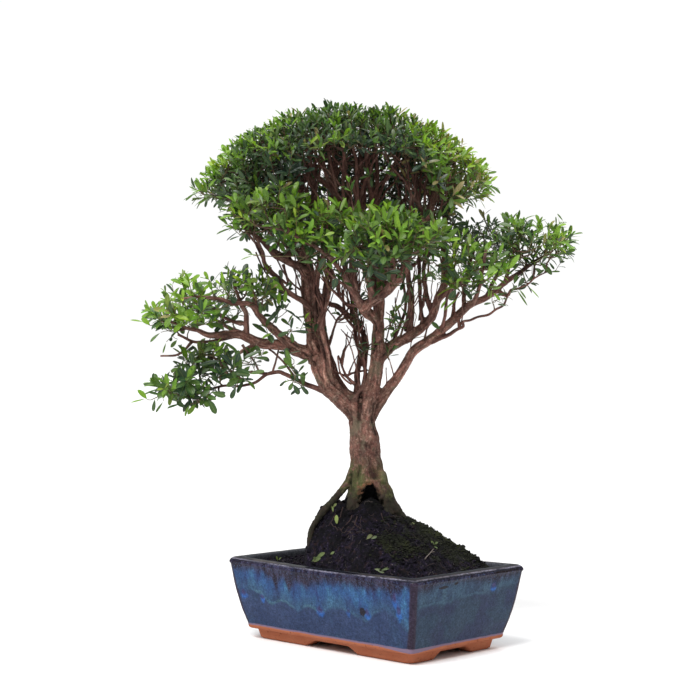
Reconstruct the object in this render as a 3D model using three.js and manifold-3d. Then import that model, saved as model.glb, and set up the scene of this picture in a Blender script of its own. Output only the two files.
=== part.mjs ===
// A myrtle bonsai in its glazed pot. Millimetres, +Z up. The origin lies on the surface
// under the middle of the whole object's bounding box; the pot's long side runs along X.
import * as THREE from 'three';
import { mergeVertices } from 'three/addons/utils/BufferGeometryUtils.js';
import Module from 'manifold-3d';

// ---- driving dimensions ------------------------------------------------------------------
// where the middle of the pot stands from the origin
const POT_X = 18.86, POT_Y = 22.74;
// pot: half lengths at each height
const RIM_HX = 150, RIM_HY = 94.5, RIM_Z = 97.6;
// how far the walls swell beyond the straight slope: height, swell
const SWELL = [[17.6, 1.9], [26, 2.8], [35, 3.6], [45, 3.7], [56, 3.5], [69, 2.8], [79, 2.3], [90, 2.0], [95, 1.9]];
const GLAZE_HX = 131.15, GLAZE_HY = 78.55, GLAZE_Z = 17.6;
const LEDGE_HX = 129.6, LEDGE_HY = 77.2, LEDGE_Z = 14.4;
const UNDER_Z = 13.4;
const FOOT_HX = 119.9, FOOT_HY = 67.35, FOOT_TOP_HX = 123, FOOT_TOP_HY = 70.6, FOOT_WALL = 14.5;
const WALL = 8, FLOOR_Z = 21.4, LIP_HX = 137, LIP_HY = 81.5, LIP_Z = 89;
const CORNER_R = 3.5;
const ARCH_H = 8, ARCH_X0 = 42.3, ARCH_X1 = 28, ARCH_Y0 = 33.1, ARCH_Y1 = 21.9;
const HOLE_X = 62, HOLE_R = 11;
// drain screens and the bent wires that hold them
const SCREEN = 42, SCREEN_T = 1.2, WIRE_R = 0.8;
// soil
const SOIL_Z = 91, MOUND_TOP = 167, GAP = 0.3;
const MOUND_X = -2.15, MOUND_Y = -2.09;   // under the foot of the trunk
// the direction in which the tree shows its front, from +X towards +Y
const FRONT_TURN = 44.25 * Math.PI / 180;
// mound: reach and steepness every 45 degrees round the trunk
const MOUND_REACH = [145, 125, 108, 86, 80, 82, 90, 90], MOUND_STEEP = [1.15, 1.2, 1.35, 1.9, 6.0, 3.0, 1.7, 1.4];

const POT_COLOUR = 0x31506f, WOOD_COLOUR = 0x8a6a5c, SOIL_COLOUR = 0x2c2624, MOSS_COLOUR = 0x38471f;
const SCREEN_COLOUR = 0x1d1f1e, WIRE_COLOUR = 0xa9a9ab, LEAF_COLOUR = 0x3f7a2c, FALLEN_COLOUR = 0xb9bd58;

// ---- solids --------------------------------------------------------------------------------
const wasm = await Module();
wasm.setup();

function solid(geometry) {
  let g = geometry.clone();
  g.deleteAttribute('normal');
  if (g.attributes.uv) g.deleteAttribute('uv');
  g = mergeVertices(g, 1e-4);
  const idx = g.index.array, pos = g.attributes.position.array, keep = [];
  for (let i = 0; i < idx.length; i += 3) {
    const [a, b, c] = [idx[i], idx[i + 1], idx[i + 2]];
    if (a !== b && b !== c && a !== c) keep.push(a, b, c);
  }
  return new wasm.Manifold(new wasm.Mesh({
    numProp: 3, vertProperties: new Float32Array(pos), triVerts: new Uint32Array(keep),
  }));
}
function geometryOf(s) {
  const m = s.getMesh(), n = m.numProp, count = m.vertProperties.length / n;
  const pos = new Float32Array(count * 3);
  for (let i = 0; i < count; i++) for (let k = 0; k < 3; k++) pos[3 * i + k] = m.vertProperties[n * i + k];
  const g = new THREE.BufferGeometry();
  g.setAttribute('position', new THREE.BufferAttribute(pos, 3));
  g.setIndex(new THREE.BufferAttribute(new Uint32Array(m.triVerts), 1));
  g.computeVertexNormals();
  return g;
}
const join = (list) => list.reduce((a, b) => a.add(b));
function largest(s) {
  const parts = s.decompose();
  return parts.reduce((a, b) => (b.volume() > a.volume() ? b : a));
}

// a block with four sloping sides and small rounded corners
function frustum(z0, hx0, hy0, z1, hx1, hy1, corner = CORNER_R) {
  const s = new THREE.Shape(), x = hx0, y = hy0, r = corner;
  s.moveTo(-x + r, -y);
  s.lineTo(x - r, -y); s.absarc(x - r, -y + r, r, -Math.PI / 2, 0);
  s.lineTo(x, y - r); s.absarc(x - r, y - r, r, 0, Math.PI / 2);
  s.lineTo(-x + r, y); s.absarc(-x + r, y - r, r, Math.PI / 2, Math.PI);
  s.lineTo(-x, -y + r); s.absarc(-x + r, -y + r, r, Math.PI, 1.5 * Math.PI);
  const g = new THREE.ExtrudeGeometry(s, { depth: 1, steps: 1, bevelEnabled: false, curveSegments: 2 });
  const p = g.attributes.position;
  for (let i = 0; i < p.count; i++) {
    const up = p.getZ(i) > 0.5;
    const dx = up ? hx1 - hx0 : 0, dy = up ? hy1 - hy0 : 0;
    p.setXYZ(i, p.getX(i) + Math.sign(p.getX(i)) * dx, p.getY(i) + Math.sign(p.getY(i)) * dy, up ? z1 : z0);
  }
  return solid(g);
}
// a straight prism of a trapezoid in the plane across (along) the given axis
function arch(half0, half1, height, length, alongX) {
  const k = (half0 - half1) / height, lo = -2;
  const s = new THREE.Shape([
    new THREE.Vector2(-half0 + k * lo, lo), new THREE.Vector2(half0 - k * lo, lo),
    new THREE.Vector2(half1, height), new THREE.Vector2(-half1, height)]);
  const g = new THREE.ExtrudeGeometry(s, { depth: length, steps: 1, bevelEnabled: false });
  g.translate(0, 0, -length / 2);
  g.rotateX(Math.PI / 2);
  if (alongX) g.rotateZ(Math.PI / 2);
  return solid(g);
}
function rod(r, h, sides = 20) {
  return new THREE.CylinderGeometry(r, r, h, sides).rotateX(Math.PI / 2);
}
// a tapering stem through a list of [x, y, z, radius]
function stem(points, sides, perSpan, grow = 0) {
  const pts = points.map((p) => new THREE.Vector3(p[0], p[1], p[2]));
  if (grow) {
    const a = pts[0].clone().sub(pts[1]).normalize().multiplyScalar(grow * 1.5);
    const n = pts.length - 1, b = pts[n].clone().sub(pts[n - 1]).normalize().multiplyScalar(grow * 1.5);
    pts[0].add(a); pts[n].add(b);
  }
  const curve = new THREE.CatmullRomCurve3(pts, false, 'centripetal');
  const spans = pts.length - 1, segs = Math.max(2, Math.round(spans * perSpan));
  const frames = curve.computeFrenetFrames(segs, false);
  const at = [];
  for (let i = 0; i <= segs; i++) {
    const u = curve.getUtoTmapping(i / segs), f = u * spans, k = Math.min(spans - 1, Math.floor(f));
    at.push({ p: curve.getPoint(u), r: points[k][3] + (points[k + 1][3] - points[k][3]) * (f - k) + grow });
  }
  const g = new THREE.CylinderGeometry(1, 1, 1, sides, segs, false);
  const q = g.attributes.position, v = new THREE.Vector3();
  for (let i = 0; i < q.count; i++) {
    const k = Math.round((0.5 - q.getY(i)) * segs), x = q.getX(i), z = q.getZ(i);
    v.copy(at[k].p).addScaledVector(frames.normals[k], x * at[k].r).addScaledVector(frames.binormals[k], z * at[k].r);
    q.setXYZ(i, v.x, v.y, v.z);
  }
  const s = solid(g);
  return s.volume() < 0 ? solid(flip(g)) : s;
}
function flip(g) {
  const a = g.index.array;
  for (let i = 0; i < a.length; i += 3) { const t = a[i]; a[i] = a[i + 1]; a[i + 1] = t; }
  return g;
}

// ---- the pot: one fired piece ---------------------------------------------------------------
const slopeX = (z) => GLAZE_HX + (RIM_HX - GLAZE_HX) * (z - GLAZE_Z) / (RIM_Z - GLAZE_Z);
const slopeY = (z) => GLAZE_HY + (RIM_HY - GLAZE_HY) * (z - GLAZE_Z) / (RIM_Z - GLAZE_Z);
const inX = (z) => slopeX(z) - WALL, inY = (z) => slopeY(z) - WALL;
const CAV_Z = 83;
function hollow(gap) {   // the room inside, made smaller all round by a gap
  return join([
    frustum(FLOOR_Z + gap, inX(FLOOR_Z) - gap, inY(FLOOR_Z) - gap, CAV_Z, inX(CAV_Z) - gap, inY(CAV_Z) - gap, 7),
    frustum(CAV_Z - 0.01, inX(CAV_Z) - gap, inY(CAV_Z) - gap, LIP_Z, LIP_HX - gap, LIP_HY - gap, 7),
    frustum(LIP_Z - 0.01, LIP_HX - gap, LIP_HY - gap, RIM_Z + 4, LIP_HX - gap, LIP_HY - gap, 7),
  ]);
}
const EDGE = 1.6;
let pot = join([
  frustum(RIM_Z - EDGE, RIM_HX + 1.5, RIM_HY + 1.5, RIM_Z, RIM_HX, RIM_HY, 6),
  frustum(95, slopeX(95) + 1.9, slopeY(95) + 1.9, RIM_Z - EDGE + 0.001, RIM_HX + 1.5, RIM_HY + 1.5, 6),
  ...SWELL.slice(1).map(([z1, d1], i) => {
    const [z0, d0] = SWELL[i];
    return frustum(z0, slopeX(z0) + d0, slopeY(z0) + d0, z1 + 0.001, slopeX(z1) + d1, slopeY(z1) + d1, 4.5);
  }),
  frustum(LEDGE_Z, LEDGE_HX + 3, LEDGE_HY + 3, GLAZE_Z + 0.001, GLAZE_HX + 1.9, GLAZE_HY + 1.9, 4),
  frustum(UNDER_Z, FOOT_TOP_HX + 4, FOOT_TOP_HY + 4, LEDGE_Z + 0.001, LEDGE_HX + 3, LEDGE_HY + 3, 4),
  frustum(0, FOOT_HX, FOOT_HY, UNDER_Z + 0.5, FOOT_TOP_HX, FOOT_TOP_HY, 3)
    .subtract(frustum(-1, FOOT_HX - FOOT_WALL, FOOT_HY - FOOT_WALL, UNDER_Z, FOOT_TOP_HX - FOOT_WALL - 1, FOOT_TOP_HY - FOOT_WALL - 1, 6)),
]);
pot = pot.subtract(hollow(0));
pot = pot.subtract(arch(ARCH_X0, ARCH_X1, ARCH_H, 200, false)).subtract(arch(ARCH_Y0, ARCH_Y1, ARCH_H, 300, true));
for (const s of [-1, 1]) pot = pot.subtract(solid(rod(HOLE_R, 30).translate(s * HOLE_X, 0, 18)));

// ---- wood: trunk, roots and branches, grown as one --------------------------------------------
// each row is [x, y, z, radius] from the middle of the pot
const LIMBS = {
  trunk: [[-2, -2, 154.4, 29.52], [-1.6, -1.5, 168.6, 25.98], [-2.9, -2.8, 181.6, 22.44], [-4.7, -4.6, 192.2, 20.67], [-5.6, -5.4, 204, 19.49], [-6.7, -6.5, 220.5, 17.95], [-7.3, -7.1, 239.4, 17.48], [-8.6, -8.4, 251.2, 15.94], [-9.8, -9.5, 263, 15.06], [-10.6, -10.4, 274.8, 14.17], [-12.7, -9.6, 286.6, 11.82]],
  A: [[-7.4, -10, 253.7, 10.03], [-13.7, -16.2, 270.2, 10.91], [-24.6, -29.5, 288.5, 10.9], [-33.3, -40.8, 302.7, 10.3], [-39, -49.2, 321, 9.7], [-42.8, -52.9, 338.6, 9.11]],
  A1: [[-43.4, -50.7, 331.6, 7.06], [-46.8, -54, 351.6, 5.89], [-50.5, -56.1, 375.1, 5.6], [-54, -56.8, 398.8, 5.6], [-55.6, -56.9, 422.4, 5.6], [-56.4, -57.7, 442.4, 5.31], [-58.4, -58.3, 463.7, 5.02], [-56.6, -50.9, 487.6, 4.44], [-54.9, -45.1, 518.6, 3.85], [-56.2, -43.6, 537.8, 3.56], [-63, -44.7, 552.4, 2.97], [-72.7, -48.5, 574.3, 2.08]],
  A2: [[-28.3, -45.8, 303.5, 5.28], [-27.6, -50.6, 324.6, 4.98], [-29.4, -53.8, 351.6, 4.68], [-33.2, -57.5, 378.5, 4.68], [-35.3, -59.5, 404.2, 4.39], [-34.3, -61.3, 424, 4.09], [-25.8, -61.5, 448.2, 3.79], [-13, -54.5, 470.1, 3.49], [-8.3, -44.4, 490.2, 2.91], [-15.6, -40.3, 515.4, 2.46], [-31, -41.4, 536.2, 2.35], [-38.7, -40.4, 552.2, 2.24]],
  A3: [[-30.5, -26.9, 298.4, 5.32], [-36.8, -28.9, 312.5, 4.74], [-42.9, -27.8, 331.5, 4.04], [-50.3, -28, 350.5, 3.57], [-55, -28.4, 374.3, 3.34], [-56.8, -27.4, 395.8, 3.1], [-57.9, -22.9, 417.4, 2.99], [-59.6, -16.2, 439.2, 3], [-62.7, -8, 466.1, 2.89], [-65.7, 0.2, 496.8, 2.9], [-67.2, 4.3, 521.3, 3.15], [-68.9, 5.5, 548.2, 3.15], [-69.6, 7.6, 570.2, 2.79], [-72.4, 7.6, 591.1, 2.19]],
  A1L: [[-55, -59.1, 437.6, 4.71], [-55.7, -68.2, 443.8, 4.35], [-58.1, -78.9, 447.6, 4.1], [-61.3, -90.4, 452.5, 3.74], [-64.2, -98.9, 455.2, 3.5], [-65.9, -106.1, 462.6, 3.26], [-68.4, -114.1, 471.6, 2.9], [-71.2, -122.4, 478.3, 2.55], [-74.1, -130.8, 485.5, 2.08]],
  A1M: [[-57, -55.5, 442.5, 3.84], [-69.8, -59.6, 466.5, 3.44], [-80.9, -62.1, 490.7, 3.09], [-94, -69.3, 514.8, 2.74], [-107.5, -79.5, 534, 2.26]],
  AT: [[-49.3, -56.4, 395.1, 3.53], [-52.8, -65.4, 403.3, 3.17], [-56.7, -80.3, 411.2, 2.93], [-58.6, -90.6, 418, 2.8], [-59.6, -100, 429.9, 2.67], [-62.5, -111.1, 437.9, 2.55], [-63.1, -117.3, 446.9, 2.43], [-61, -120.9, 457.7, 2.19]],
  B: [[-43.4, -50.7, 337.5, 9.42], [-49, -57.5, 340.4, 8.83], [-57.2, -66.8, 345.1, 7.64], [-67.9, -80.1, 351, 6.46], [-77, -91.7, 352.7, 5.99], [-85.9, -101.8, 353.3, 5.75], [-91.9, -109.1, 357.4, 5.39], [-99.2, -119, 362.7, 5.15], [-107, -130.8, 363.8, 4.79], [-116.5, -144.2, 363.2, 4.32], [-122.2, -153.9, 363.8, 3.26], [-128.6, -164.4, 369, 2.56], [-133.8, -172.2, 370.7, 2.09]],
  Bt1: [[-104.5, -128.3, 362.1, 2.34], [-116, -135.3, 358, 1.87], [-132.5, -145.8, 355.1, 1.76]],
  Bv: [[-95.4, -115.3, 362.1, 3.16], [-94, -116.7, 375, 2.93], [-89.9, -121.1, 388.2, 2.92], [-88.8, -128.4, 397.4, 2.67], [-89.1, -134.3, 408.4, 2.09]],
  B2: [[-51.3, -61.1, 342.2, 5.29], [-55.8, -69.7, 346.9, 5.64], [-58.5, -79.3, 353.3, 5.39], [-61.1, -87.4, 359.1, 5.14], [-65.9, -100.5, 369.6, 4.66], [-70.1, -110.1, 378.8, 4.07], [-73, -117.2, 387.5, 3.83], [-75.2, -123.5, 396.1, 3.48], [-78.7, -129.7, 399.8, 3.13], [-82.2, -135.9, 400.1, 2.89], [-86.5, -142.9, 399.5, 2.66], [-91.9, -151, 402.3, 2.31], [-100, -161.6, 405.7, 2.08]],
  B2u: [[-73.3, -117.4, 387.5, 2.67], [-72.7, -121.1, 400.2, 2.43], [-73.7, -124.9, 411.7, 2.08]],
  K4: [[-57.8, -56.3, 343.3, 4.72], [-77.2, -55.7, 347.5, 4.4], [-100.8, -56.3, 351.1, 4.08], [-129.5, -59.2, 356.6, 3.63], [-155.5, -65, 365.2, 3.05], [-180.3, -72.3, 375.1, 2.45]],
  K4b: [[-129.5, -59.2, 356.6, 2.72], [-145.8, -72.2, 345.7, 2.3], [-162, -85.2, 332.4, 1.82]],
  C: [[-27.1, -32, 287.4, 4.12], [-35, -38.3, 293.2, 4.24], [-41.4, -43.1, 297.3, 3.66], [-49.4, -48.1, 301.4, 3.19], [-57.2, -52.9, 304.3, 2.96], [-65.4, -58.1, 309, 2.72], [-73.2, -62.9, 313.1, 2.72], [-81.4, -68.1, 317.8, 2.49], [-86, -71.2, 319.8, 2.49], [-98.8, -79.5, 316.6, 2.14], [-111.3, -88.9, 306.5, 1.78], [-124.4, -101.7, 302.9, 1.55], [-136.2, -116, 302.9, 1.54], [-147.7, -132.7, 297.1, 1.42]],
  N3: [[-19.4, -7.7, 290, 4.15], [-21.9, -4.6, 302.9, 3.92], [-23.6, -3.4, 316, 3.57], [-23.6, -0.7, 327.8, 2.98], [-25.7, 5.7, 345.7, 2.15]],
  D1: [[-9.6, -20.5, 288.1, 2.71], [-7.3, -12.7, 299.7, 2.59], [-8.5, -5.5, 315, 2.48], [-14.8, -0.5, 330.3, 2.37], [-24.2, 1.5, 344.5, 2.38], [-31.4, 2.9, 357.7, 2.39], [-35.1, 4.9, 369.7, 2.4], [-38.1, 7.5, 381.7, 2.4], [-46, 11.1, 406, 2.41], [-57.3, 14, 432.9, 2.42], [-67.7, 17.8, 461.3, 2.31]],
  D2: [[-22.1, 3.6, 326.6, 3.22], [-22.8, 8.5, 340.9, 3.1], [-25.4, 11.6, 360.1, 3.11], [-32.1, 10.6, 372.1, 3.24], [-38.7, 7, 381.1, 3.48], [-46.9, 1.7, 389.2, 3.48], [-56.5, -4.8, 398.6, 3.25], [-63.5, -8.8, 401.1, 2.89], [-76.1, -9.9, 409.8, 2.66], [-93.3, -10, 426, 2.43], [-111.2, -7.8, 448.6, 2.33], [-127.8, -7.2, 473.8, 2.09]],
  E: [[-3.9, -9.4, 246.7, 10.61], [-1.8, -10.1, 265.6, 8.83], [-0.1, -8.4, 282.1, 8.71], [0.4, -2.4, 299.7, 9.44], [2.7, -0.2, 316.2, 8.73], [4.4, 1.5, 332.7, 8.02], [5.1, 2.2, 349.2, 7.79], [5.3, 2.4, 366.9, 7.31], [5.3, 5.1, 384.7, 5.31], [4.7, 7.4, 403, 4.96], [3.2, 8.7, 416.7, 4.73], [-0.2, 8.2, 440.5, 4.5], [-3.6, 4.9, 466.5, 4.26], [-5, 3.6, 490.2, 4.15], [-6.3, 5, 515.3, 4.15], [-4.6, 9.4, 533.2, 2.73], [-5, 11.9, 552.4, 2.38], [-7, 12.8, 570.5, 2.14]],
  E2: [[0.3, 5.9, 378.8, 3.79], [-3.6, 7.7, 399.1, 3.56], [-6.9, 10.1, 417, 3.33], [-14.4, 11.1, 443.4, 3.22], [-22.3, 9, 473.5, 3.1], [-27.1, 7.1, 498.7, 3.23], [-25, 9.1, 525, 3.35], [-25.6, 8.5, 548.9, 2.99], [-25.7, 5.7, 572.6, 2.27]],
  E3: [[-6.5, 4.8, 508.2, 2.96], [-4.8, 0.9, 527.9, 2.49], [-4.5, -4.4, 546.5, 2.13]],
  K1: [[-1.9, 6.5, 319.6, 5.92], [-16.7, 25.7, 345.7, 5.4], [-32.2, 44, 379.7, 5.22], [-43.7, 57.9, 411.8, 4.9], [-50.2, 73.9, 446.9, 4.57], [-51.7, 86.4, 484.6, 4.09], [-52.7, 96.6, 526.2, 3.36], [-55, 102.8, 563, 2.5]],
  K1b: [[-44.2, 60.3, 416.8, 3.31], [-37.4, 83.6, 436.9, 3.08], [-25.1, 106.8, 454.6, 2.72], [-11.8, 125.4, 469.7, 2.11]],
  K2: [[-48.8, -42, 341, 5.33], [-66.2, -28.2, 367.2, 5.03], [-85.5, -13.4, 399, 4.84], [-101.9, -1.6, 431.3, 4.53], [-121.5, 7.3, 466.8, 4.08], [-141, 10.6, 505.1, 3.49], [-157.2, 8.8, 540.9, 2.75]],
  K2b: [[-101.9, -1.6, 428.9, 3.06], [-123.4, -2.9, 446.7, 2.71], [-143.9, -8.9, 462, 2.35]],
  F1: [[9.4, -2, 373.9, 6.47], [10.2, -9.7, 383.2, 6.45], [8.4, -19.7, 389.5, 6.43], [7.5, -27.6, 395.2, 5.6], [7.3, -34.7, 406.2, 4.65], [8.7, -40.4, 417.6, 4.18], [10, -46.1, 431.3, 3.82], [10.9, -48, 440.5, 3.7], [11.5, -44.7, 461.4, 3.82], [10, -34.9, 485.1, 4.07], [3.5, -27.3, 504.5, 4.32], [-6.9, -29.1, 508.5, 4.22], [-21.8, -32.4, 519.8, 4.12], [-34.2, -33.3, 534.6, 3.9], [-45.4, -38.7, 544.5, 3.55], [-52.8, -43.1, 553, 3.08], [-58.5, -45.8, 567.4, 2.37]],
  F1b: [[8, -35.5, 403.8, 3.49], [13.7, -53.6, 419.4, 3.23], [18.1, -74.5, 437, 2.85], [19.4, -98.4, 454.2, 2.37]],
  F1c: [[2.5, -31.1, 505.5, 2.92], [1.4, -29.3, 530.2, 2.34], [-0.5, -28.4, 549.1, 2.1]],
  F2: [[7, -26.7, 394.7, 5.48], [12.8, -25.2, 398.7, 5.24], [19.5, -22.9, 402.7, 5.23], [29.7, -18.5, 408.4, 5.22], [40.4, -13.7, 418.1, 5.21], [50.1, -9.8, 428.3, 5.2], [56.1, -6.8, 438.5, 5.08], [58.5, -4.5, 451.9, 4.96], [57.9, 0.5, 467.2, 4.97], [58.3, 12.1, 483.9, 5.11], [58.8, 26.6, 497.5, 5.25], [56.8, 35.8, 511.6, 5.04], [54.8, 45, 525, 4.71], [52.1, 50.8, 538.2, 4.37], [48.2, 55.3, 551, 4.03], [43.7, 56.5, 559.8, 3.56], [38.6, 57.2, 576.4, 2.62]],
  F2b: [[38.3, -15.8, 415.2, 3.71], [56, -26.4, 431.6, 3.32], [67.4, -40.4, 450.1, 2.95], [72.1, -55.4, 466.2, 2.37]],
  F2c: [[58.8, 23.8, 495, 2.33], [51.5, 22.3, 518.7, 2.1], [47.3, 20.9, 536.4, 1.99]],
  F2d: [[55.3, 48.3, 527.2, 3.06], [60.1, 61.4, 535.7, 2.84], [63.4, 70.2, 539.1, 2.61], [68.1, 77.5, 541.4, 2.13]],
  F3: [[18.8, -22.2, 400.4, 4.07], [28.8, -36.1, 418.3, 3.46], [37.7, -55.4, 439.3, 2.97], [43.7, -74.7, 458.7, 2.37]],
  G: [[2.5, 5.3, 338.6, 7.09], [6.3, 11.7, 344.5, 6.51], [13.2, 21.2, 351.6, 6.04], [22, 34, 359.6, 5.81], [30.8, 46.8, 370.2, 5.47], [38.6, 57.2, 382.6, 5.23], [41.1, 62.4, 394.5, 5], [43.3, 65.9, 405.9, 4.88], [46.7, 70.6, 418.4, 4.53], [49, 74.2, 433.9, 4.29], [47.3, 74, 450.7, 3.82], [44.9, 74.4, 469.9, 3.34], [43.5, 78.7, 491.7, 2.75], [43.5, 84.2, 513.6, 2.28]],
  Gs1: [[42.2, 64.8, 404.1, 2.98], [55.8, 71.1, 417.6, 2.61], [67.1, 76.5, 425.7, 2.37], [75.8, 79.4, 432.7, 2.13]],
  Gv1: [[22.7, 37.5, 360.5, 4.16], [20.9, 42.7, 379, 3.69], [18.7, 46.2, 395.8, 3.58], [15.4, 48.5, 413.8, 3.35], [9.5, 51.1, 429.6, 3.24], [2.9, 55.8, 451.6, 3.01], [-5.1, 59.2, 478.7, 2.78], [-11.8, 61.1, 505.7, 2.55], [-14.4, 61.3, 527.7, 2.43]],
  Gv3: [[33.5, 52.2, 373.1, 2.62], [27.9, 52.3, 396.9, 2.26], [24.4, 54.5, 422.1, 2.27], [20.2, 58.7, 446.3, 2.16]],
  Gv4: [[39.9, 61.2, 388.6, 3.21], [34.3, 58.5, 403.5, 2.98], [32.2, 56.5, 418.8, 2.86], [32.2, 53.7, 430.2, 2.74], [34.8, 50.7, 447.9, 2.5], [43.9, 51.2, 468.9, 2.13]],
  K3: [[10.7, 24.3, 351.6, 4.39], [8.7, 47.6, 358.9, 4.19], [5.7, 72.5, 369.9, 4.11], [4.1, 96.2, 386, 3.91], [1, 115.5, 408.5, 3.69], [-0.3, 131, 437.3, 3.34], [2, 141.6, 459.9, 2.61]],
  K3b: [[0.6, 115, 407.2, 2.83], [13.8, 133.5, 424.6, 2.47], [31.5, 150.7, 441.9, 2.1]],
  H: [[-8.8, -1.6, 248.6, 8.29], [-5.7, 2.8, 268.7, 7.4], [2.4, 8, 285.3, 7.46], [12, 11.6, 298.5, 6.61], [21.5, 18.2, 312.9, 5.66], [30.6, 24.3, 330.9, 5.3], [37.5, 29.6, 344.6, 5.54], [43.7, 34.2, 350.6, 5.65], [50.2, 39.1, 355.7, 5.65], [62.7, 48.5, 367.8, 5.41], [75.4, 58.1, 381.6, 5.17], [81.9, 63.1, 389.6, 4.93], [87.8, 68.8, 397.3, 4.58], [94.5, 75.3, 402.3, 4.11], [102.1, 82.7, 406.7, 3.76], [110.8, 91.1, 414.9, 3.52], [118.2, 101.2, 425.6, 3.17], [127.3, 115.6, 436.4, 2.71], [134.4, 126.7, 446.5, 2.48], [141.8, 138.1, 454.3, 1.77]],
  Hs1: [[54.9, 42.3, 356.3, 3.18], [65.1, 46.7, 360.3, 2.58], [75.1, 52.2, 364.9, 2.23], [82.2, 56.4, 370.3, 1.99], [87.7, 60.3, 373.3, 1.87], [89, 58.7, 378.7, 1.64], [95.3, 63.5, 380.7, 1.52], [102.6, 69.3, 384.2, 1.46], [113.1, 76.7, 387, 1.4], [120.2, 80.8, 392.8, 1.4]],
  Hs4: [[94.1, 72.2, 401.4, 2.7], [101.8, 68.5, 411.1, 2.45], [112, 61.6, 422.3, 2.32], [121.4, 54, 435.6, 2.19], [129.4, 47.9, 446.6, 2.18]],
  Hs5: [[82.3, 69, 393.9, 2.71], [76.7, 74.7, 405.9, 2.48], [70.2, 82.3, 415.7, 2.37], [64.1, 93.2, 431.7, 2.51], [61.1, 104.2, 448.9, 2.04]],
  Hs6: [[101.7, 85.1, 406.8, 2.58], [94, 105.5, 422.9, 2.37], [86.4, 126.1, 439.2, 2.28]],
  Hs7: [[117.7, 100.7, 424.4, 2.47], [125.2, 96.8, 438.1, 1.99], [134, 91.5, 450.5, 1.63]],
  R1: [[-8.8, -17, 212.7, 7.06], [-11.2, -22.1, 202.8, 6.12], [-14.2, -26.4, 192.9, 5.05], [-18.3, -31.8, 183, 4.46], [-23.4, -38.1, 173.5, 4.11], [-28, -44, 166.1, 3.87], [-31.8, -49.1, 158.6, 3.64], [-35.4, -54, 151.1, 3.52], [-39.3, -57.8, 143.4, 3.4], [-42.3, -60.7, 135.2, 3.4], [-43.5, -61.9, 125.3, 3.52], [-43.1, -61.5, 113.5, 3.63]],
  R2: [[-7.4, -18.4, 202.2, 9.41], [-6.6, -21.8, 188.3, 7.93], [-6.5, -24.5, 175.6, 7.04], [-7.2, -28, 164.1, 6.74], [-10.8, -30.1, 153.4, 5.86], [-17.8, -31.3, 136.6, 4.7]],
  R3: [[9.8, -1.6, 199.9, 8.82], [15, 0.6, 185.9, 7.64], [20.3, 4.4, 173.1, 7.05], [24.9, 8.9, 161.3, 6.46], [28.6, 15.3, 151.7, 5.58], [33.7, 27.2, 135.9, 4.12]],
  R4: [[-3.3, 8, 198.7, 10.08], [-3.8, 17.2, 183.9, 9.22], [-4.8, 28.8, 167.6, 8.37], [-6.1, 44.3, 150.9, 7.22], [-6.5, 60.7, 132.8, 5.44]],
  R5: [[-16, -4.4, 198.7, 10.08], [-24.3, -2.7, 182.7, 8.92], [-34.8, -0.4, 166.4, 7.77], [-47.6, 2.5, 149.8, 6.61], [-60.5, 5.3, 131.8, 5.44]],
  X1: [[-26.1, -21.2, 293.7, 4.73], [-20.2, -15.5, 288.3, 7.1], [-14.1, -8.1, 284.2, 7.1], [-9, -3.2, 274.7, 5.92]],
  R6: [[-6.5, -9.2, 182.9, 5.31], [-6, -11.4, 171.3, 4.71], [-1.6, -12.7, 159.9, 4.41], [6.3, -10.7, 146.2, 4.11], [12.7, -7.2, 130, 3.52]],
};
const SIDES = (r) => (r > 16 ? 12 : r > 8 ? 9 : r > 4.5 ? 7 : r > 2.8 ? 5 : 4);
function wood(grow) {
  const list = [];
  for (const rows of Object.values(LIMBS)) {
    const rMax = Math.max(...rows.map((p) => p[3]));
    list.push(stem(rows, SIDES(rMax), rMax > 9 ? 0.85 : 0.6, grow));
  }
  return join(list);
}
const tree = largest(wood(0));
const treeRoom = wood(GAP + 0.3);

// ---- soil and moss ---------------------------------------------------------------------------
function around(table, turn) {
  const f = ((turn / (Math.PI / 4)) % 8 + 8) % 8, i = Math.floor(f);
  let k = f - i; k = k * k * (3 - 2 * k);
  return table[i] * (1 - k) + table[(i + 1) % 8] * k;
}
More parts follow.
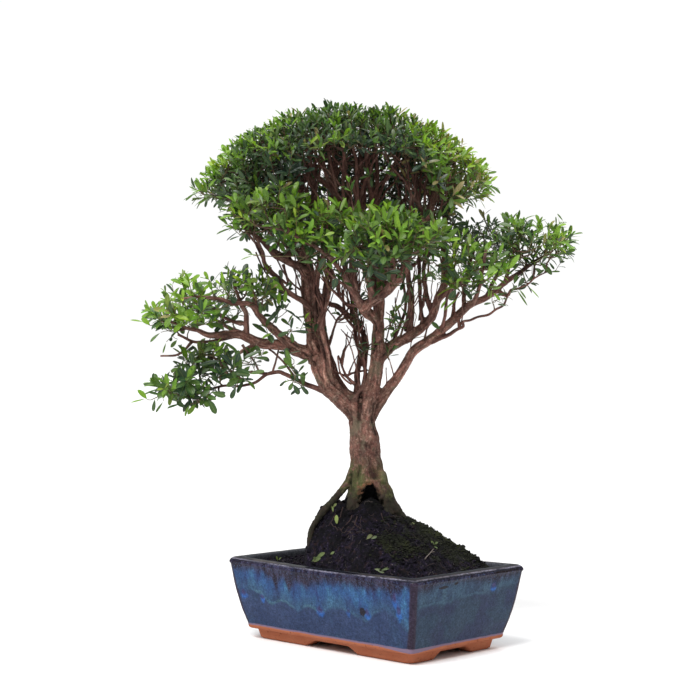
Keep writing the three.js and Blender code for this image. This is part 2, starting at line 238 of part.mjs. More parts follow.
// the heap under the trunk: rings of a dome whose reach and steepness change round the tree
function mound(lift) {
  const rings = [0, 0.1, 0.2, 0.31, 0.42, 0.62, 0.8, 0.92, 1.0], seg = 28;
  const profile = rings.map((s) => new THREE.Vector2(s, 1));
  profile.push(new THREE.Vector2(1.0, 0), new THREE.Vector2(0, 0));
  const g = new THREE.LatheGeometry(profile.reverse(), seg);
  g.rotateX(Math.PI / 2);
  const p = g.attributes.position;
  for (let i = 0; i < p.count; i++) {
    const x = p.getX(i), y = p.getY(i), s = Math.hypot(x, y), a = Math.atan2(y, x);
    // turn measured from the tree's right-hand side round its front
    const reach = around(MOUND_REACH, FRONT_TURN - a), steep = around(MOUND_STEEP, FRONT_TURN - a);
    const top = p.getZ(i) > 0.5;
    const d = s * (reach + lift) / Math.max(s, 1e-9);
    const px = MOUND_X + x * (s > 1e-6 ? d : 0), py = MOUND_Y + y * (s > 1e-6 ? d : 0);
    const across = px * Math.cos(FRONT_TURN) + py * Math.sin(FRONT_TURN), out = px * Math.sin(FRONT_TURN) - py * Math.cos(FRONT_TURN);
    let h = SOIL_Z + (MOUND_TOP - SOIL_Z) * (1 - Math.pow(Math.min(1, s), steep)) + lift;
    // earth between the roots at the front, and a low heap on the left
    if (s < 0.99) {
      h += 9.5 * Math.exp(-(((across - 0.5) / 15) ** 2) - ((out - 19) / 14) ** 2);
      h += 4 * Math.exp(-(((across + 62) / 15) ** 2) - ((out - 6) / 30) ** 2);
    }
    if (!top) h = SOIL_Z - 8;
    p.setXYZ(i, px, py, h);
  }
  const body = solid(g), s = body.volume() < 0 ? solid(flip(g)) : body;
  return s.intersect(frustum(SOIL_Z - 12, LIP_HX - GAP, LIP_HY - GAP, MOUND_TOP + 8, 75, 35, 7)
    .add(frustum(SOIL_Z - 13, LIP_HX - GAP, LIP_HY - GAP, SOIL_Z - 0.5, LIP_HX - GAP, LIP_HY - GAP, 7)));
}
const bed = hollow(GAP).subtract(frustum(SOIL_Z, 200, 200, 200, 200, 200, 7));
let soil = bed.add(mound(0)).subtract(treeRoom);
for (const s of [-1, 1]) {
  soil = soil.subtract(solid(new THREE.BoxGeometry(SCREEN + 1, SCREEN + 1, 9).translate(s * HOLE_X, 0, FLOOR_Z - 0.6)));
}

function mossPatch(cx, cy, rx, ry, turn) {
  const column = rod(1, 200, 18).scale(rx, ry, 1).rotateZ(turn).translate(cx, cy, 150);
  return largest(mound(2.2).subtract(mound(GAP)).intersect(solid(column)).subtract(treeRoom));
}

// ---- foliage: each pad of leaves as one lumpy closed body ---------------------------------------
// rows are [x, y, z, half width across the front, half depth, half height]
const PADS = {
  foliage_crown_left: [[-112.8, -109.9, 546.5, 58, 66, 40], [-72.8, -87.6, 580.4, 60, 76, 38]],
  foliage_crown_top: [[-24, -23.4, 606.7, 92, 78, 33]],
  foliage_crown_right: [[64, 62.3, 551.2, 50, 62, 42], [32.7, 31.8, 589, 58, 80, 36]],
  foliage_crown_front: [[30.6, -79.1, 567.9, 86, 46, 36], [-34.2, -125.5, 548.8, 50, 42, 34], [85.4, -6.1, 549, 46, 40, 38]],
  foliage_crown_back: [[-82.8, 36.6, 577.3, 100, 54, 42], [-147.2, -42.9, 556.3, 52, 46, 38], [3.2, 100.9, 558.5, 48, 44, 38]],
  foliage_shelf_left: [[-51.5, -131.2, 492.4, 52, 44, 26], [12.9, -104.7, 474.5, 44, 38, 28]],
  foliage_shelf_right: [[76.9, -34, 475, 56, 40, 34], [53.9, -78.7, 466, 42, 34, 30]],
  foliage_back_left: [[-141.5, -9.4, 484.2, 62, 38, 28]],
  foliage_back_right: [[-36.1, 93.2, 475.5, 64, 38, 28]],
  foliage_right_tip: [[140.8, 126, 471.5, 50, 48, 27]],
  foliage_right_inner: [[108.5, 69.4, 462.2, 46, 52, 30], [116.9, 27.3, 428, 34, 28, 20]],
  foliage_right_back: [[56.5, 136, 472.2, 54, 34, 28]],
  foliage_left_upper_tip: [[-143.8, -181.9, 386.4, 50, 42, 34]],
  foliage_left_upper_inner: [[-99.1, -144, 413, 52, 46, 28], [-63.8, -104, 422.4, 34, 36, 18]],
  foliage_left_back: [[-177, -91.4, 399.2, 60, 32, 30]],
  foliage_left_lower_tip: [[-157.4, -164.5, 306.9, 46, 40, 27]],
  foliage_left_lower_inner: [[-108.9, -122.9, 319.9, 44, 40, 27]],
};
function lump(row, seed, grow) {
  const [x, y, z, a, b, c] = row;
  const g = new THREE.SphereGeometry(1, 9, 6);
  const p = g.attributes.position, v = new THREE.Vector3();
  g.rotateX(Math.PI / 2);
  for (let i = 0; i < p.count; i++) {
    v.set(p.getX(i), p.getY(i), p.getZ(i));
    const w = 0.965 + 0.035 * Math.sin(5 * v.x + seed) * Math.cos(4 * v.y - 1.7 * seed) ;
    p.setXYZ(i, v.x * (a * w + grow), v.y * (b * w + grow), v.z * (c * w + grow));
  }
  g.rotateZ(FRONT_TURN).translate(x, y, z);
  return solid(g);
}
const pads = {};
{
  const done = [];
  let seed = 1;
  for (const [name, rows] of Object.entries(PADS)) {
    let s = join(rows.map((row, i) => lump(row, seed + i, 0)));
    s = s.subtract(treeRoom);
    for (const other of done) s = s.subtract(other);
    pads[name] = largest(s);
    done.push(join(rows.map((row, i) => lump(row, seed + i, 0.8))));
    seed += 3;
  }
}

// ---- the scene graph -----------------------------------------------------------------------------
const bonsai = new THREE.Group();
const stand = new THREE.Group();
stand.position.set(POT_X, POT_Y, 0);
bonsai.add(stand);
function piece(name, geometry, colour, roughness, metalness = 0, parent = stand) {
  const m = new THREE.Mesh(geometry, new THREE.MeshStandardMaterial({ color: colour, roughness, metalness }));
  m.name = name;
  parent.add(m);
  return m;
}
piece('pot', geometryOf(pot), POT_COLOUR, 0.25);
piece('soil', geometryOf(largest(soil)), SOIL_COLOUR, 0.95);
piece('trunk_and_branches', geometryOf(tree), WOOD_COLOUR, 0.85);
piece('moss_right', geometryOf(mossPatch(66.93, 34.48, 46, 30, FRONT_TURN)), MOSS_COLOUR, 0.95);
piece('moss_front', geometryOf(mossPatch(61.81, -31.92, 28, 17, FRONT_TURN)), MOSS_COLOUR, 0.95);

// a square of coarse plastic mesh lies over each drain hole
for (const [side, s] of [['left', -1], ['right', 1]]) {
  let screen = solid(new THREE.BoxGeometry(SCREEN, SCREEN, SCREEN_T));
  for (let i = -1.5; i <= 1.5; i++) for (let j = -1.5; j <= 1.5; j++) {
    screen = screen.subtract(solid(new THREE.BoxGeometry(6, 6, 6).translate(i * 8.4, j * 8.4, 0)));
  }
  const m = piece('drain_screen_' + side, geometryOf(screen), SCREEN_COLOUR, 0.6);
  m.position.set(s * HOLE_X, 0, FLOOR_Z + GAP + SCREEN_T / 2);

  // a wire staple goes down through the mesh and is bent out under the pot
  const top = FLOOR_Z + GAP + SCREEN_T + GAP + WIRE_R, low = UNDER_Z - GAP - WIRE_R - 0.2, lx = 4.2;
  const bends = [[-lx - 11, low], [-lx - 2, low], [-lx - 0.3, low + 0.5], [-lx, low + 2], [-lx, top - 2], [-lx + 0.5, top - 0.4], [-lx + 2, top],
    [lx - 2, top], [lx - 0.5, top - 0.4], [lx, top - 2], [lx, low + 2], [lx + 0.3, low + 0.5], [lx + 2, low], [lx + 11, low]];
  const cs = stem(bends.map(([x, z]) => [x, 0, z, WIRE_R]), 6, 1);
  const c = piece('screen_wire_' + side, geometryOf(cs), WIRE_COLOUR, 0.4, 0.9);
  c.position.set(s * HOLE_X, lx, 0);
}

const padShade = { crown: LEAF_COLOUR, shelf: 0x5c9a35, back: 0x376b2c, right: 0x4c8a30, left: 0x468231 };
for (const [name, s] of Object.entries(pads)) {
  piece(name, geometryOf(s), padShade[name.split('_')[1]], 0.6);
}

// leaves that have dropped on the soil, and a bit of dead twig
const leafOutline = new THREE.Shape();
leafOutline.moveTo(-9, 0);
leafOutline.quadraticCurveTo(-3, -3.6, 4, -2.9);
leafOutline.quadraticCurveTo(8, -2.2, 9, 0);
leafOutline.quadraticCurveTo(8, 2.2, 4, 2.9);
leafOutline.quadraticCurveTo(-3, 3.6, -9, 0);
const FALLEN = [
  [-18.91, -75.65, 105.8, 0.6, 0.8, -0.0000, -0.8699, 0.4931],
  [-119.31, -42.23, 93.98, 2.2, 0.6, -0.0000, -0.0000, 1.0000],
  [41.64, -48.75, 132.96, 1.1, 0.8, 0.4240, -0.4486, 0.7868],
  [76.58, -67.65, 100.69, -0.5, 0.8, 0.4604, -0.4965, 0.7359],
  [79.68, 20.36, 124.79, 0.3, 0.65, 0.5444, 0.0219, 0.8385],
  [1.81, -72.04, 112.55, 1.5, 0.5, -0.0000, -0.8699, 0.4931],
  [-12.47, -51.23, 149.02, 2.3, 0.7, -0.0000, -0.8699, 0.4931],
  [-20.18, -44.95, 160.39, 1.9, 0.5, -0.0000, -0.8699, 0.4931],
  [48.93, 15.7, 144.19, 0.2, 0.5, 0.4976, 0.0681, 0.8648],
];
FALLEN.forEach(([x, y, z, turn, size, nx, ny, nz], i) => {
  const g = new THREE.ExtrudeGeometry(leafOutline, { depth: 0.9, steps: 1, bevelEnabled: false, curveSegments: 4 });
  const m = piece('fallen_leaf_' + (i + 1), g, FALLEN_COLOUR, 0.6);
  g.scale(size, size, 1);
  m.position.set(x, y, z);
  m.quaternion.setFromUnitVectors(new THREE.Vector3(0, 0, 1), new THREE.Vector3(nx, ny, nz));
  m.quaternion.multiply(new THREE.Quaternion().setFromAxisAngle(new THREE.Vector3(0, 0, 1), turn));
});
piece('dead_twig', geometryOf(stem([[98.62, -18.24, 110.48, 0.9], [93.73, -5.55, 115.96, 0.8], [87.84, 7.42, 119.98, 0.7]], 6, 1)), 0xb8a58c, 0.8);

export default bonsai;
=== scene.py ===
import math

import bpy
import numpy as np
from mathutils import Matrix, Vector


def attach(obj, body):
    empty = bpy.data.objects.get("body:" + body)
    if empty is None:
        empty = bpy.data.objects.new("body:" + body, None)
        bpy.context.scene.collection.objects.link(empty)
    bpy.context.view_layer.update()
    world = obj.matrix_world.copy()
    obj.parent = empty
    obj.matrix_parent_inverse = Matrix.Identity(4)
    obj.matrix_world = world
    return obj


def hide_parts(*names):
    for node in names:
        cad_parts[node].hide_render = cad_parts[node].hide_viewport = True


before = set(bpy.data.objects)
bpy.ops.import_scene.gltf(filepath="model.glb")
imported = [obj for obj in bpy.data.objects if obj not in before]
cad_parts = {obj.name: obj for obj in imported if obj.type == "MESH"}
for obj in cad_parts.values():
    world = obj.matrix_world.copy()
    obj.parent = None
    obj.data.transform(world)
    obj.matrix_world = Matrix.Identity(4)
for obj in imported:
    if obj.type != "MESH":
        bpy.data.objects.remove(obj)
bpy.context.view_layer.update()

rng = np.random.default_rng(4107)

# Everything is worked out in millimetres from the middle of the pot and moved to the
# model's origin, in metres, when a mesh is made.
OFF = np.array([18.86, 22.74, 0.0])
TURN = math.radians(44.25)                                    # the side the tree shows
RV = np.array([math.cos(TURN), math.sin(TURN), 0.0])          # across the front, to the right
BV = np.array([math.sin(TURN), -math.cos(TURN), 0.0])         # towards the front
UP = np.array([0.0, 0.0, 1.0])
CAM_DIST, CAM_SIDE, CAM_HIGH, FOCAL_PX = 1954.8, -27.6, 345.7, 1655.3
CAM = CAM_DIST * BV + CAM_SIDE * RV + CAM_HIGH * UP


def at(px, py, t):
    """The point seen at a pixel of the 700 x 700 frame, t mm nearer the front than the pot's middle."""
    z = CAM_DIST - t
    return CAM + (px - 350.0) * z / FOCAL_PX * RV + (350.0 - py) * z / FOCAL_PX * UP - z * BV


def rtz(r, t, z):
    return r * RV + t * BV + z * UP


def unit(v):
    v = np.asarray(v, float)
    n = np.linalg.norm(v, axis=-1, keepdims=True)
    return v / np.maximum(n, 1e-12)


# ---- noise ----------------------------------------------------------------------------------
def _hash(ix, iy, iz, seed):
    h = (ix.astype(np.uint32) * np.uint32(374761393) + iy.astype(np.uint32) * np.uint32(668265263)
         + iz.astype(np.uint32) * np.uint32(2147483647) + np.uint32(seed * 362437 + 12345))
    h = (h ^ (h >> np.uint32(13))) * np.uint32(1274126177)
    h = (h ^ (h >> np.uint32(16))) * np.uint32(2246822519)
    return h ^ (h >> np.uint32(15))


_G = unit(np.array([[1, 1, 0], [-1, 1, 0], [1, -1, 0], [-1, -1, 0], [1, 0, 1], [-1, 0, 1], [1, 0, -1], [-1, 0, -1],
                    [0, 1, 1], [0, -1, 1], [0, 1, -1], [0, -1, -1], [1, 1, 0], [-1, 1, 0], [0, -1, 1], [0, -1, -1]]))


def pnoise(p, seed=0):
    p = np.asarray(p, float)
    i = np.floor(p).astype(np.int64)
    f = p - i
    w = f * f * f * (f * (f * 6 - 15) + 10)
    out = np.zeros(len(p))
    for dx in (0, 1):
        for dy in (0, 1):
            for dz in (0, 1):
                g = _G[_hash(i[:, 0] + dx, i[:, 1] + dy, i[:, 2] + dz, seed) & np.uint32(15)]
                d = f - np.array([dx, dy, dz])
                out += ((w[:, 0] if dx else 1 - w[:, 0]) * (w[:, 1] if dy else 1 - w[:, 1])
                        * (w[:, 2] if dz else 1 - w[:, 2]) * (g * d).sum(1))
    return out * 1.6


def fbm(p, octaves=3, seed=0, gain=0.5):
    out, a, k = 0.0, 1.0, 1.0
    for o in range(octaves):
        out = out + a * pnoise(np.asarray(p) * k, seed + 17 * o)
        a *= gain
        k *= 2.03
    return out


def smooth(x, a, b):
    t = np.clip((x - a) / (b - a), 0, 1)
    return t * t * (3 - 2 * t)


# ---- meshes ----------------------------------------------------------------------------------
def add_attr(mesh, name, values, kind="FLOAT"):
    at_ = mesh.attributes.new(name, kind, "POINT")
    if kind == "FLOAT":
        at_.data.foreach_set("value", np.ascontiguousarray(values, np.float32))
    else:
        at_.data.foreach_set("vector", np.ascontiguousarray(values, np.float32).ravel())


def make(name, verts, faces, material, attrs=None, vattrs=None, shade=True, replaces=(), slot=None):
    """A mesh object from vertices in mm and a list of face index arrays (each n x 3 or n x 4)."""
    mesh = bpy.data.meshes.new(name)
    verts = (np.asarray(verts, float) + OFF) * 0.001
    faces = [np.asarray(f, np.int64) for f in faces if len(f)]
    loops = np.concatenate([f.ravel() for f in faces])
    totals = np.concatenate([np.full(len(f), f.shape[1]) for f in faces])
    starts = np.concatenate([[0], np.cumsum(totals)[:-1]])
    mesh.vertices.add(len(verts))
    mesh.vertices.foreach_set("co", verts.astype(np.float32).ravel())
    mesh.loops.add(len(loops))
    mesh.loops.foreach_set("vertex_index", loops.astype(np.int32))
    mesh.polygons.add(len(totals))
    mesh.polygons.foreach_set("loop_start", starts.astype(np.int32))
    mesh.polygons.foreach_set("loop_total", totals.astype(np.int32))
    mesh.update(calc_edges=True)
    mesh.validate()
    if shade:
        mesh.polygons.foreach_set("use_smooth", np.ones(len(mesh.polygons), bool))
    for k, v in (attrs or {}).items():
        add_attr(mesh, k, v)
    for k, v in (vattrs or {}).items():
        add_attr(mesh, k, v, "FLOAT_VECTOR")
    ob = bpy.data.objects.new(name, mesh)
    bpy.context.scene.collection.objects.link(ob)
    if material:
        mesh.materials.append(material)
    if replaces or slot:
        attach(ob, "root")
        if replaces:
            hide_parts(*replaces)
    return ob


def apply_all(ob):
    dg = bpy.context.evaluated_depsgraph_get()
    new = bpy.data.meshes.new_from_object(ob.evaluated_get(dg), preserve_all_data_layers=True, depsgraph=dg)
    old = ob.data
    ob.modifiers.clear()
    ob.data = new
    bpy.data.meshes.remove(old)
    return ob


# ---- camera ----------------------------------------------------------------------------------
cam_data = bpy.data.cameras.new("camera")
cam_data.sensor_width = 36.0
cam_data.lens = 36.0 * FOCAL_PX / 700.0
cam_data.clip_start, cam_data.clip_end = 0.05, 60.0
cam = bpy.data.objects.new("camera", cam_data)
bpy.context.scene.collection.objects.link(cam)
cam.location = (CAM + OFF) * 0.001
cam.rotation_euler = (math.pi / 2, 0.0, TURN)
bpy.context.scene.camera = cam


# ---- materials -------------------------------------------------------------------------------
class Nodes:
    """A short way to write node trees."""

    def __init__(self, name):
        self.mat = bpy.data.materials.new(name)
        self.mat.use_nodes = True
        self.t = self.mat.node_tree
        self.t.nodes.clear()
        self.out = self.t.nodes.new("ShaderNodeOutputMaterial")

    def link(self, a, b):
        self.t.links.new(a, b)

    def node(self, kind, **props):
        n = self.t.nodes.new(kind)
        for k, v in props.items():
            setattr(n, k, v)
        return n

    def put(self, socket, v):
        if isinstance(v, bpy.types.NodeSocket):
            self.link(v, socket)
        elif v is not None:
            if hasattr(socket.default_value, "__len__") and not isinstance(v, (tuple, list)):
                v = (v,) * len(socket.default_value)
            if hasattr(socket.default_value, "__len__") and len(v) == 3 and len(socket.default_value) == 4:
                v = (*v, 1.0)
            socket.default_value = v

    def attr(self, name, out="Fac"):
        return self.node("ShaderNodeAttribute", attribute_name=name).outputs[out]

    def coords(self):
        return self.node("ShaderNodeTexCoord").outputs["Object"]

    def mapping(self, v, scale=(1, 1, 1), loc=(0, 0, 0)):
        n = self.node("ShaderNodeMapping")
        self.link(v, n.inputs["Vector"])
        n.inputs["Scale"].default_value = scale
        n.inputs["Location"].default_value = loc
        return n.outputs[0]

    def noise(self, v, scale, detail=2.0, rough=0.5, distort=0.0, out="Fac"):
        n = self.node("ShaderNodeTexNoise")
        self.link(v, n.inputs["Vector"])
        n.inputs["Scale"].default_value = scale
        n.inputs["Detail"].default_value = detail
        n.inputs["Roughness"].default_value = rough
        n.inputs["Distortion"].default_value = distort
        return n.outputs[out]

    def voronoi(self, v, scale, feature="F1", out="Distance", rand=1.0):
        n = self.node("ShaderNodeTexVoronoi", feature=feature)
        self.link(v, n.inputs["Vector"])
        n.inputs["Scale"].default_value = scale
        n.inputs["Randomness"].default_value = rand
        return n.outputs[out]

    def ramp(self, fac, stops, interp="LINEAR"):
        n = self.node("ShaderNodeValToRGB")
        n.color_ramp.interpolation = interp
        e = n.color_ramp.elements
        while len(e) < len(stops):
            e.new(0.5)
        for el, (p, c) in zip(e, stops):
            el.position = p
            el.color = (*c, 1.0) if len(c) == 3 else c
        self.link(fac, n.inputs["Fac"])
        return n.outputs["Color"]

    def math(self, op, a, b=None, c=None, clamp=False):
        n = self.node("ShaderNodeMath", operation=op, use_clamp=clamp)
        for s, v in zip(n.inputs, (a, b, c)):
            self.put(s, v)
        return n.outputs[0]

    def range(self, v, a, b, lo=0.0, hi=1.0, kind="SMOOTHSTEP"):
        n = self.node("ShaderNodeMapRange", interpolation_type=kind)
        self.link(v, n.inputs["Value"])
        for k, x in (("From Min", a), ("From Max", b), ("To Min", lo), ("To Max", hi)):
            n.inputs[k].default_value = x
        return n.outputs["Result"]

    def mix(self, fac, a, b, blend="MIX"):
        n = self.node("ShaderNodeMix", data_type="RGBA", blend_type=blend)
        self.put(n.inputs["Factor"], fac)
        self.put(n.inputs[6], a)
        self.put(n.inputs[7], b)
        return n.outputs[2]

    def sep(self, v):
        n = self.node("ShaderNodeSeparateXYZ")
        self.link(v, n.inputs[0])
        return n.outputs

    def comb(self, x, y, z):
        n = self.node("ShaderNodeCombineXYZ")
        for s, v in zip(n.inputs, (x, y, z)):
            self.put(s, v)
        return n.outputs[0]

    def bump(self, height, strength=0.3, distance=0.001, normal=None):
        n = self.node("ShaderNodeBump")
        self.link(height, n.inputs["Height"])
        n.inputs["Strength"].default_value = strength
        n.inputs["Distance"].default_value = distance
        if normal:
            self.link(normal, n.inputs["Normal"])
        return n.outputs[0]

    def principled(self, color, rough, normal=None, **consts):
        n = self.node("ShaderNodeBsdfPrincipled")
        self.put(n.inputs["Base Color"], color)
        self.put(n.inputs["Roughness"], rough)
        if normal is not None:
            self.link(normal, n.inputs["Normal"])
        for k, v in consts.items():
            n.inputs[k.replace("_", " ")].default_value = v
        return n

    def done(self, shader):
        self.link(shader, self.out.inputs["Surface"])
        return self.mat


def bark_material():
    m = Nodes("bark")
    co = m.attr("bark_co", "Vector")
    obj = m.coords()
    thick = m.attr("thick")
    height = m.attr("high")
    relief = m.attr("relief")
    streak = m.noise(m.mapping(co, (0.50, 0.50, 0.13)), 1.0, 5.0, 0.68, 0.4)
    fine = m.noise(m.mapping(co, (1.9, 1.9, 0.7)), 1.0, 4.0, 0.68)
    patch = m.noise(co, 0.085, 4.0, 0.6, 0.8)
    blotch = m.noise(obj, 70.0, 4.0, 0.65)
    grain = m.noise(obj, 430.0, 3.0, 0.7)
    base = m.ramp(streak, [(0.28, (0.064, 0.031, 0.023)), (0.45, (0.132, 0.066, 0.048)), (0.56, (0.198, 0.104, 0.077)), (0.70, (0.308, 0.190, 0.155))])
    red = m.ramp(fine, [(0.3, (0.120, 0.045, 0.033)), (0.7, (0.292, 0.138, 0.108))])
    base = m.mix(m.range(patch, 0.45, 0.56, 0.0, 0.80), base, red)
    grey = m.ramp(fine, [(0.3, (0.095, 0.078, 0.058)), (0.7, (0.260, 0.210, 0.155))])
    base = m.mix(m.range(m.noise(co, 0.13, 3.0, 0.6), 0.55, 0.67, 0.0, 0.42), base, grey)
    dark = m.mix(m.range(blotch, 0.44, 0.66, 0.0, 0.50), base, (0.060, 0.034, 0.029))
    dark = m.mix(m.range(grain, 0.52, 0.64, 0.0, 0.52), dark, (0.036, 0.019, 0.016))
    dark = m.mix(m.range(m.noise(obj, 330.0, 2.0), 0.55, 0.68, 0.0, 0.46), dark, (0.380, 0.250, 0.195))
    # thinner wood is smoother, darker and redder
    thin = m.ramp(fine, [(0.25, (0.050, 0.022, 0.019)), (0.75, (0.185, 0.088, 0.068))])
    thin = m.mix(m.range(blotch, 0.48, 0.68, 0.0, 0.55), thin, (0.235, 0.150, 0.118))
    thin = m.mix(m.range(m.noise(obj, 31.0, 3.0, 0.6), 0.54, 0.66, 0.0, 0.6), thin, (0.036, 0.017, 0.016))
    col = m.mix(m.range(thick, 2.5, 6.5, 0.0, 1.0), thin, dark)
    # the limbs are paler than the trunk, in long worn stretches
    lift = m.math("MULTIPLY", m.range(height, 292.0, 318.0), m.range(height, 470.0, 420.0))
    lift = m.math("MULTIPLY", lift, m.range(m.noise(m.mapping(co, (0.30, 0.30, 0.05)), 1.0, 3.0, 0.6), 0.38, 0.62, 0.0, 1.0))
    lift = m.math("ADD", m.range(height, 450.0, 495.0, 0.92, 1.30), m.math("MULTIPLY", lift, 0.95))
    lift = m.math("MULTIPLY", lift, m.range(m.noise(m.mapping(co, (0.24, 0.24, 0.09)), 1.0, 3.0, 0.6), 0.34, 0.66, 0.66, 1.36, "LINEAR"))
    col = m.mix(1.0, col, m.comb(lift, lift, lift), "MULTIPLY")
    # painted shade and highlight: what is sunk is painted dark, what stands out is painted pale
    tone = m.range(relief, 0.06, 0.92, 0.26, 1.46, "LINEAR")
    col = m.mix(1.0, col, m.comb(tone, tone, tone), "MULTIPLY")
    algae_n = m.noise(obj, 95.0, 4.0, 0.62)
    algae = m.math("MULTIPLY", m.attr("moist"), m.range(algae_n, 0.36, 0.56, 0.0, 1.0), clamp=True)
    green = m.ramp(fine, [(0.25, (0.016, 0.022, 0.008)), (0.55, (0.058, 0.072, 0.022)), (0.85, (0.165, 0.185, 0.066))])
    # the algae take the same painted shade and highlight
    green = m.mix(1.0, green, m.comb(tone, tone, tone), "MULTIPLY")
    col = m.mix(m.math("MULTIPLY", algae, 0.86), col, green)
    # a little grey-green on the weather side of the big branches
    lich = m.math("MULTIPLY", m.range(m.noise(obj, 34.0, 4.0, 0.65), 0.54, 0.64, 0.0, 0.62), m.range(thick, 4.0, 7.0, 0.0, 1.0))
    col = m.mix(lich, col, m.mix(fine, (0.060, 0.055, 0.033), (0.190, 0.175, 0.115)))
    rust = m.math("MULTIPLY", m.attr("rust"), m.range(m.noise(obj, 150.0, 4.0, 0.7), 0.42, 0.55))
    col = m.mix(rust, col, m.ramp(fine, [(0.3, (0.085, 0.030, 0.018)), (0.5, (0.210, 0.082, 0.042)), (0.72, (0.420, 0.205, 0.110))]))
    # darker towards the soil, below a wavy height of about 170 to 190 mm
    low_darkening = m.range(m.math("ADD", height, m.math("MULTIPLY", m.math("SUBTRACT", algae_n, 0.5), 46.0)), 190.0, 170.0, 0.0, 0.90)
    col = m.mix(low_darkening, col, m.mix(fine, (0.006, 0.005, 0.006), (0.030, 0.026, 0.016)))
    # painted shade: the hollow between the roots is painted near black
    deep = m.attr("deep")
    col = m.mix(deep, col, (0.003, 0.0025, 0.0035))
    hgt = m.math("ADD", m.math("MULTIPLY", streak, 1.0), m.math("MULTIPLY", fine, 0.6))
    nrm = m.bump(m.math("ADD", hgt, m.math("MULTIPLY", grain, 0.5)), 1.0, 0.0010)
    sh = m.principled(col, m.range(streak, 0.3, 0.7, 0.9, 0.72), nrm)
    sh.inputs["Specular IOR Level"].default_value = 0.2
    return m.done(sh.outputs[0])


def twig_material():
    m = Nodes("twig_bark")
    obj = m.coords()
    young = m.attr("young")
    n = m.noise(obj, 260.0, 3.0, 0.6)
    n2 = m.noise(obj, 38.0, 2.0, 0.5)
    old = m.ramp(n, [(0.3, (0.036, 0.018, 0.015)), (0.7, (0.130, 0.066, 0.050))])
    old = m.mix(m.range(n2, 0.45, 0.68, 0.0, 0.5), old, (0.150, 0.095, 0.072))
    new = m.ramp(n, [(0.3, (0.090, 0.110, 0.026)), (0.7, (0.230, 0.215, 0.060))])
    col = m.mix(young, old, new)
    sh = m.principled(col, 0.68, m.bump(n, 0.4, 0.0004))
    sh.inputs["Specular IOR Level"].default_value = 0.3
    return m.done(sh.outputs[0])


def leaf_material():
    m = Nodes("leaf")
    dat = m.sep(m.attr("leafdat", "Vector"))     # age, chance, along
    across = m.attr("across")
    obj = m.coords()
    cell = m.noise(obj, 420.0, 2.0, 0.5)
    age = m.math("ADD", dat[0], m.math("MULTIPLY", m.math("SUBTRACT", dat[1], 0.5), 0.26), clamp=True)
    col = m.ramp(age, [(0.0, (0.222, 0.400, 0.027)), (0.20, (0.136, 0.264, 0.024)), (0.42, (0.080, 0.152, 0.032)),
                       (0.68, (0.044, 0.085, 0.034)), (1.0, (0.022, 0.046, 0.030))])
    # some shoots are yellower, some bluer
    col = m.mix(m.range(dat[1], 0.62, 0.85), col, m.mix(1.0, col, (1.46, 1.10, 1.02), "MULTIPLY"))
    col = m.mix(m.range(dat[1], 0.36, 0.15), col, m.mix(1.0, col, (0.80, 0.96, 1.25), "MULTIPLY"))
    col = m.mix(m.range(dat[1], 0.90, 0.95, 0.0, 0.85), col, m.mix(cell, (0.150, 0.110, 0.045), (0.330, 0.270, 0.120)))
    # the midrib and the margin are paler than the blade
    rib = m.math("MULTIPLY", m.range(m.math("ABSOLUTE", across), 0.16, 0.02, 0.0, 1.0), 0.42)
    col = m.mix(rib, col, m.mix(0.5, col, (0.36, 0.42, 0.13)))
    tone = m.math("ADD", 0.78, m.math("MULTIPLY", dat[1], 0.42))
    tone = m.math("MULTIPLY", tone, m.range(cell, 0.25, 0.75, 0.86, 1.12, "LINEAR"))
    col = m.mix(1.0, col, m.comb(tone, tone, tone), "MULTIPLY")
    nrm = m.bump(m.math("ADD", m.range(m.math("ABSOLUTE", across), 0.0, 0.2, 0.0, 1.0), m.math("MULTIPLY", cell, 0.5)), 0.35, 0.0003)
    sh = m.principled(col, m.range(dat[0], 0.1, 0.8, 0.44, 0.33), nrm)
    sh.inputs["Specular IOR Level"].default_value = 0.42
    tr = m.node("ShaderNodeBsdfTranslucent")
    glow = m.mix(1.0, col, (1.20, 1.30, 0.60), "MULTIPLY")
    m.link(glow, tr.inputs["Color"])
    mixer = m.node("ShaderNodeMixShader")
    mixer.inputs[0].default_value = 0.24
    m.link(sh.outputs[0], mixer.inputs[1])
    m.link(tr.outputs[0], mixer.inputs[2])
    return m.done(mixer.outputs[0])


BARK, TWIG, LEAF = bark_material(), twig_material(), leaf_material()

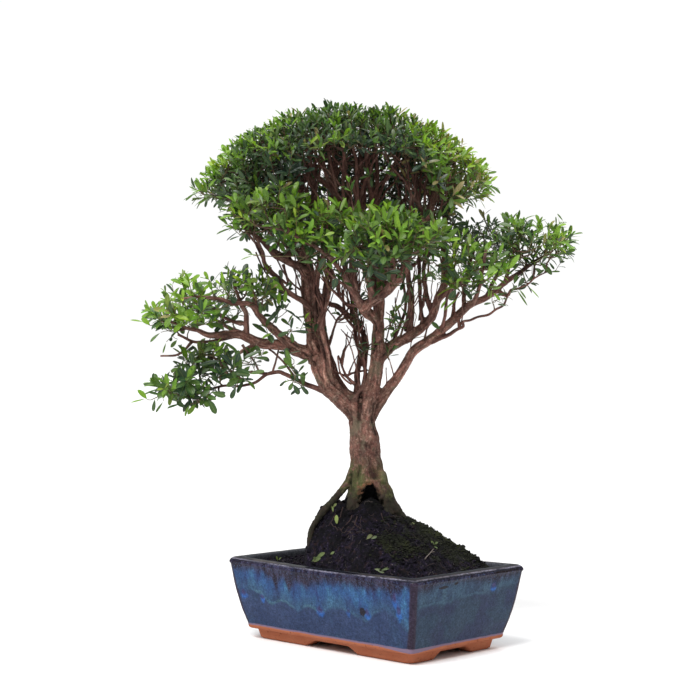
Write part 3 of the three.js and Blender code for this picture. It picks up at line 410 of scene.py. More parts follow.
# ---- wood ------------------------------------------------------------------------------------
# trunk, roots and branches: [x, y, z, radius] in mm from the middle of the pot
LIMBS = {
    "trunk": [[-2, -2, 154.4, 29.52], [-1.6, -1.5, 168.6, 25.98], [-2.9, -2.8, 181.6, 22.44], [-4.7, -4.6, 192.2, 20.67], [-5.6, -5.4, 204, 19.49], [-6.7, -6.5, 220.5, 17.95], [-7.3, -7.1, 239.4, 17.48], [-8.6, -8.4, 251.2, 15.94], [-9.8, -9.5, 263, 15.06], [-10.6, -10.4, 274.8, 14.17], [-12.7, -9.6, 286.6, 11.82]],
    "A": [[-7.4, -10, 253.7, 10.03], [-13.7, -16.2, 270.2, 10.91], [-24.6, -29.5, 288.5, 10.9], [-33.3, -40.8, 302.7, 10.3], [-39, -49.2, 321, 9.7], [-42.8, -52.9, 338.6, 9.11]],
    "A1": [[-43.4, -50.7, 331.6, 7.06], [-46.8, -54, 351.6, 5.89], [-50.5, -56.1, 375.1, 5.6], [-54, -56.8, 398.8, 5.6], [-55.6, -56.9, 422.4, 5.6], [-56.4, -57.7, 442.4, 5.31], [-58.4, -58.3, 463.7, 5.02], [-56.6, -50.9, 487.6, 4.44], [-54.9, -45.1, 518.6, 3.85], [-56.2, -43.6, 537.8, 3.56], [-63, -44.7, 552.4, 2.97], [-72.7, -48.5, 574.3, 2.08], [-78.4, -51.3, 591.2, 1.43]],
    "A2": [[-28.3, -45.8, 303.5, 5.28], [-27.6, -50.6, 324.6, 4.98], [-29.4, -53.8, 351.6, 4.68], [-33.2, -57.5, 378.5, 4.68], [-35.3, -59.5, 404.2, 4.39], [-34.3, -61.3, 424, 4.09], [-25.8, -61.5, 448.2, 3.79], [-13, -54.5, 470.1, 3.49], [-8.3, -44.4, 490.2, 2.91], [-15.6, -40.3, 515.4, 2.46], [-31, -41.4, 536.2, 2.35], [-38.7, -40.4, 552.2, 2.24], [-45.7, -41.7, 579.8, 1.77], [-48.3, -44.2, 596.3, 1.18]],
    "A3": [[-30.5, -26.9, 298.4, 5.32], [-36.8, -28.9, 312.5, 4.74], [-42.9, -27.8, 331.5, 4.04], [-50.3, -28, 350.5, 3.57], [-55, -28.4, 374.3, 3.34], [-56.8, -27.4, 395.8, 3.1], [-57.9, -22.9, 417.4, 2.99], [-59.6, -16.2, 439.2, 3], [-62.7, -8, 466.1, 2.89], [-65.7, 0.2, 496.8, 2.9], [-67.2, 4.3, 521.3, 3.15], [-68.9, 5.5, 548.2, 3.15], [-69.6, 7.6, 570.2, 2.79], [-72.4, 7.6, 591.1, 2.19], [-75.9, 7, 610.8, 1.34]],
    "A1L": [[-55, -59.1, 437.6, 4.71], [-55.7, -68.2, 443.8, 4.35], [-58.1, -78.9, 447.6, 4.1], [-61.3, -90.4, 452.5, 3.74], [-64.2, -98.9, 455.2, 3.5], [-65.9, -106.1, 462.6, 3.26], [-68.4, -114.1, 471.6, 2.9], [-71.2, -122.4, 478.3, 2.55], [-74.1, -130.8, 485.5, 2.08], [-77.7, -139.9, 496.8, 1.61]],
    "A1M": [[-57, -55.5, 442.5, 3.84], [-69.8, -59.6, 466.5, 3.44], [-80.9, -62.1, 490.7, 3.09], [-94, -69.3, 514.8, 2.74], [-107.5, -79.5, 534, 2.26], [-119.4, -91.2, 550.7, 1.79], [-129.9, -104.2, 562.4, 1.31]],
    "A1N": [[-60.9, -90, 452, 2.69], [-57.3, -83.7, 457.9, 2.45], [-61, -81.8, 465.8, 2.34], [-68, -83, 473.6, 2.35], [-76.5, -85.7, 485.7, 2.12], [-86.2, -89.6, 500.1, 1.77], [-100.1, -97.5, 516.9, 1.42]],
    "AT": [[-49.3, -56.4, 395.1, 3.53], [-52.8, -65.4, 403.3, 3.17], [-56.7, -80.3, 411.2, 2.93], [-58.6, -90.6, 418, 2.8], [-59.6, -100, 429.9, 2.67], [-62.5, -111.1, 437.9, 2.55], [-63.1, -117.3, 446.9, 2.43], [-61, -120.9, 457.7, 2.19], [-62, -124.6, 465.6, 1.96], [-63.8, -129.2, 474.7, 1.61]],
    "AT2": [[-61.6, -87.9, 445.1, 1.52], [-55, -89.9, 433.1, 1.51], [-54.8, -86.9, 425, 1.52]],
    "AX": [[-28.5, -61.3, 369, 1.75], [-22.9, -58.6, 390, 1.75], [-22.4, -52.5, 405.2, 1.63], [-24.5, -46.2, 423, 1.52], [-30.5, -43.6, 439.7, 1.41]],
    "B": [[-43.4, -50.7, 337.5, 9.42], [-49, -57.5, 340.4, 8.83], [-57.2, -66.8, 345.1, 7.64], [-67.9, -80.1, 351, 6.46], [-77, -91.7, 352.7, 5.99], [-85.9, -101.8, 353.3, 5.75], [-91.9, -109.1, 357.4, 5.39], [-99.2, -119, 362.7, 5.15], [-107, -130.8, 363.8, 4.79], [-116.5, -144.2, 363.2, 4.32], [-122.2, -153.9, 363.8, 3.26], [-128.6, -164.4, 369, 2.56], [-133.8, -172.2, 370.7, 2.09], [-144, -187.7, 378.2, 1.62], [-154.9, -201.2, 379.3, 1.16]],
    "Bt1": [[-104.5, -128.3, 362.1, 2.34], [-116, -135.3, 358, 1.87], [-132.5, -145.8, 355.1, 1.76], [-147.3, -154.7, 356.3, 1.65], [-163.7, -162.3, 364, 1.42]],
    "Bt2": [[-146.9, -155.7, 355.1, 1.53], [-151.3, -164.1, 344.5, 1.41], [-156.1, -171.6, 339.8, 1.29], [-167.5, -185.5, 338.7, 1.05]],
    "Bv": [[-95.4, -115.3, 362.1, 3.16], [-94, -116.7, 375, 2.93], [-89.9, -121.1, 388.2, 2.92], [-88.8, -128.4, 397.4, 2.67], [-89.1, -134.3, 408.4, 2.09], [-89.5, -140.2, 419.8, 1.62]],
    "Bu": [[-96.2, -121.7, 376.1, 2.1], [-109.3, -128.8, 380.3, 1.87], [-119, -132.7, 386.2, 1.76], [-131.3, -139.1, 397.4, 1.41]],
    "B2": [[-51.3, -61.1, 342.2, 5.29], [-55.8, -69.7, 346.9, 5.64], [-58.5, -79.3, 353.3, 5.39], [-61.1, -87.4, 359.1, 5.14], [-65.9, -100.5, 369.6, 4.66], [-70.1, -110.1, 378.8, 4.07], [-73, -117.2, 387.5, 3.83], [-75.2, -123.5, 396.1, 3.48], [-78.7, -129.7, 399.8, 3.13], [-82.2, -135.9, 400.1, 2.89], [-86.5, -142.9, 399.5, 2.66], [-91.9, -151, 402.3, 2.31], [-100, -161.6, 405.7, 2.08], [-111.7, -175.8, 406.8, 1.73], [-124.2, -190.8, 404.4, 1.27]],
    "B2u": [[-73.3, -117.4, 387.5, 2.67], [-72.7, -121.1, 400.2, 2.43], [-73.7, -124.9, 411.7, 2.08], [-75.5, -129.4, 425.5, 1.74]],
    "K4": [[-57.8, -56.3, 343.3, 4.72], [-77.2, -55.7, 347.5, 4.4], [-100.8, -56.3, 351.1, 4.08], [-129.5, -59.2, 356.6, 3.63], [-155.5, -65, 365.2, 3.05], [-180.3, -72.3, 375.1, 2.45], [-201.9, -79.4, 387.6, 1.85], [-218.8, -87.5, 400.1, 1.24]],
    "K4b": [[-129.5, -59.2, 356.6, 2.72], [-145.8, -72.2, 345.7, 2.3], [-162, -85.2, 332.4, 1.82], [-177.4, -97.4, 320.2, 1.46]],
    "C": [[-27.1, -32, 287.4, 4.12], [-35, -38.3, 293.2, 4.24], [-41.4, -43.1, 297.3, 3.66], [-49.4, -48.1, 301.4, 3.19], [-57.2, -52.9, 304.3, 2.96], [-65.4, -58.1, 309, 2.72], [-73.2, -62.9, 313.1, 2.72], [-81.4, -68.1, 317.8, 2.49], [-86, -71.2, 319.8, 2.49], [-98.8, -79.5, 316.6, 2.14], [-111.3, -88.9, 306.5, 1.78], [-124.4, -101.7, 302.9, 1.55], [-136.2, -116, 302.9, 1.54], [-147.7, -132.7, 297.1, 1.42], [-155.9, -146.3, 292.4, 1.18], [-165.3, -161, 291.4, 0.94]],
    "Cs1": [[-93.8, -76, 317.2, 1.31], [-85.7, -77.9, 331.5, 1.18], [-77.1, -80.7, 346.9, 1.06]],
    "Cs2": [[-72.3, -62.1, 316.1, 1.42], [-75.2, -73.2, 330.3, 1.3], [-78, -84.3, 340.4, 1.3], [-81.7, -92.1, 346.9, 1.29]],
    "Cs3": [[-98.8, -79.5, 317.2, 1.66], [-105.6, -97.3, 319.7, 1.54], [-111.3, -111.2, 318.6, 1.42], [-115.9, -121.3, 321, 1.41], [-123.7, -131.7, 331, 1.29], [-132.1, -139.9, 341, 1.18]],
    "Cs4": [[-97.4, -120, 351.6, 1.4], [-95.7, -112.7, 342.2, 1.29], [-96.5, -102.4, 332.7, 1.3], [-100.1, -91.9, 321.4, 1.3]],
    "N1": [[-9.1, -22.8, 305.8, 1.76], [-17.7, -25.6, 313.9, 1.77], [-23.3, -28.3, 324.5, 1.41], [-28.5, -30.6, 339.3, 1.06]],
    "N2": [[-17.7, -25.6, 315.7, 1.41], [-20, -13.9, 318.5, 1.42], [-14.2, 5.7, 321.9, 1.19]],
    "N3": [[-19.4, -7.7, 290, 4.15], [-21.9, -4.6, 302.9, 3.92], [-23.6, -3.4, 316, 3.57], [-23.6, -0.7, 327.8, 2.98], [-25.7, 5.7, 345.7, 2.15], [-28.6, 11.2, 360.1, 1.8]],
    "M1": [[-21.6, -18.2, 292.5, 2.96], [-27.6, -21.3, 301.9, 2.6], [-35.5, -23.5, 314.9, 2.37], [-39.9, -24.9, 329.1, 2.14], [-41.9, -29.7, 337.4, 1.9]],
    "D1": [[-9.6, -20.5, 288.1, 2.71], [-7.3, -12.7, 299.7, 2.59], [-8.5, -5.5, 315, 2.48], [-14.8, -0.5, 330.3, 2.37], [-24.2, 1.5, 344.5, 2.38], [-31.4, 2.9, 357.7, 2.39], [-35.1, 4.9, 369.7, 2.4], [-38.1, 7.5, 381.7, 2.4], [-46, 11.1, 406, 2.41], [-57.3, 14, 432.9, 2.42], [-67.7, 17.8, 461.3, 2.31]],
    "D2": [[-22.1, 3.6, 326.6, 3.22], [-22.8, 8.5, 340.9, 3.1], [-25.4, 11.6, 360.1, 3.11], [-32.1, 10.6, 372.1, 3.24], [-38.7, 7, 381.1, 3.48], [-46.9, 1.7, 389.2, 3.48], [-56.5, -4.8, 398.6, 3.25], [-63.5, -8.8, 401.1, 2.89], [-76.1, -9.9, 409.8, 2.66], [-93.3, -10, 426, 2.43], [-111.2, -7.8, 448.6, 2.33], [-127.8, -7.2, 473.8, 2.09]],
    "D3": [[-36.8, 6.1, 372.1, 1.8], [-38.8, -1.5, 379.2, 1.44], [-41.7, -7.1, 386.3, 1.2]],
    "E": [[-3.9, -9.4, 246.7, 10.61], [-1.8, -10.1, 265.6, 8.83], [-0.1, -8.4, 282.1, 8.71], [0.4, -2.4, 299.7, 9.44], [2.7, -0.2, 316.2, 8.73], [4.4, 1.5, 332.7, 8.02], [5.1, 2.2, 349.2, 7.79], [5.3, 2.4, 366.9, 7.31], [5.3, 5.1, 384.7, 5.31], [4.7, 7.4, 403, 4.96], [3.2, 8.7, 416.7, 4.73], [-0.2, 8.2, 440.5, 4.5], [-3.6, 4.9, 466.5, 4.26], [-5, 3.6, 490.2, 4.15], [-6.3, 5, 515.3, 4.15], [-4.6, 9.4, 533.2, 2.73], [-5, 11.9, 552.4, 2.38], [-7, 12.8, 570.5, 2.14], [-8.2, 11.5, 587.1, 1.78], [-9.1, 10.7, 605, 1.19]],
    "E2": [[0.3, 5.9, 378.8, 3.79], [-3.6, 7.7, 399.1, 3.56], [-6.9, 10.1, 417, 3.33], [-14.4, 11.1, 443.4, 3.22], [-22.3, 9, 473.5, 3.1], [-27.1, 7.1, 498.7, 3.23], [-25, 9.1, 525, 3.35], [-25.6, 8.5, 548.9, 2.99], [-25.7, 5.7, 572.6, 2.27], [-26, 2.6, 596.2, 1.43]],
    "E3": [[-6.5, 4.8, 508.2, 2.96], [-4.8, 0.9, 527.9, 2.49], [-4.5, -4.4, 546.5, 2.13], [-3.5, -9, 569.6, 1.77], [-2.9, -11.2, 595.3, 1.18]],
    "K1": [[-1.9, 6.5, 319.6, 5.92], [-16.7, 25.7, 345.7, 5.4], [-32.2, 44, 379.7, 5.22], [-43.7, 57.9, 411.8, 4.9], [-50.2, 73.9, 446.9, 4.57], [-51.7, 86.4, 484.6, 4.09], [-52.7, 96.6, 526.2, 3.36], [-55, 102.8, 563, 2.5], [-56.3, 104.3, 595.7, 1.5]],
    "K1b": [[-44.2, 60.3, 416.8, 3.31], [-37.4, 83.6, 436.9, 3.08], [-25.1, 106.8, 454.6, 2.72], [-11.8, 125.4, 469.7, 2.11], [-0.6, 139, 482.2, 1.49]],
    "K2": [[-48.8, -42, 341, 5.33], [-66.2, -28.2, 367.2, 5.03], [-85.5, -13.4, 399, 4.84], [-101.9, -1.6, 431.3, 4.53], [-121.5, 7.3, 466.8, 4.08], [-141, 10.6, 505.1, 3.49], [-157.2, 8.8, 540.9, 2.75], [-168.7, 6, 576.6, 1.88], [-174.7, 3, 596.9, 1.26]],
    "K2b": [[-101.9, -1.6, 428.9, 3.06], [-123.4, -2.9, 446.7, 2.71], [-143.9, -8.9, 462, 2.35], [-162.5, -18.7, 474.8, 1.74]],
    "F1": [[9.4, -2, 373.9, 6.47], [10.2, -9.7, 383.2, 6.45], [8.4, -19.7, 389.5, 6.43], [7.5, -27.6, 395.2, 5.6], [7.3, -34.7, 406.2, 4.65], [8.7, -40.4, 417.6, 4.18], [10, -46.1, 431.3, 3.82], [10.9, -48, 440.5, 3.7], [11.5, -44.7, 461.4, 3.82], [10, -34.9, 485.1, 4.07], [3.5, -27.3, 504.5, 4.32], [-6.9, -29.1, 508.5, 4.22], [-21.8, -32.4, 519.8, 4.12], [-34.2, -33.3, 534.6, 3.9], [-45.4, -38.7, 544.5, 3.55], [-52.8, -43.1, 553, 3.08], [-58.5, -45.8, 567.4, 2.37], [-62.7, -49.9, 585.2, 1.42]],
    "F1b": [[8, -35.5, 403.8, 3.49], [13.7, -53.6, 419.4, 3.23], [18.1, -74.5, 437, 2.85], [19.4, -98.4, 454.2, 2.37], [10.4, -121.1, 467.1, 1.8], [-1.2, -138, 478.1, 1.23]],
    "F1c": [[2.5, -31.1, 505.5, 2.92], [1.4, -29.3, 530.2, 2.34], [-0.5, -28.4, 549.1, 2.1], [-0.6, -28.5, 566.6, 1.87], [-2.9, -30.7, 579.5, 1.64], [-7.2, -32.2, 600.8, 1.17]],
    "F2": [[7, -26.7, 394.7, 5.48], [12.8, -25.2, 398.7, 5.24], [19.5, -22.9, 402.7, 5.23], [29.7, -18.5, 408.4, 5.22], [40.4, -13.7, 418.1, 5.21], [50.1, -9.8, 428.3, 5.2], [56.1, -6.8, 438.5, 5.08], [58.5, -4.5, 451.9, 4.96], [57.9, 0.5, 467.2, 4.97], [58.3, 12.1, 483.9, 5.11], [58.8, 26.6, 497.5, 5.25], [56.8, 35.8, 511.6, 5.04], [54.8, 45, 525, 4.71], [52.1, 50.8, 538.2, 4.37], [48.2, 55.3, 551, 4.03], [43.7, 56.5, 559.8, 3.56], [38.6, 57.2, 576.4, 2.62], [35.6, 57, 593.3, 1.55]],
    "F2b": [[38.3, -15.8, 415.2, 3.71], [56, -26.4, 431.6, 3.32], [67.4, -40.4, 450.1, 2.95], [72.1, -55.4, 466.2, 2.37], [72.7, -66, 479.2, 1.68]],
    "F2c": [[58.8, 23.8, 495, 2.33], [51.5, 22.3, 518.7, 2.1], [47.3, 20.9, 536.4, 1.99], [44.3, 20.8, 549.5, 1.87], [39.1, 18.6, 562.6, 1.64], [34, 16.4, 582.8, 1.17]],
    "F2d": [[55.3, 48.3, 527.2, 3.06], [60.1, 61.4, 535.7, 2.84], [63.4, 70.2, 539.1, 2.61], [68.1, 77.5, 541.4, 2.13], [75.3, 87.3, 547.5, 1.54], [83.8, 95.6, 554.6, 1.07]],
    "F3": [[18.8, -22.2, 400.4, 4.07], [28.8, -36.1, 418.3, 3.46], [37.7, -55.4, 439.3, 2.97], [43.7, -74.7, 458.7, 2.37], [45.8, -86.6, 473.9, 1.69]],
    "F4": [[11.9, -27.5, 399.2, 1.75], [11.2, -36.6, 405.5, 1.74], [8.7, -44.6, 412.4, 1.74], [5, -56.6, 421.9, 1.73], [-2, -68.9, 432.1, 1.61], [-6.5, -79, 446.9, 1.38]],
    "F5": [[5.6, -25.2, 393.6, 1.75], [-2.5, -30.3, 398.3, 1.75], [-10.6, -35.4, 400, 1.76], [-15.9, -40.6, 407.7, 1.64], [-22.6, -49.9, 418.9, 1.52], [-27.8, -57.8, 432.1, 1.4]],
    "G": [[2.5, 5.3, 338.6, 7.09], [6.3, 11.7, 344.5, 6.51], [13.2, 21.2, 351.6, 6.04], [22, 34, 359.6, 5.81], [30.8, 46.8, 370.2, 5.47], [38.6, 57.2, 382.6, 5.23], [41.1, 62.4, 394.5, 5], [43.3, 65.9, 405.9, 4.88], [46.7, 70.6, 418.4, 4.53], [49, 74.2, 433.9, 4.29], [47.3, 74, 450.7, 3.82], [44.9, 74.4, 469.9, 3.34], [43.5, 78.7, 491.7, 2.75], [43.5, 84.2, 513.6, 2.28], [44.3, 90.6, 535.5, 1.68], [48.1, 97.2, 555, 1.2]],
    "Gs1": [[42.2, 64.8, 404.1, 2.98], [55.8, 71.1, 417.6, 2.61], [67.1, 76.5, 425.7, 2.37], [75.8, 79.4, 432.7, 2.13], [86.8, 84.6, 444.9, 1.77], [96.6, 91.3, 456.6, 1.3]],
    "Gv1": [[22.7, 37.5, 360.5, 4.16], [20.9, 42.7, 379, 3.69], [18.7, 46.2, 395.8, 3.58], [15.4, 48.5, 413.8, 3.35], [9.5, 51.1, 429.6, 3.24], [2.9, 55.8, 451.6, 3.01], [-5.1, 59.2, 478.7, 2.78], [-11.8, 61.1, 505.7, 2.55], [-14.4, 61.3, 527.7, 2.43], [-14.9, 63.7, 549.8, 1.94], [-14.5, 66.8, 569.4, 1.46], [-13.2, 68.1, 588.9, 1.09]],
    "Gv2": [[10.7, 21.6, 352.8, 2.02], [13.1, 32.3, 375.4, 1.78], [14.6, 39.4, 392.2, 1.67], [12.4, 42.8, 409, 1.67], [5.3, 44.3, 429.5, 1.56], [-3.9, 43.7, 451.4, 1.44]],
    "Gv3": [[33.5, 52.2, 373.1, 2.62], [27.9, 52.3, 396.9, 2.26], [24.4, 54.5, 422.1, 2.27], [20.2, 58.7, 446.3, 2.16], [15, 62.1, 470.7, 1.92], [7.6, 63.2, 497.5, 1.69]],
    "Gv4": [[39.9, 61.2, 388.6, 3.21], [34.3, 58.5, 403.5, 2.98], [32.2, 56.5, 418.8, 2.86], [32.2, 53.7, 430.2, 2.74], [34.8, 50.7, 447.9, 2.5], [43.9, 51.2, 468.9, 2.13], [54.7, 53.3, 487.4, 1.65]],
    "K3": [[10.7, 24.3, 351.6, 4.39], [8.7, 47.6, 358.9, 4.19], [5.7, 72.5, 369.9, 4.11], [4.1, 96.2, 386, 3.91], [1, 115.5, 408.5, 3.69], [-0.3, 131, 437.3, 3.34], [2, 141.6, 459.9, 2.61], [4.8, 149.8, 482.5, 1.87], [7, 154.8, 500.1, 1.12]],
    "K3b": [[0.6, 115, 407.2, 2.83], [13.8, 133.5, 424.6, 2.47], [31.5, 150.7, 441.9, 2.1], [50.4, 166.4, 456.6, 1.48]],
    "H": [[-8.8, -1.6, 248.6, 8.29], [-5.7, 2.8, 268.7, 7.4], [2.4, 8, 285.3, 7.46], [12, 11.6, 298.5, 6.61], [21.5, 18.2, 312.9, 5.66], [30.6, 24.3, 330.9, 5.3], [37.5, 29.6, 344.6, 5.54], [43.7, 34.2, 350.6, 5.65], [50.2, 39.1, 355.7, 5.65], [62.7, 48.5, 367.8, 5.41], [75.4, 58.1, 381.6, 5.17], [81.9, 63.1, 389.6, 4.93], [87.8, 68.8, 397.3, 4.58], [94.5, 75.3, 402.3, 4.11], [102.1, 82.7, 406.7, 3.76], [110.8, 91.1, 414.9, 3.52], [118.2, 101.2, 425.6, 3.17], [127.3, 115.6, 436.4, 2.71], [134.4, 126.7, 446.5, 2.48], [141.8, 138.1, 454.3, 1.77], [150.7, 149.6, 462.7, 1.18]],
    "Hs1": [[54.9, 42.3, 356.3, 3.18], [65.1, 46.7, 360.3, 2.58], [75.1, 52.2, 364.9, 2.23], [82.2, 56.4, 370.3, 1.99], [87.7, 60.3, 373.3, 1.87], [89, 58.7, 378.7, 1.64], [95.3, 63.5, 380.7, 1.52], [102.6, 69.3, 384.2, 1.46], [113.1, 76.7, 387, 1.4], [120.2, 80.8, 392.8, 1.4], [127.1, 86.1, 398.1, 1.28], [129, 89.4, 406.3, 1.17], [130.7, 93.8, 414.5, 1.17]],
    "Hs2": [[84.3, 58.4, 370.9, 1.99], [81.9, 58.8, 379.7, 1.76], [80.4, 60.2, 389.1, 1.64]],
    "Hs3": [[114.7, 95, 412.6, 2.35], [122.7, 100, 410.2, 1.99], [127.7, 99.3, 415.9, 1.52], [134.8, 103.4, 417.5, 1.11], [143.6, 109.2, 422.1, 0.99], [150.3, 115.7, 429.8, 0.93], [158.7, 123.9, 436.3, 0.82], [163.7, 128.8, 437.5, 0.7]],
    "Hs4": [[94.1, 72.2, 401.4, 2.7], [101.8, 68.5, 411.1, 2.45], [112, 61.6, 422.3, 2.32], [121.4, 54, 435.6, 2.19], [129.4, 47.9, 446.6, 2.18], [134.9, 44.8, 460, 1.6]],
    "Hs5": [[82.3, 69, 393.9, 2.71], [76.7, 74.7, 405.9, 2.48], [70.2, 82.3, 415.7, 2.37], [64.1, 93.2, 431.7, 2.51], [61.1, 104.2, 448.9, 2.04], [59.4, 113.7, 466.2, 1.57]],
    "Hs6": [[101.7, 85.1, 406.8, 2.58], [94, 105.5, 422.9, 2.37], [86.4, 126.1, 439.2, 2.28], [82.3, 144.4, 454.5, 1.93], [79.6, 161.3, 467.4, 1.46]],
    "Hs7": [[117.7, 100.7, 424.4, 2.47], [125.2, 96.8, 438.1, 1.99], [134, 91.5, 450.5, 1.63], [142.4, 88.4, 461.6, 1.28]],
    "Hs8": [[65.1, 46.7, 368, 2.11], [71.6, 44.6, 380.8, 1.99], [76.8, 41.3, 392.4, 2.1], [82, 38, 405, 1.86], [92.7, 34.4, 419.7, 1.62], [102.8, 33.2, 433.2, 1.27]],
    "Hs9": [[73, 57.2, 379.8, 2.35], [71.7, 61.5, 391.6, 2.12], [70.4, 65.7, 403.5, 1.77], [71.1, 72.1, 414.3, 1.54]],
    "R1": [[-8.8, -17, 212.7, 7.06], [-11.2, -22.1, 202.8, 6.12], [-14.2, -26.4, 192.9, 5.05], [-18.3, -31.8, 183, 4.46], [-23.4, -38.1, 173.5, 4.11], [-28, -44, 166.1, 3.87], [-31.8, -49.1, 158.6, 3.64], [-35.4, -54, 151.1, 3.52], [-39.3, -57.8, 143.4, 3.4], [-42.3, -60.7, 135.2, 3.4], [-43.5, -61.9, 125.3, 3.52], [-43.1, -61.5, 113.5, 3.63]],
    "R2": [[-7.4, -18.4, 202.2, 9.41], [-6.6, -21.8, 188.3, 7.93], [-6.5, -24.5, 175.6, 7.04], [-7.2, -28, 164.1, 6.74], [-10.8, -30.1, 153.4, 5.86], [-17.8, -31.3, 136.6, 4.7]],
    "R3": [[9.8, -1.6, 199.9, 8.82], [15, 0.6, 185.9, 7.64], [20.3, 4.4, 173.1, 7.05], [24.9, 8.9, 161.3, 6.46], [28.6, 15.3, 151.7, 5.58], [33.7, 27.2, 135.9, 4.12]],
    "R4": [[-3.3, 8, 198.7, 10.08], [-3.8, 17.2, 183.9, 9.22], [-4.8, 28.8, 167.6, 8.37], [-6.1, 44.3, 150.9, 7.22], [-6.5, 60.7, 132.8, 5.44]],
    "R5": [[-16, -4.4, 198.7, 10.08], [-24.3, -2.7, 182.7, 8.92], [-34.8, -0.4, 166.4, 7.77], [-47.6, 2.5, 149.8, 6.61], [-60.5, 5.3, 131.8, 5.44]],
    "X1": [[-26.1, -21.2, 293.7, 4.73], [-20.2, -15.5, 288.3, 7.1], [-14.1, -8.1, 284.2, 7.1], [-9, -3.2, 274.7, 5.92]],
    "R6": [[-6.5, -9.2, 182.9, 5.31], [-6, -11.4, 171.3, 4.71], [-1.6, -12.7, 159.9, 4.41], [6.3, -10.7, 146.2, 4.11], [12.7, -7.2, 130, 3.52]],
}
# the root at the back lies along the slope and goes down into the soil
LIMBS["R4"] = [[-3.3, 8, 198.7, 10.12], [-3.8, 17.2, 181.5, 9.2], [-4.8, 28.8, 160.5, 8.2], [-6.1, 39.5, 142.5, 7], [-6.3, 48.5, 127.5, 5.8], [-6.4, 55.5, 112, 4.6]]
# the two back stems end under the clipped surface of the crown
for name_, top_ in (("K1", 556.0), ("K2", 530.0)):
    rows_ = LIMBS[name_]
    n_low = next(i_ for i_, r_ in enumerate(rows_) if r_[2] >= top_)
    lo_, hi_ = rows_[n_low - 1], rows_[n_low]
    k_ = (top_ - lo_[2]) / (hi_[2] - lo_[2])
    LIMBS[name_] = rows_[:n_low] + [[a_ + (b_ - a_) * k_ for a_, b_ in zip(lo_[:3], hi_[:3])] + [1.3]]


def resample(rows, step):
    """Points, radii and tangents along a centripetal Catmull-Rom curve through the rows."""
    p = np.array([r[:3] for r in rows], float)
    w = np.array([r[3] for r in rows], float)
    p = np.vstack([2 * p[0] - p[1], p, 2 * p[-1] - p[-2]])
    w = np.concatenate([[w[0]], w, [w[-1]]])
    out, rad = [], []
    for i in range(1, len(p) - 2):
        q = p[i - 1:i + 3]
        t = np.concatenate([[0], np.cumsum(np.maximum(np.linalg.norm(np.diff(q, axis=0), axis=1), 1e-6) ** 0.5)])
        n = max(1, int(round(np.linalg.norm(q[2] - q[1]) / step)))
        u = np.linspace(0, 1, n, endpoint=False) if i < len(p) - 3 else np.linspace(0, 1, n + 1)
        x = (t[1] + (t[2] - t[1]) * u)[:, None]
        a1 = (t[1] - x) / (t[1] - t[0]) * q[0] + (x - t[0]) / (t[1] - t[0]) * q[1]
        a2 = (t[2] - x) / (t[2] - t[1]) * q[1] + (x - t[1]) / (t[2] - t[1]) * q[2]
        a3 = (t[3] - x) / (t[3] - t[2]) * q[2] + (x - t[2]) / (t[3] - t[2]) * q[3]
        b1 = (t[2] - x) / (t[2] - t[0]) * a1 + (x - t[0]) / (t[2] - t[0]) * a2
        b2 = (t[3] - x) / (t[3] - t[1]) * a2 + (x - t[1]) / (t[3] - t[1]) * a3
        out.append((t[2] - x) / (t[2] - t[1]) * b1 + (x - t[1]) / (t[2] - t[1]) * b2)
        k = u * u * (3 - 2 * u) * 0.5 + u * 0.5
        rad.append(w[i] * (1 - k) + w[i + 1] * k)
    pts, rad = np.vstack(out), np.concatenate(rad)
    tan = unit(np.gradient(pts, axis=0))
    return pts, rad, tan


def frames_along(tan):
    ref = UP if abs(tan[0][2]) < 0.9 else RV
    n = unit(np.cross(tan[0], ref))
    ns = [n]
    for k in range(1, len(tan)):
        n = n - tan[k] * np.dot(n, tan[k])
        n = n / max(np.linalg.norm(n), 1e-9)
        ns.append(n)
    ns = np.array(ns)
    return ns, np.cross(tan, ns)


def tube(pts, rad, ns, bs, sides, shape=None, cap=True):
    """A closed tube; rad may be (m,) or (m, sides)."""
    m = len(pts)
    a = np.arange(sides) * 2 * math.pi / sides
    r = rad[:, None] * np.ones(sides) if np.ndim(rad) == 1 else rad
    if shape is not None:
        r = r * shape(a)
    v = pts[:, None] + r[..., None] * (np.cos(a)[None, :, None] * ns[:, None] + np.sin(a)[None, :, None] * bs[:, None])
    v = v.reshape(-1, 3)
    i = np.arange(m - 1)[:, None] * sides
    j = np.arange(sides)[None]
    k = (j + 1) % sides
    quads = np.stack([i + j, i + k, i + sides + k, i + sides + j], -1).reshape(-1, 4)
    tris = []
    if cap:
        v = np.vstack([v, pts[0], pts[-1]])
        c0, c1 = m * sides, m * sides + 1
        tris = np.vstack([np.stack([np.full(sides, c0), k[0], j[0]], -1),
                          np.stack([np.full(sides, c1), (m - 1) * sides + j[0], (m - 1) * sides + k[0]], -1)])
    return v, quads, tris


class Gather:
    """Collects pieces of mesh into one."""

    def __init__(self):
        self.v, self.q, self.t, self.a, self.n = [], [], [], {}, 0

    def add(self, v, q, t=(), **attrs):
        self.v.append(v)
        if len(q):
            self.q.append(np.asarray(q) + self.n)
        if len(t):
            self.t.append(np.asarray(t) + self.n)
        for k, x in attrs.items():
            x = np.asarray(x, float)
            if x.ndim == 0 or (x.ndim == 1 and len(x) == 3 and len(v) != 3):
                x = np.broadcast_to(x, (len(v),) + x.shape)
            self.a.setdefault(k, []).append(x)
        self.n += len(v)

    def faces(self):
        return [np.vstack(x) for x in (self.q, self.t) if x]

    def verts(self):
        return np.vstack(self.v)

    def attr(self, k):
        return np.concatenate(self.a[k])


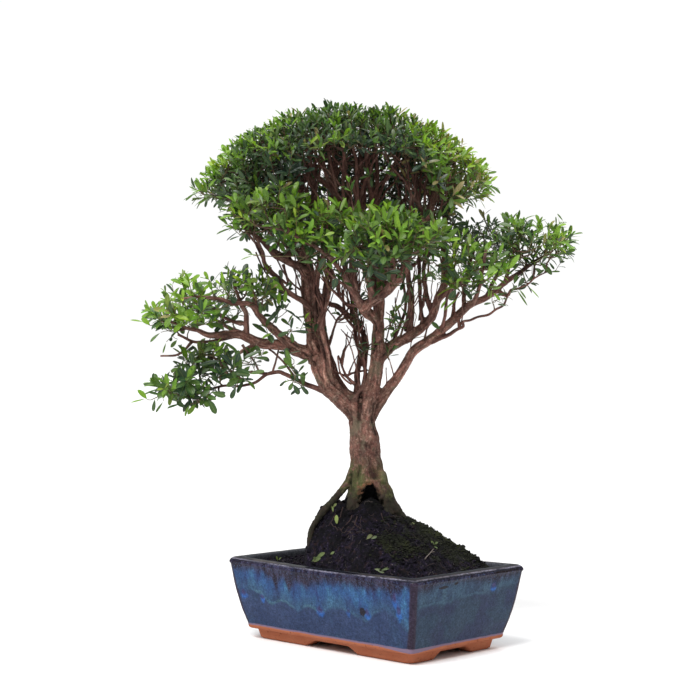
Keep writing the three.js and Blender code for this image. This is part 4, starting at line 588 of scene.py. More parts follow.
THICK_SHAPE = {
    "trunk": lambda a: 1 + 0.045 * np.sin(2 * a + 0.6) + 0.04 * np.sin(3 * a + 2.1) + 0.02 * np.sin(5 * a),
    "A": lambda a: 1 + 0.05 * np.sin(2 * a + 1.1) + 0.03 * np.sin(3 * a),
    "E": lambda a: 1 + 0.05 * np.sin(2 * a + 2.0) + 0.03 * np.sin(3 * a + 1.0),
    "H": lambda a: 1 + 0.04 * np.sin(2 * a + 0.3) + 0.03 * np.sin(4 * a),
}
VOX = 1.5
wood_in, thin_in = Gather(), Gather()
S_pts, S_rad, S_tan, S_ns, S_bs, S_len, S_limb = [], [], [], [], [], [], []
limb_order = list(LIMBS)
for li, name in enumerate(limb_order):
    rows = LIMBS[name]
    pts, rad, tan = resample(rows, 1.6)
    # young wood is never quite straight or even
    s = np.concatenate([[0], np.cumsum(np.linalg.norm(np.diff(pts, axis=0), axis=1))])
    base = name in ("trunk", "A", "E", "H")
    ramp_in = smooth(s, 0.0, 20.0)
    seedv = np.stack([s / 17.0, np.full_like(s, li * 7.3), np.zeros_like(s)], -1)
    wob = np.stack([fbm(seedv, 2, 3 + k) for k in range(3)], -1)
    pts = pts + wob * (0.35 + 0.10 * np.minimum(rad, 5))[:, None] * ramp_in[:, None] * (0.5 if base else 1.0)
    rad = rad * (1 + 0.09 * fbm(seedv * np.array([2.2, 1, 1]), 2, 9) * (0.4 if base else 1.0))
    if name in ("A", "E", "H", "B", "E2", "F1"):
        rad = rad * (0.62 + 0.38 * smooth(s, 0.0, 20.0))                # it comes out of its parent with no step
    elif name == "trunk":
        rad = rad * (1 - 0.40 * smooth(s, s[-1] - 26.0, s[-1]))
    elif not name.startswith("R"):
        rad = rad * (1 + 0.35 * np.exp(-s / (1.6 * rad[0] + 3.0)))      # the collar where it leaves its parent
    tan = unit(np.gradient(pts, axis=0))
    ns, bs = frames_along(tan)
    S_pts.append(pts); S_rad.append(rad); S_tan.append(tan); S_ns.append(ns); S_bs.append(bs); S_len.append(s)
    S_limb.append(np.full(len(pts), li))
    thick = rad >= 2.35
    last = len(rad) - int(np.argmax(thick[::-1])) if thick.any() else 0     # one past the last thick sample
    if last >= 4:
        sides = int(np.clip(rad[:last].max() * 2.4, 10, 40))
        v, q, t = tube(pts[:last], rad[:last], ns[:last], bs[:last], sides, THICK_SHAPE.get(name))
        wood_in.add(v, q, t)
        start = max(0, last - 4)
    else:
        start = 0
    if len(rad) - start >= 3:
        sl = slice(start, None)
        v, q, t = tube(pts[sl], rad[sl], ns[sl], bs[sl], 8)
        mm = len(pts[sl])
        a = np.arange(8) * 2 * math.pi / 8
        co = np.stack([np.cos(a)[None] * rad[sl][:, None], np.sin(a)[None] * rad[sl][:, None],
                       np.broadcast_to(s[sl][:, None] + li * 40.0, (mm, 8))], -1).reshape(-1, 3)
        co = np.vstack([co, co[0], co[-1]])
        th = np.concatenate([np.repeat(rad[sl], 8), rad[sl][:1], rad[sl][-1:]])
        thin_in.add(v, q, t, bark_co=co, thick=th, high=v[:, 2], deep=np.zeros(len(v)), rust=np.zeros(len(v)), relief=np.full(len(v), 0.5), moist=np.zeros(len(v)))

K_pts, K_rad, K_tan = np.vstack(S_pts), np.concatenate(S_rad), np.vstack(S_tan)
K_ns, K_bs, K_len, K_limb = np.vstack(S_ns), np.vstack(S_bs), np.concatenate(S_len), np.concatenate(S_limb)

wood = make("wood_main", wood_in.verts(), wood_in.faces(), BARK, replaces=("trunk_and_branches",), slot="bark")
rm = wood.modifiers.new("remesh", "REMESH")
rm.mode = "VOXEL"
rm.voxel_size = VOX * 0.001 * 1.0
rm.adaptivity = 0.0
sm = wood.modifiers.new("smooth", "SMOOTH")
sm.factor, sm.iterations = 0.5, 4
apply_all(wood)
me = wood.data
n = len(me.vertices)
co = np.empty(n * 3, np.float32)
me.vertices.foreach_get("co", co)
co = co.reshape(-1, 3).astype(float) * 1000 - OFF
nor = np.empty(n * 3, np.float32)
me.vertices.foreach_get("normal", nor)
nor = nor.reshape(-1, 3).astype(float)
near = np.empty(n, np.int64)
gap = np.empty(n)
kp32, kr32 = K_pts.astype(np.float32), K_rad.astype(np.float32)
kk = (kp32 ** 2).sum(1)
for i in range(0, n, 4000):
    c = co[i:i + 4000].astype(np.float32)
    d = np.sqrt(np.maximum((c ** 2).sum(1)[:, None] + kk[None] - 2 * c @ kp32.T, 0)) - kr32[None]
    near[i:i + 4000] = d.argmin(1)
    gap[i:i + 4000] = d.min(1)
rel = co - K_pts[near]
ca, sa = (rel * K_ns[near]).sum(1), (rel * K_bs[near]).sum(1)
rr = np.sqrt(ca ** 2 + sa ** 2)
R = K_rad[near]
along = K_len[near] + (rel * K_tan[near]).sum(1) + K_limb[near] * 40.0
bark_co = np.stack([ca, sa, along], -1)
# smoothing thinned the branches: bring the plain stretches back to their radius
fix = np.clip(R - rr, -0.6, 0.9) * (np.abs(gap) < 0.9)
co = co + nor * fix[:, None] * 0.8
# flaking bark: long plates with sunk edges on old wood, finer on the branches
strip = fbm(bark_co * np.array([0.42, 0.42, 0.075]), 3, 31)
plate = np.abs(fbm(bark_co * np.array([0.20, 0.20, 0.045]), 2, 47))
fine = fbm(bark_co * np.array([1.1, 1.1, 0.28]), 2, 59)
amp = np.clip(R / 14.0, 0.10, 1.0)
disp = amp * (0.62 * strip + 0.42 * (smooth(plate, 0.0, 0.16) - 0.7) + 0.20 * fine)
lump = pnoise(co / 11.0, 71) * np.clip(R / 10.0, 0.1, 1.2) * 0.75
low = smooth(-co[:, 2], -205.0, -170.0)
disp = disp + lump + low * (0.7 * fbm(co / 4.0, 2, 77))
# creases, ridges and knots of the trunk, traced on the front: outline in pixels, half width, depth (- is sunk)
STROKES = [([(361.5, 394), (360, 404), (359.5, 412), (358.6, 419), (356.5, 426)], 1.7, -3.4), ([(355.5, 404), (355.5, 414), (356, 424), (355, 438)], 2.8, 1.6),
           ([(346, 410), (348, 415), (349.5, 420)], 2.2, -3.2), ([(351.2, 412), (351.6, 418), (351.5, 426)], 1.1, -2.2),
           ([(366.5, 402), (365.5, 416), (366, 430), (367, 436)], 4.0, 2.0), ([(374.6, 404), (373.6, 414), (372.8, 421), (374.6, 428), (377, 436)], 1.3, -2.8),
           ([(362, 438), (367, 440), (372, 438)], 3.0, 1.4), ([(361, 444), (367, 446.5), (372, 445)], 1.6, -1.4), ([(352.5, 444), (353, 452), (352, 461)], 1.0, -1.3),
           ([(356.5, 445), (356.8, 455), (356, 464)], 0.9, -1.2), ([(370.5, 448), (371.5, 458), (370, 468)], 1.2, -1.3), ([(375.5, 450), (376, 458)], 1.0, -1.1),
           ([(371, 472), (374, 477)], 3.4, -3.4), ([(367, 481.5), (374, 480.3), (380.5, 480.6)], 1.5, 2.2), ([(364.5, 470), (362.5, 478), (361, 488)], 2.6, 2.0),
           ([(351, 474), (350.5, 482), (350.5, 490)], 1.5, -2.6), ([(381.5, 472), (383.5, 480)], 2.4, 1.6), ([(357.8, 482), (357, 492)], 1.6, 1.4),
           ([(359.5, 466), (358.5, 476)], 1.2, -1.4), ([(384, 490), (387, 500)], 1.6, 1.4)]
dist = CAM_DIST - co @ BV
vx, vy = 350.0 + FOCAL_PX * (co @ RV - CAM_SIDE) / dist, 350.0 - FOCAL_PX * (co[:, 2] - CAM_HIGH) / dist
face = smooth(nor @ BV, 0.05, 0.45) * (vy > 385) * (vy < 515) * (np.abs(vx - 367) < 45)
limb_of = np.array(limb_order)[K_limb[near]]
lobe = smooth(nor @ BV, 0.0, 0.35) * np.isin(limb_of, ["A", "A1", "A2", "A3", "B", "B2", "E", "G", "F1", "F2"])
# the same for the limbs: the strands that have grown together in them, and the creases between
STRANDS = [([(318, 346), (323, 353), (326, 359.5), (326.6, 372), (332, 383), (343, 391), (351, 399)], 1.3, -3.0),
           ([(311.5, 352), (313.5, 360), (316, 369), (322, 379), (331, 389), (340, 397)], 1.0, -1.5), ([(331.5, 357), (334, 368), (338, 378), (345, 387), (351, 393)], 1.3, -2.2),
           ([(313, 343), (318, 352), (322.5, 361), (323.5, 372), (327, 381), (335, 390)], 1.7, 1.7), ([(330, 368), (333, 378), (339, 386)], 1.5, 1.3),
           ([(303, 353), (309, 358), (315, 364)], 1.6, -2.4), ([(299, 346), (290, 342), (281, 337)], 1.2, -1.8), ([(372, 352), (375.5, 345), (383, 340)], 1.5, -2.6),
           ([(383, 357), (388, 351), (396, 347)], 1.5, -2.0), ([(370, 372), (371, 362), (372, 352)], 1.2, 1.2), ([(376, 330), (374, 322), (369, 316)], 1.3, -2.0),
           ([(306, 325), (305, 310), (303, 295), (302.5, 280)], 1.1, -1.5),
           ([(316, 272), (315.5, 284), (316.2, 296), (315.8, 307), (317, 316)], 1.7, -6.5), ([(315, 316), (316.2, 327), (318, 336), (322, 346), (325.5, 357)], 1.2, -4.0),
           ([(311.2, 300), (311.8, 316), (312.2, 328), (313.6, 338)], 0.9, -2.6), ([(313.4, 303), (314, 318), (314.4, 332)], 1.0, 1.6), ([(326, 303), (320.5, 315), (317.6, 323)], 1.3, 2.0),
           ([(321, 330), (324.5, 343), (329, 356), (333, 366)], 1.5, 1.8), ([(321.5, 290), (322.5, 302), (321.5, 310)], 1.1, -3.0), ([(310, 335), (310.5, 318), (309, 300), (308.5, 284)], 1.2, 1.3),
           ([(375, 346), (374.5, 335), (375, 325)], 1.0, -1.3), ([(366, 398), (369, 386), (371, 376)], 1.1, -1.4), ([(377, 400), (377.5, 390), (379, 380)], 1.1, -1.4)]
cut = np.zeros(n)
for strokes, part_ in ((STROKES, face), (STRANDS, lobe)):
    for pts_, wide_, deep_ in strokes:
        best_ = np.full(n, 99.0)
        for (x0, y0), (x1, y1) in zip(pts_[:-1], pts_[1:]):
            k_ = np.clip(((vx - x0) * (x1 - x0) + (vy - y0) * (y1 - y0)) / ((x1 - x0) ** 2 + (y1 - y0) ** 2), 0, 1)
            best_ = np.minimum(best_, np.hypot(vx - x0 - k_ * (x1 - x0), vy - y0 - k_ * (y1 - y0)))
        cut += deep_ * np.exp(-(best_ / wide_) ** 2) * part_
disp = disp + cut
# painted shade and highlight: sunk creases and plates get a low value and raised ridges a high one, which the bark
# material paints darker and paler
relief = np.clip(0.5 + 0.17 * cut + 0.30 * (disp - cut - lump) / np.maximum(amp, 0.25), 0, 1)
co = co + nor * disp[:, None]
# the hollow between the roots at the front: an arch that goes down into the soil
r_, t_, z_ = co @ RV, co @ BV, co[:, 2]
wide = 8.2 + 5.0 * smooth(-z_, -184.0, -166.0) + 3.6 * pnoise(co / 3.8, 91)
mid_ = np.interp(z_, [160.0, 172.0, 184.0], [-2.4, -4.0, -4.2])
e = np.where(z_ > 179.0, np.hypot((r_ - mid_) / wide, (z_ - 179.0) / (9.5 + 4.0 * pnoise(co / 4.5, 97))), np.abs(r_ - mid_) / wide)
k = (1 - smooth(e, 0.62, 1.12)) * smooth(t_, -2.0, 8.0)
co = co - (k * np.clip(t_ + 5.0, 0, 26.0) * 0.92)[:, None] * BV
# inner rims of the two legs, rubbed to the orange inner bark
rim = (smooth(e, 0.95, 1.12) - smooth(e, 1.25, 1.75)) * smooth(t_, 3.0, 10.0) * smooth(-z_, -196.0, -186.0) * smooth(z_, 160.0, 170.0)
rim = rim * np.where(r_ > 0, smooth(-z_, -184.0, -174.0), 1.0)
me.vertices.foreach_set("co", ((co + OFF) * 0.001).astype(np.float32).ravel())
me.update()
me.polygons.foreach_set("use_smooth", np.ones(len(me.polygons), bool))
add_attr(me, "bark_co", bark_co, "FLOAT_VECTOR")
add_attr(me, "thick", R)
add_attr(me, "high", co[:, 2])
# painted shade in the hollow between the roots
add_attr(me, "deep", smooth(k, 0.15, 0.7))
# painted light: the left side of the trunk and the front of the fork above it are painted paler, as lit, and a strip
# down the middle of the trunk darker
on_trunk = smooth(z_, 200.0, 224.0) * smooth(-z_, -296.0, -268.0) * smooth(t_, -8.0, 4.0)
relief = relief + 0.20 * smooth(-r_, 12.0, 23.0) * on_trunk - 0.09 * np.exp(-((r_ + 9.0) / 6.5) ** 2) * on_trunk
relief = np.clip(relief + 0.13 * smooth(z_, 278.0, 292.0) * smooth(-z_, -340.0, -318.0) * smooth(t_, -8.0, 4.0), 0, 1)
add_attr(me, "relief", relief)
# where algae grow: the left of the foot and the outer side of the legs
moist = smooth(-co[:, 2], -226.0, -198.0) * (0.55 + 0.45 * smooth(np.abs(co @ RV + 3.0), 6.0, 15.0))
moist = np.maximum(moist * (1.0 + 0.35 * (co @ RV < -4) * (co[:, 2] > 186)), 1.0 * (limb_of == "R1") * (co[:, 2] < 204))
add_attr(me, "moist", np.clip(moist, 0, 1))
add_attr(me, "rust", np.clip(rim, 0, 1))

make("wood_thin_branches", thin_in.verts(), thin_in.faces(), BARK,
     attrs={k: thin_in.attr(k) for k in ("thick", "high", "deep", "rust", "relief", "moist")}, vattrs={"bark_co": thin_in.attr("bark_co")},
     replaces=("trunk_and_branches",), slot="bark")

# ---- where the leaves are --------------------------------------------------------------------
# Sprays of foliage, traced on the front: CAD node, depth of the middle, half depth, spacing,
# age of the leaves at the left and at the right end (0 young, 1 old), size of the leaves, outline in pixels
REGIONS = [
    ("foliage_left_upper_tip", 28, 44, 17.0, -0.14, 0.08, 16.0,
     [(151, 322), (152, 311), (159, 301), (162, 292), (170, 290), (178, 286), (186, 280), (196, 280), (202, 287), (212, 296), (214, 312), (217, 324), (208, 334), (196, 333),
      (186, 330), (176, 334), (163, 332), (154, 330)]),
    ("foliage_left_upper_inner", 34, 44, 17.4, 0.28, 0.38, 15.5,
     [(205, 286), (213, 278), (223, 274), (236, 271), (250, 271), (262, 272), (271, 279), (281, 284), (288, 292), (286, 303), (274, 307), (262, 304), (254, 298),
      (246, 297), (232, 299), (222, 298), (214, 305), (208, 300)]),
    ("foliage_left_upper_inner", 20, 26, 21.0, 0.50, 0.50, 15.0,
     [(206, 306), (216, 304), (226, 309), (236, 318), (236, 330), (222, 332), (208, 330)]),
    ("foliage_left_lower_tip", 10, 40, 19.4, 0.22, 0.52, 17.5,
     [(150, 388), (153, 380), (160, 377), (170, 371), (178, 363), (186, 354), (196, 346), (208, 344), (214, 360), (212, 380), (208, 400), (196, 408), (185, 408),
      (176, 400), (164, 402), (154, 398)]),
    ("foliage_left_lower_inner", 14, 38, 22.5, 0.50, 0.42, 18.0,
     [(198, 348), (210, 343), (226, 342), (240, 348), (247, 358), (248, 372), (240, 382), (228, 387), (218, 394), (208, 400), (204, 380), (202, 364)]),
    ("foliage_shelf_left", 62, 46, 15.8, 0.20, 0.12, 17.5,
     [(226, 212), (232, 203), (240, 197), (250, 192), (262, 190), (280, 191), (296, 195), (308, 204), (320, 204), (332, 206), (338, 216), (336, 236), (332, 250), (327, 255),
      (315, 256), (303, 250), (294, 243), (285, 236), (271, 231), (257, 228), (244, 233), (232, 230), (227, 222)]),
    ("foliage_shelf_right", 82, 46, 14.4, 0.16, 0.26, 17.5,
     [(334, 206), (342, 212), (355, 211), (375, 213), (384, 207), (393, 207), (402, 211), (412, 216), (424, 221), (438, 221), (448, 230), (446, 244),
      (434, 249), (420, 250), (410, 254), (402, 262), (394, 269), (383, 273), (368, 272), (354, 266), (342, 258), (334, 252)]),
    ("foliage_right_tip", 6, 46, 15.6, 0.44, 0.14, 15.5,
     [(500, 224), (507, 218), (516, 217), (526, 221), (536, 224), (546, 226), (558, 224), (566, 234), (573, 242), (571, 252), (560, 257), (552, 260), (549, 270), (541, 266),
      (531, 261), (521, 266), (512, 272), (504, 266), (499, 248)]),
    ("foliage_right_inner", -14, 34, 17.2, 0.62, 0.54, 15.5,
     [(456, 234), (462, 226), (472, 220), (488, 216), (500, 220), (508, 228), (510, 244), (500, 252), (480, 254), (462, 250)]),
    ("foliage_right_inner", 40, 42, 17.6, 0.18, 0.26, 16.5,
     [(440, 246), (448, 238), (458, 242), (470, 240), (486, 246), (500, 252), (510, 256), (508, 270), (500, 282), (488, 285), (478, 291), (466, 296), (455, 297),
      (447, 290), (441, 279), (438, 264)]),
    ("foliage_right_inner", -20, 30, 18.0, 0.58, 0.58, 14.0,
     [(440, 192), (456, 188), (470, 194), (468, 208), (460, 222), (448, 230), (438, 216)]),
]
# pads that the others hide in the photograph: node, pixel and depth of the middle, half width, depth and height, age
PADS = [
    ("foliage_back_left", 285, 236, -92, 62, 38, 28, 0.45), ("foliage_back_right", 404, 243, -92, 64, 38, 28, 0.45),
    ("foliage_right_back", 484, 244, -58, 54, 36, 28, 0.45), ("foliage_left_back", 216, 304, -58, 60, 34, 30, 0.45),
    ("foliage_shelf_left", 300, 218, 20, 60, 34, 24, 0.55), ("foliage_shelf_right", 390, 226, 24, 60, 36, 24, 0.55),
]
# leaves that can be told apart in the photograph: node, depth, then for each its foot, its tip and width in pixels, and its age
TRACED = [
    ("foliage_left_upper_tip", 44, [
        (160, 333, 150, 341, 3.6, .35), (150, 325, 142, 318, 5.5, .10), (143, 322, 131, 319, 2.0, .05), (184, 290, 186, 278, 4.2, .12), (193, 290, 196, 279, 4.4, .08),
        (188, 290, 189, 280, 3, .2), (170, 300, 162, 292, 4.6, .42), (168, 303, 159, 302, 4, .3), (157, 317, 163, 305, 4.6, .08), (159, 315, 152, 312, 3, .2),
        (186, 299, 171, 293, 4.4, .12), (188, 303, 168, 299, 5.0, .30), (182, 306, 163, 303, 4.6, .16), (196, 297, 186, 290, 5.4, .10), (203, 296, 196, 288, 5.4, .12),
        (176, 316, 168, 322, 4, .15), (172, 331, 168, 322, 4.6, .12), (164, 328, 158, 322, 4, .2), (178, 331, 171, 336, 3.6, .5), (177, 340, 171, 347, 4.0, .42),
        (166, 343, 163, 353, 2.0, .30), (172, 337, 170, 341, 3.4, .8), (212, 310, 218, 316, 6, .25), (206, 303, 201, 312, 5, .55), (196, 312, 200, 322, 5, .5),
        (186, 316, 178, 312, 4, .18), (190, 322, 182, 326, 3.6, .3)]),
    ("foliage_left_upper_inner", 52, [
        (224, 285, 221, 272, 3.8, .12), (231, 286, 231, 274, 4.2, .75), (240, 277, 239, 270, 3.4, .18), (244, 279, 248, 270, 3.6, .8), (211, 282, 213, 276, 4.4, .8),
        (212, 291, 209, 281, 4, .2), (258, 280, 262, 268, 2.8, .2), (284, 291, 270, 280, 6.6, .14), (279, 292, 279, 304, 7.0, .16), (286, 290, 285, 302, 4.2, .14),
        (260, 302, 261, 313, 4.4, .55), (230, 297, 236, 302, 7.0, .85), (281, 300, 283, 309, 3.4, .8), (268, 302, 267, 312, 3.6, .85), (268, 323, 277, 311, 5.0, .82),
        (278, 314, 275, 323, 3.0, .8), (283, 309, 296, 315, 6.2, .85), (291, 330, 292, 318, 4.8, .86), (292, 331, 308, 332, 3.8, .84), (291, 332, 293, 342, 4.2, .5),
        (290, 331, 278, 336, 4.4, .62), (272, 333, 262, 338, 4.6, .26), (265, 296, 273, 290, 5, .2), (250, 285, 258, 290, 4, .3), (240, 292, 246, 286, 4.4, .5),
        (253, 290, 247, 296, 4.4, .5), (282, 280, 280, 270, 4.4, .75), (284, 288, 291, 282, 4.6, .7), (222, 308, 214, 313, 5.4, .20), (218, 310, 230, 308, 3.4, .72)]),
    ("foliage_left_lower_tip", 34, [
        (147, 399, 138, 390, 6.6, .12), (145, 399, 131, 402, 1.8, .12), (155, 384, 144, 386, 2.2, .35), (161, 395, 149, 392, 4.2, .72), (162, 386, 153, 377, 4.8, .40),
        (156, 381, 150, 378, 3, .15), (155, 399, 153, 411, 3.8, .66), (163, 402, 156, 412, 2.8, .5), (186, 408, 177, 402, 5.0, .62), (190, 405, 184, 416, 4.4, .18),
        (196, 404, 188, 414, 5.4, .24), (190, 380, 172, 376, 5.6, .88), (170, 371, 162, 385, 4.2, .72), (179, 368, 171, 372, 5.0, .35), (192, 386, 170, 391, 7.2, .62),
        (204, 387, 195, 390, 5.0, .66), (197, 349, 189, 358, 4.4, .50), (176, 378, 180, 366, 4.6, .42), (186, 392, 180, 399, 4.4, .6), (196, 394, 186, 398, 5, .66),
        (180, 396, 168, 398, 4.6, .58), (168, 392, 158, 398, 4, .5)]),
    ("foliage_left_lower_inner", 42, [
        (208, 399, 216, 413, 6.6, .64), (207, 397, 200, 405, 6.0, .45), (203, 402, 209, 406, 5.4, .34), (211, 392, 225, 396, 6.0, .52), (236, 387, 231, 398, 5.6, .80),
        (247, 380, 255, 389, 6.4, .42), (240, 379, 253, 379, 2.8, .95), (249, 374, 264, 371, 5.2, .45), (239, 379, 227, 386, 6.2, .40), (241, 373, 238, 352, 6.6, .42),
        (232, 364, 226, 350, 8.0, .78), (222, 361, 200, 364, 6.4, .90), (215, 366, 223, 374, 6.4, .95), (222, 341, 206, 345, 4.6, .42), (222, 341, 238, 351, 5.0, .50),
        (263, 350, 245, 357, 4.8, .60), (254, 358, 268, 358, 3.8, .66), (250, 366, 244, 372, 4.6, .5), (214, 352, 222, 346, 4.4, .12), (215, 356, 221, 352, 3.6, .15),
        (226, 372, 232, 379, 5.4, .45), (218, 378, 228, 372, 5.4, .55), (220, 384, 212, 376, 5.0, .8), (204, 352, 212, 346, 5, .5), (210, 390, 202, 396, 5, .55),
        (292, 366, 286, 350, 4.6, .42), (292, 368, 284, 358, 5.2, .40), (289, 366, 278, 368, 4.4, .48), (296, 365, 307, 360, 3.4, .55), (296, 374, 305, 377, 3.2, .55),
        (293, 382, 289, 390, 4.4, .44), (293, 384, 299, 394, 5.8, .86), (300, 385, 308, 394, 4.4, .84), (286, 380, 280, 386, 2.6, .8)]),
    ("foliage_shelf_left", 96, [
        (268, 203, 264, 189, 6.2, .34), (284, 208, 281, 193, 5.4, .18), (292, 206, 287, 192, 4.8, .22), (296, 208, 291, 195, 4.6, .22), (246, 207, 249, 195, 4.6, .24),
        (256, 205, 255, 191, 5.0, .32), (243, 209, 240, 202, 4.6, .10), (235, 215, 231, 207, 4.6, .08), (232, 215, 220, 218, 3.2, .12), (233, 229, 225, 225, 5.2, .14),
        (230, 209, 218, 213, 3.4, .72), (226, 206, 216, 202, 4.2, .62), (233, 218, 236, 230, 4.4, .35), (240, 236, 230, 240, 4.0, .72), (246, 233, 240, 241, 4.0, .6),
        (253, 255, 244, 248, 3.8, .40), (258, 255, 248, 254, 1.8, .15), (252, 256, 241, 259, 1.6, .15), (312, 213, 302, 204, 5.2, .18), (317, 228, 304, 220, 5.4, .10),
        (322, 226, 313, 214, 5.4, .12), (326, 221, 338, 223, 7.4, .86), (330, 214, 334, 203, 4.8, .20), (283, 229, 301, 216, 6.4, .45), (282, 228, 290, 213, 5.0, .42),
        (284, 230, 278, 212, 5.2, .40), (278, 238, 266, 243, 4.6, .78), (283, 242, 279, 230, 6.4, .80), (300, 262, 313, 262, 3.6, .55), (299, 256, 291, 250, 3.8, .60),
        (318, 270, 325, 259, 6.0, .78), (324, 276, 318, 268, 5.0, .82), (333, 243, 327, 229, 5.4, .12), (328, 253, 331, 239, 4.6, .30), (342, 257, 339, 237, 3.0, .04),
        (340, 256, 326, 244, 3.2, .06), (306, 240, 296, 246, 5, .75), (312, 252, 305, 246, 5.4, .8), (268, 219, 259, 212, 5, .5), (254, 220, 262, 210, 4.6, .4),
        (318, 206, 322, 198, 4.4, .3), (275, 222, 262, 226, 4.8, .8), (333, 290, 336, 279, 6.2, .80), (324, 240, 316, 232, 5, .3), (326, 262, 332, 268, 3, .3)]),
    ("foliage_shelf_right", 118, [
        (344, 257, 350, 238, 3.2, .06), (366, 260, 353, 245, 3.0, .06), (347, 250, 345, 232, 4.2, .35), (358, 247, 355, 229, 6.6, .62), (375, 244, 371, 229, 4.6, .12),
        (375, 244, 381, 225, 3.6, .06), (386, 223, 383, 206, 5.4, .18), (387, 221, 392, 207, 4.0, .45), (396, 229, 397, 211, 5.2, .14), (399, 236, 408, 221, 4.6, .08),
        (409, 221, 417, 213, 5.2, .28), (424, 228, 431, 239, 7.2, .10), (438, 232, 431, 221, 6.4, .10), (416, 238, 426, 235, 5, .12), (430, 241, 449, 237, 4.6, .60),
        (370, 236, 364, 220, 4.8, .14), (362, 226, 355, 212, 5.0, .55), (380, 224, 376, 211, 5.0, .40), (352, 232, 346, 220, 4.2, .22), (368, 270, 352, 262, 6.4, .88),
        (384, 274, 400, 271, 6.4, .84), (372, 272, 386, 279, 6.0, .90), (360, 272, 346, 270, 5.4, .86), (404, 262, 412, 270, 5.0, .8), (392, 252, 404, 258, 5.4, .7),
        (392, 240, 383, 230, 5.2, .2), (404, 244, 412, 236, 5.2, .3), (414, 246, 424, 252, 5.0, .5), (428, 248, 436, 254, 4.8, .7), (438, 250, 446, 256, 4.4, .5),
        (378, 258, 392, 250, 5.2, .7), (364, 252, 374, 262, 5.4, .75), (414, 228, 408, 238, 4.8, .15), (440, 226, 446, 218, 4.4, .4), (366, 288, 374, 282, 4.6, .8),
        (372, 298, 380, 290, 4.6, .82), (432, 262, 424, 256, 4.4, .75), (442, 278, 430, 264, 3.8, .80), (428, 270, 436, 280, 3.6, .8)]),
    ("foliage_right_inner", 62, [
        (448, 268, 436, 264, 5.2, .45), (456, 289, 450, 300, 7.0, .62), (451, 283, 441, 281, 4.4, .82), (463, 288, 472, 299, 5.2, .78), (440, 329, 432, 323, 8.0, .62),
        (482, 268, 478, 256, 6.0, .14), (484, 277, 501, 262, 6.8, .14), (508, 270, 519, 255, 5.6, .12), (469, 253, 477, 242, 5.0, .20), (496, 256, 488, 270, 2.6, .04),
        (477, 285, 484, 276, 3.8, .08), (466, 243, 462, 258, 2.8, .08), (460, 266, 474, 268, 5.2, .76), (470, 262, 458, 256, 5.2, .80), (474, 258, 464, 248, 4.6, .6),
        (459, 280, 452, 268, 4.6, .6), (470, 282, 484, 282, 4.6, .5), (462, 284, 470, 272, 3.0, .10), (480, 278, 470, 272, 4.4, .7), (492, 303, 484, 304, 2.8, .7),
        (500, 299, 507, 299, 2.0, .6), (507, 306, 498, 304, 2.2, .7), (446, 300, 441, 308, 2.6, .1), (458, 298, 444, 310, 1.8, .1), (455, 262, 444, 254, 4.6, .62),
        (452, 250, 442, 242, 4.6, .5), (446, 272, 454, 276, 4.2, .7)]),
    ("foliage_right_inner", 4, [
        (489, 226, 488, 214, 3.8, .30), (486, 221, 475, 224, 3.0, .80), (466, 232, 459, 225, 5.6, .88), (475, 227, 465, 226, 3.2, .85), (476, 224, 471, 217, 2.4, .8),
        (497, 228, 495, 220, 3.6, .82), (482, 234, 474, 231, 4.4, .9), (494, 240, 484, 236, 4.4, .9), (478, 243, 488, 246, 4.4, .9)]),
    ("foliage_right_tip", 26, [
        (508, 230, 505, 218, 4.4, .45), (516, 229, 511, 215, 4.6, .12), (517, 230, 524, 220, 4.8, .40), (523, 231, 529, 224, 4.2, .42), (541, 233, 531, 222, 5.4, .14),
        (543, 231, 541, 222, 2.6, .10), (554, 240, 560, 225, 5.4, .08), (558, 226, 566, 224, 3.2, .06), (563, 221, 558, 214, 1.6, .4), (571, 244, 569, 233, 3.0, .66),
        (567, 244, 576, 241, 3.2, .66), (559, 238, 569, 236, 4.4, .50), (566, 250, 575, 247, 3.4, .14), (561, 251, 575, 254, 3.0, .66), (556, 255, 568, 259, 1.8, .4),
        (540, 262, 552, 274, 6.2, .52), (549, 262, 554, 269, 2.8, .8), (527, 256, 534, 263, 5.2, .8), (538, 248, 541, 236, 4.6, .12), (520, 238, 514, 224, 3.8, .10),
        (545, 250, 552, 242, 4.4, .5), (530, 244, 522, 238, 5.0, .7), (512, 252, 500, 246, 4.6, .8), (532, 252, 520, 252, 4.6, .8), (556, 232, 550, 226, 4.4, .3)]),
    ("foliage_right_tip", 22, [
        (517, 290, 527, 305, 2.4, .45), (519, 289, 526, 298, 1.8, .35), (529, 287, 539, 297, 1.2, .12), (518, 290, 526, 285, 4.8, .84), (518, 287, 524, 278, 5.0, .62),
        (535, 268, 541, 272, 4.2, .6), (550, 272, 560, 271, 2.4, .5), (527, 282, 534, 276, 3.6, .6), (514, 284, 517, 275, 4.4, .5), (536, 276, 544, 270, 3.6, .5)]),
    ("foliage_crown_left", 40, [
        (254.7, 184, 256.2, 162, 5.0, .44), (258, 178, 263, 168, 4.8, .46), (227, 158, 231, 149, 3.6, .10), (200, 190, 194.5, 181, 3.4, .30), (195, 193, 185, 200, 2.6, .40),
        (208, 198, 205, 207, 3.2, .82), (250, 190, 240, 184, 4.6, .4), (262, 190, 270, 182, 4.4, .3), (222, 176, 214, 170, 4.2, .2), (206, 186, 200, 178, 4.0, .2),
        (212, 196, 204, 196, 3.6, .4), (240, 170, 232, 166, 4.0, .3)]),
    ("foliage_crown_top", 20, [
        (328.5, 128, 330.5, 117, 4.6, .12), (332, 108, 327, 99.5, 1.8, .6), (333, 106, 340, 107, 1.8, .6), (404, 116, 409.5, 108.5, 3.2, .14), (429, 134, 436.5, 123, 4.8, .14),
        (446, 143, 452.5, 134, 3.2, .25), (396, 151, 409, 141, 4.4, .16)]),
    ("foliage_crown_right", 34, [
        (486, 174, 496.5, 171.5, 2.8, .30), (484, 184, 491.5, 182, 5.0, .12), (485, 191.5, 494.5, 195.5, 2.0, .25), (480, 172, 486, 165, 4.4, .14), (441, 166, 430, 156, 5.0, .10),
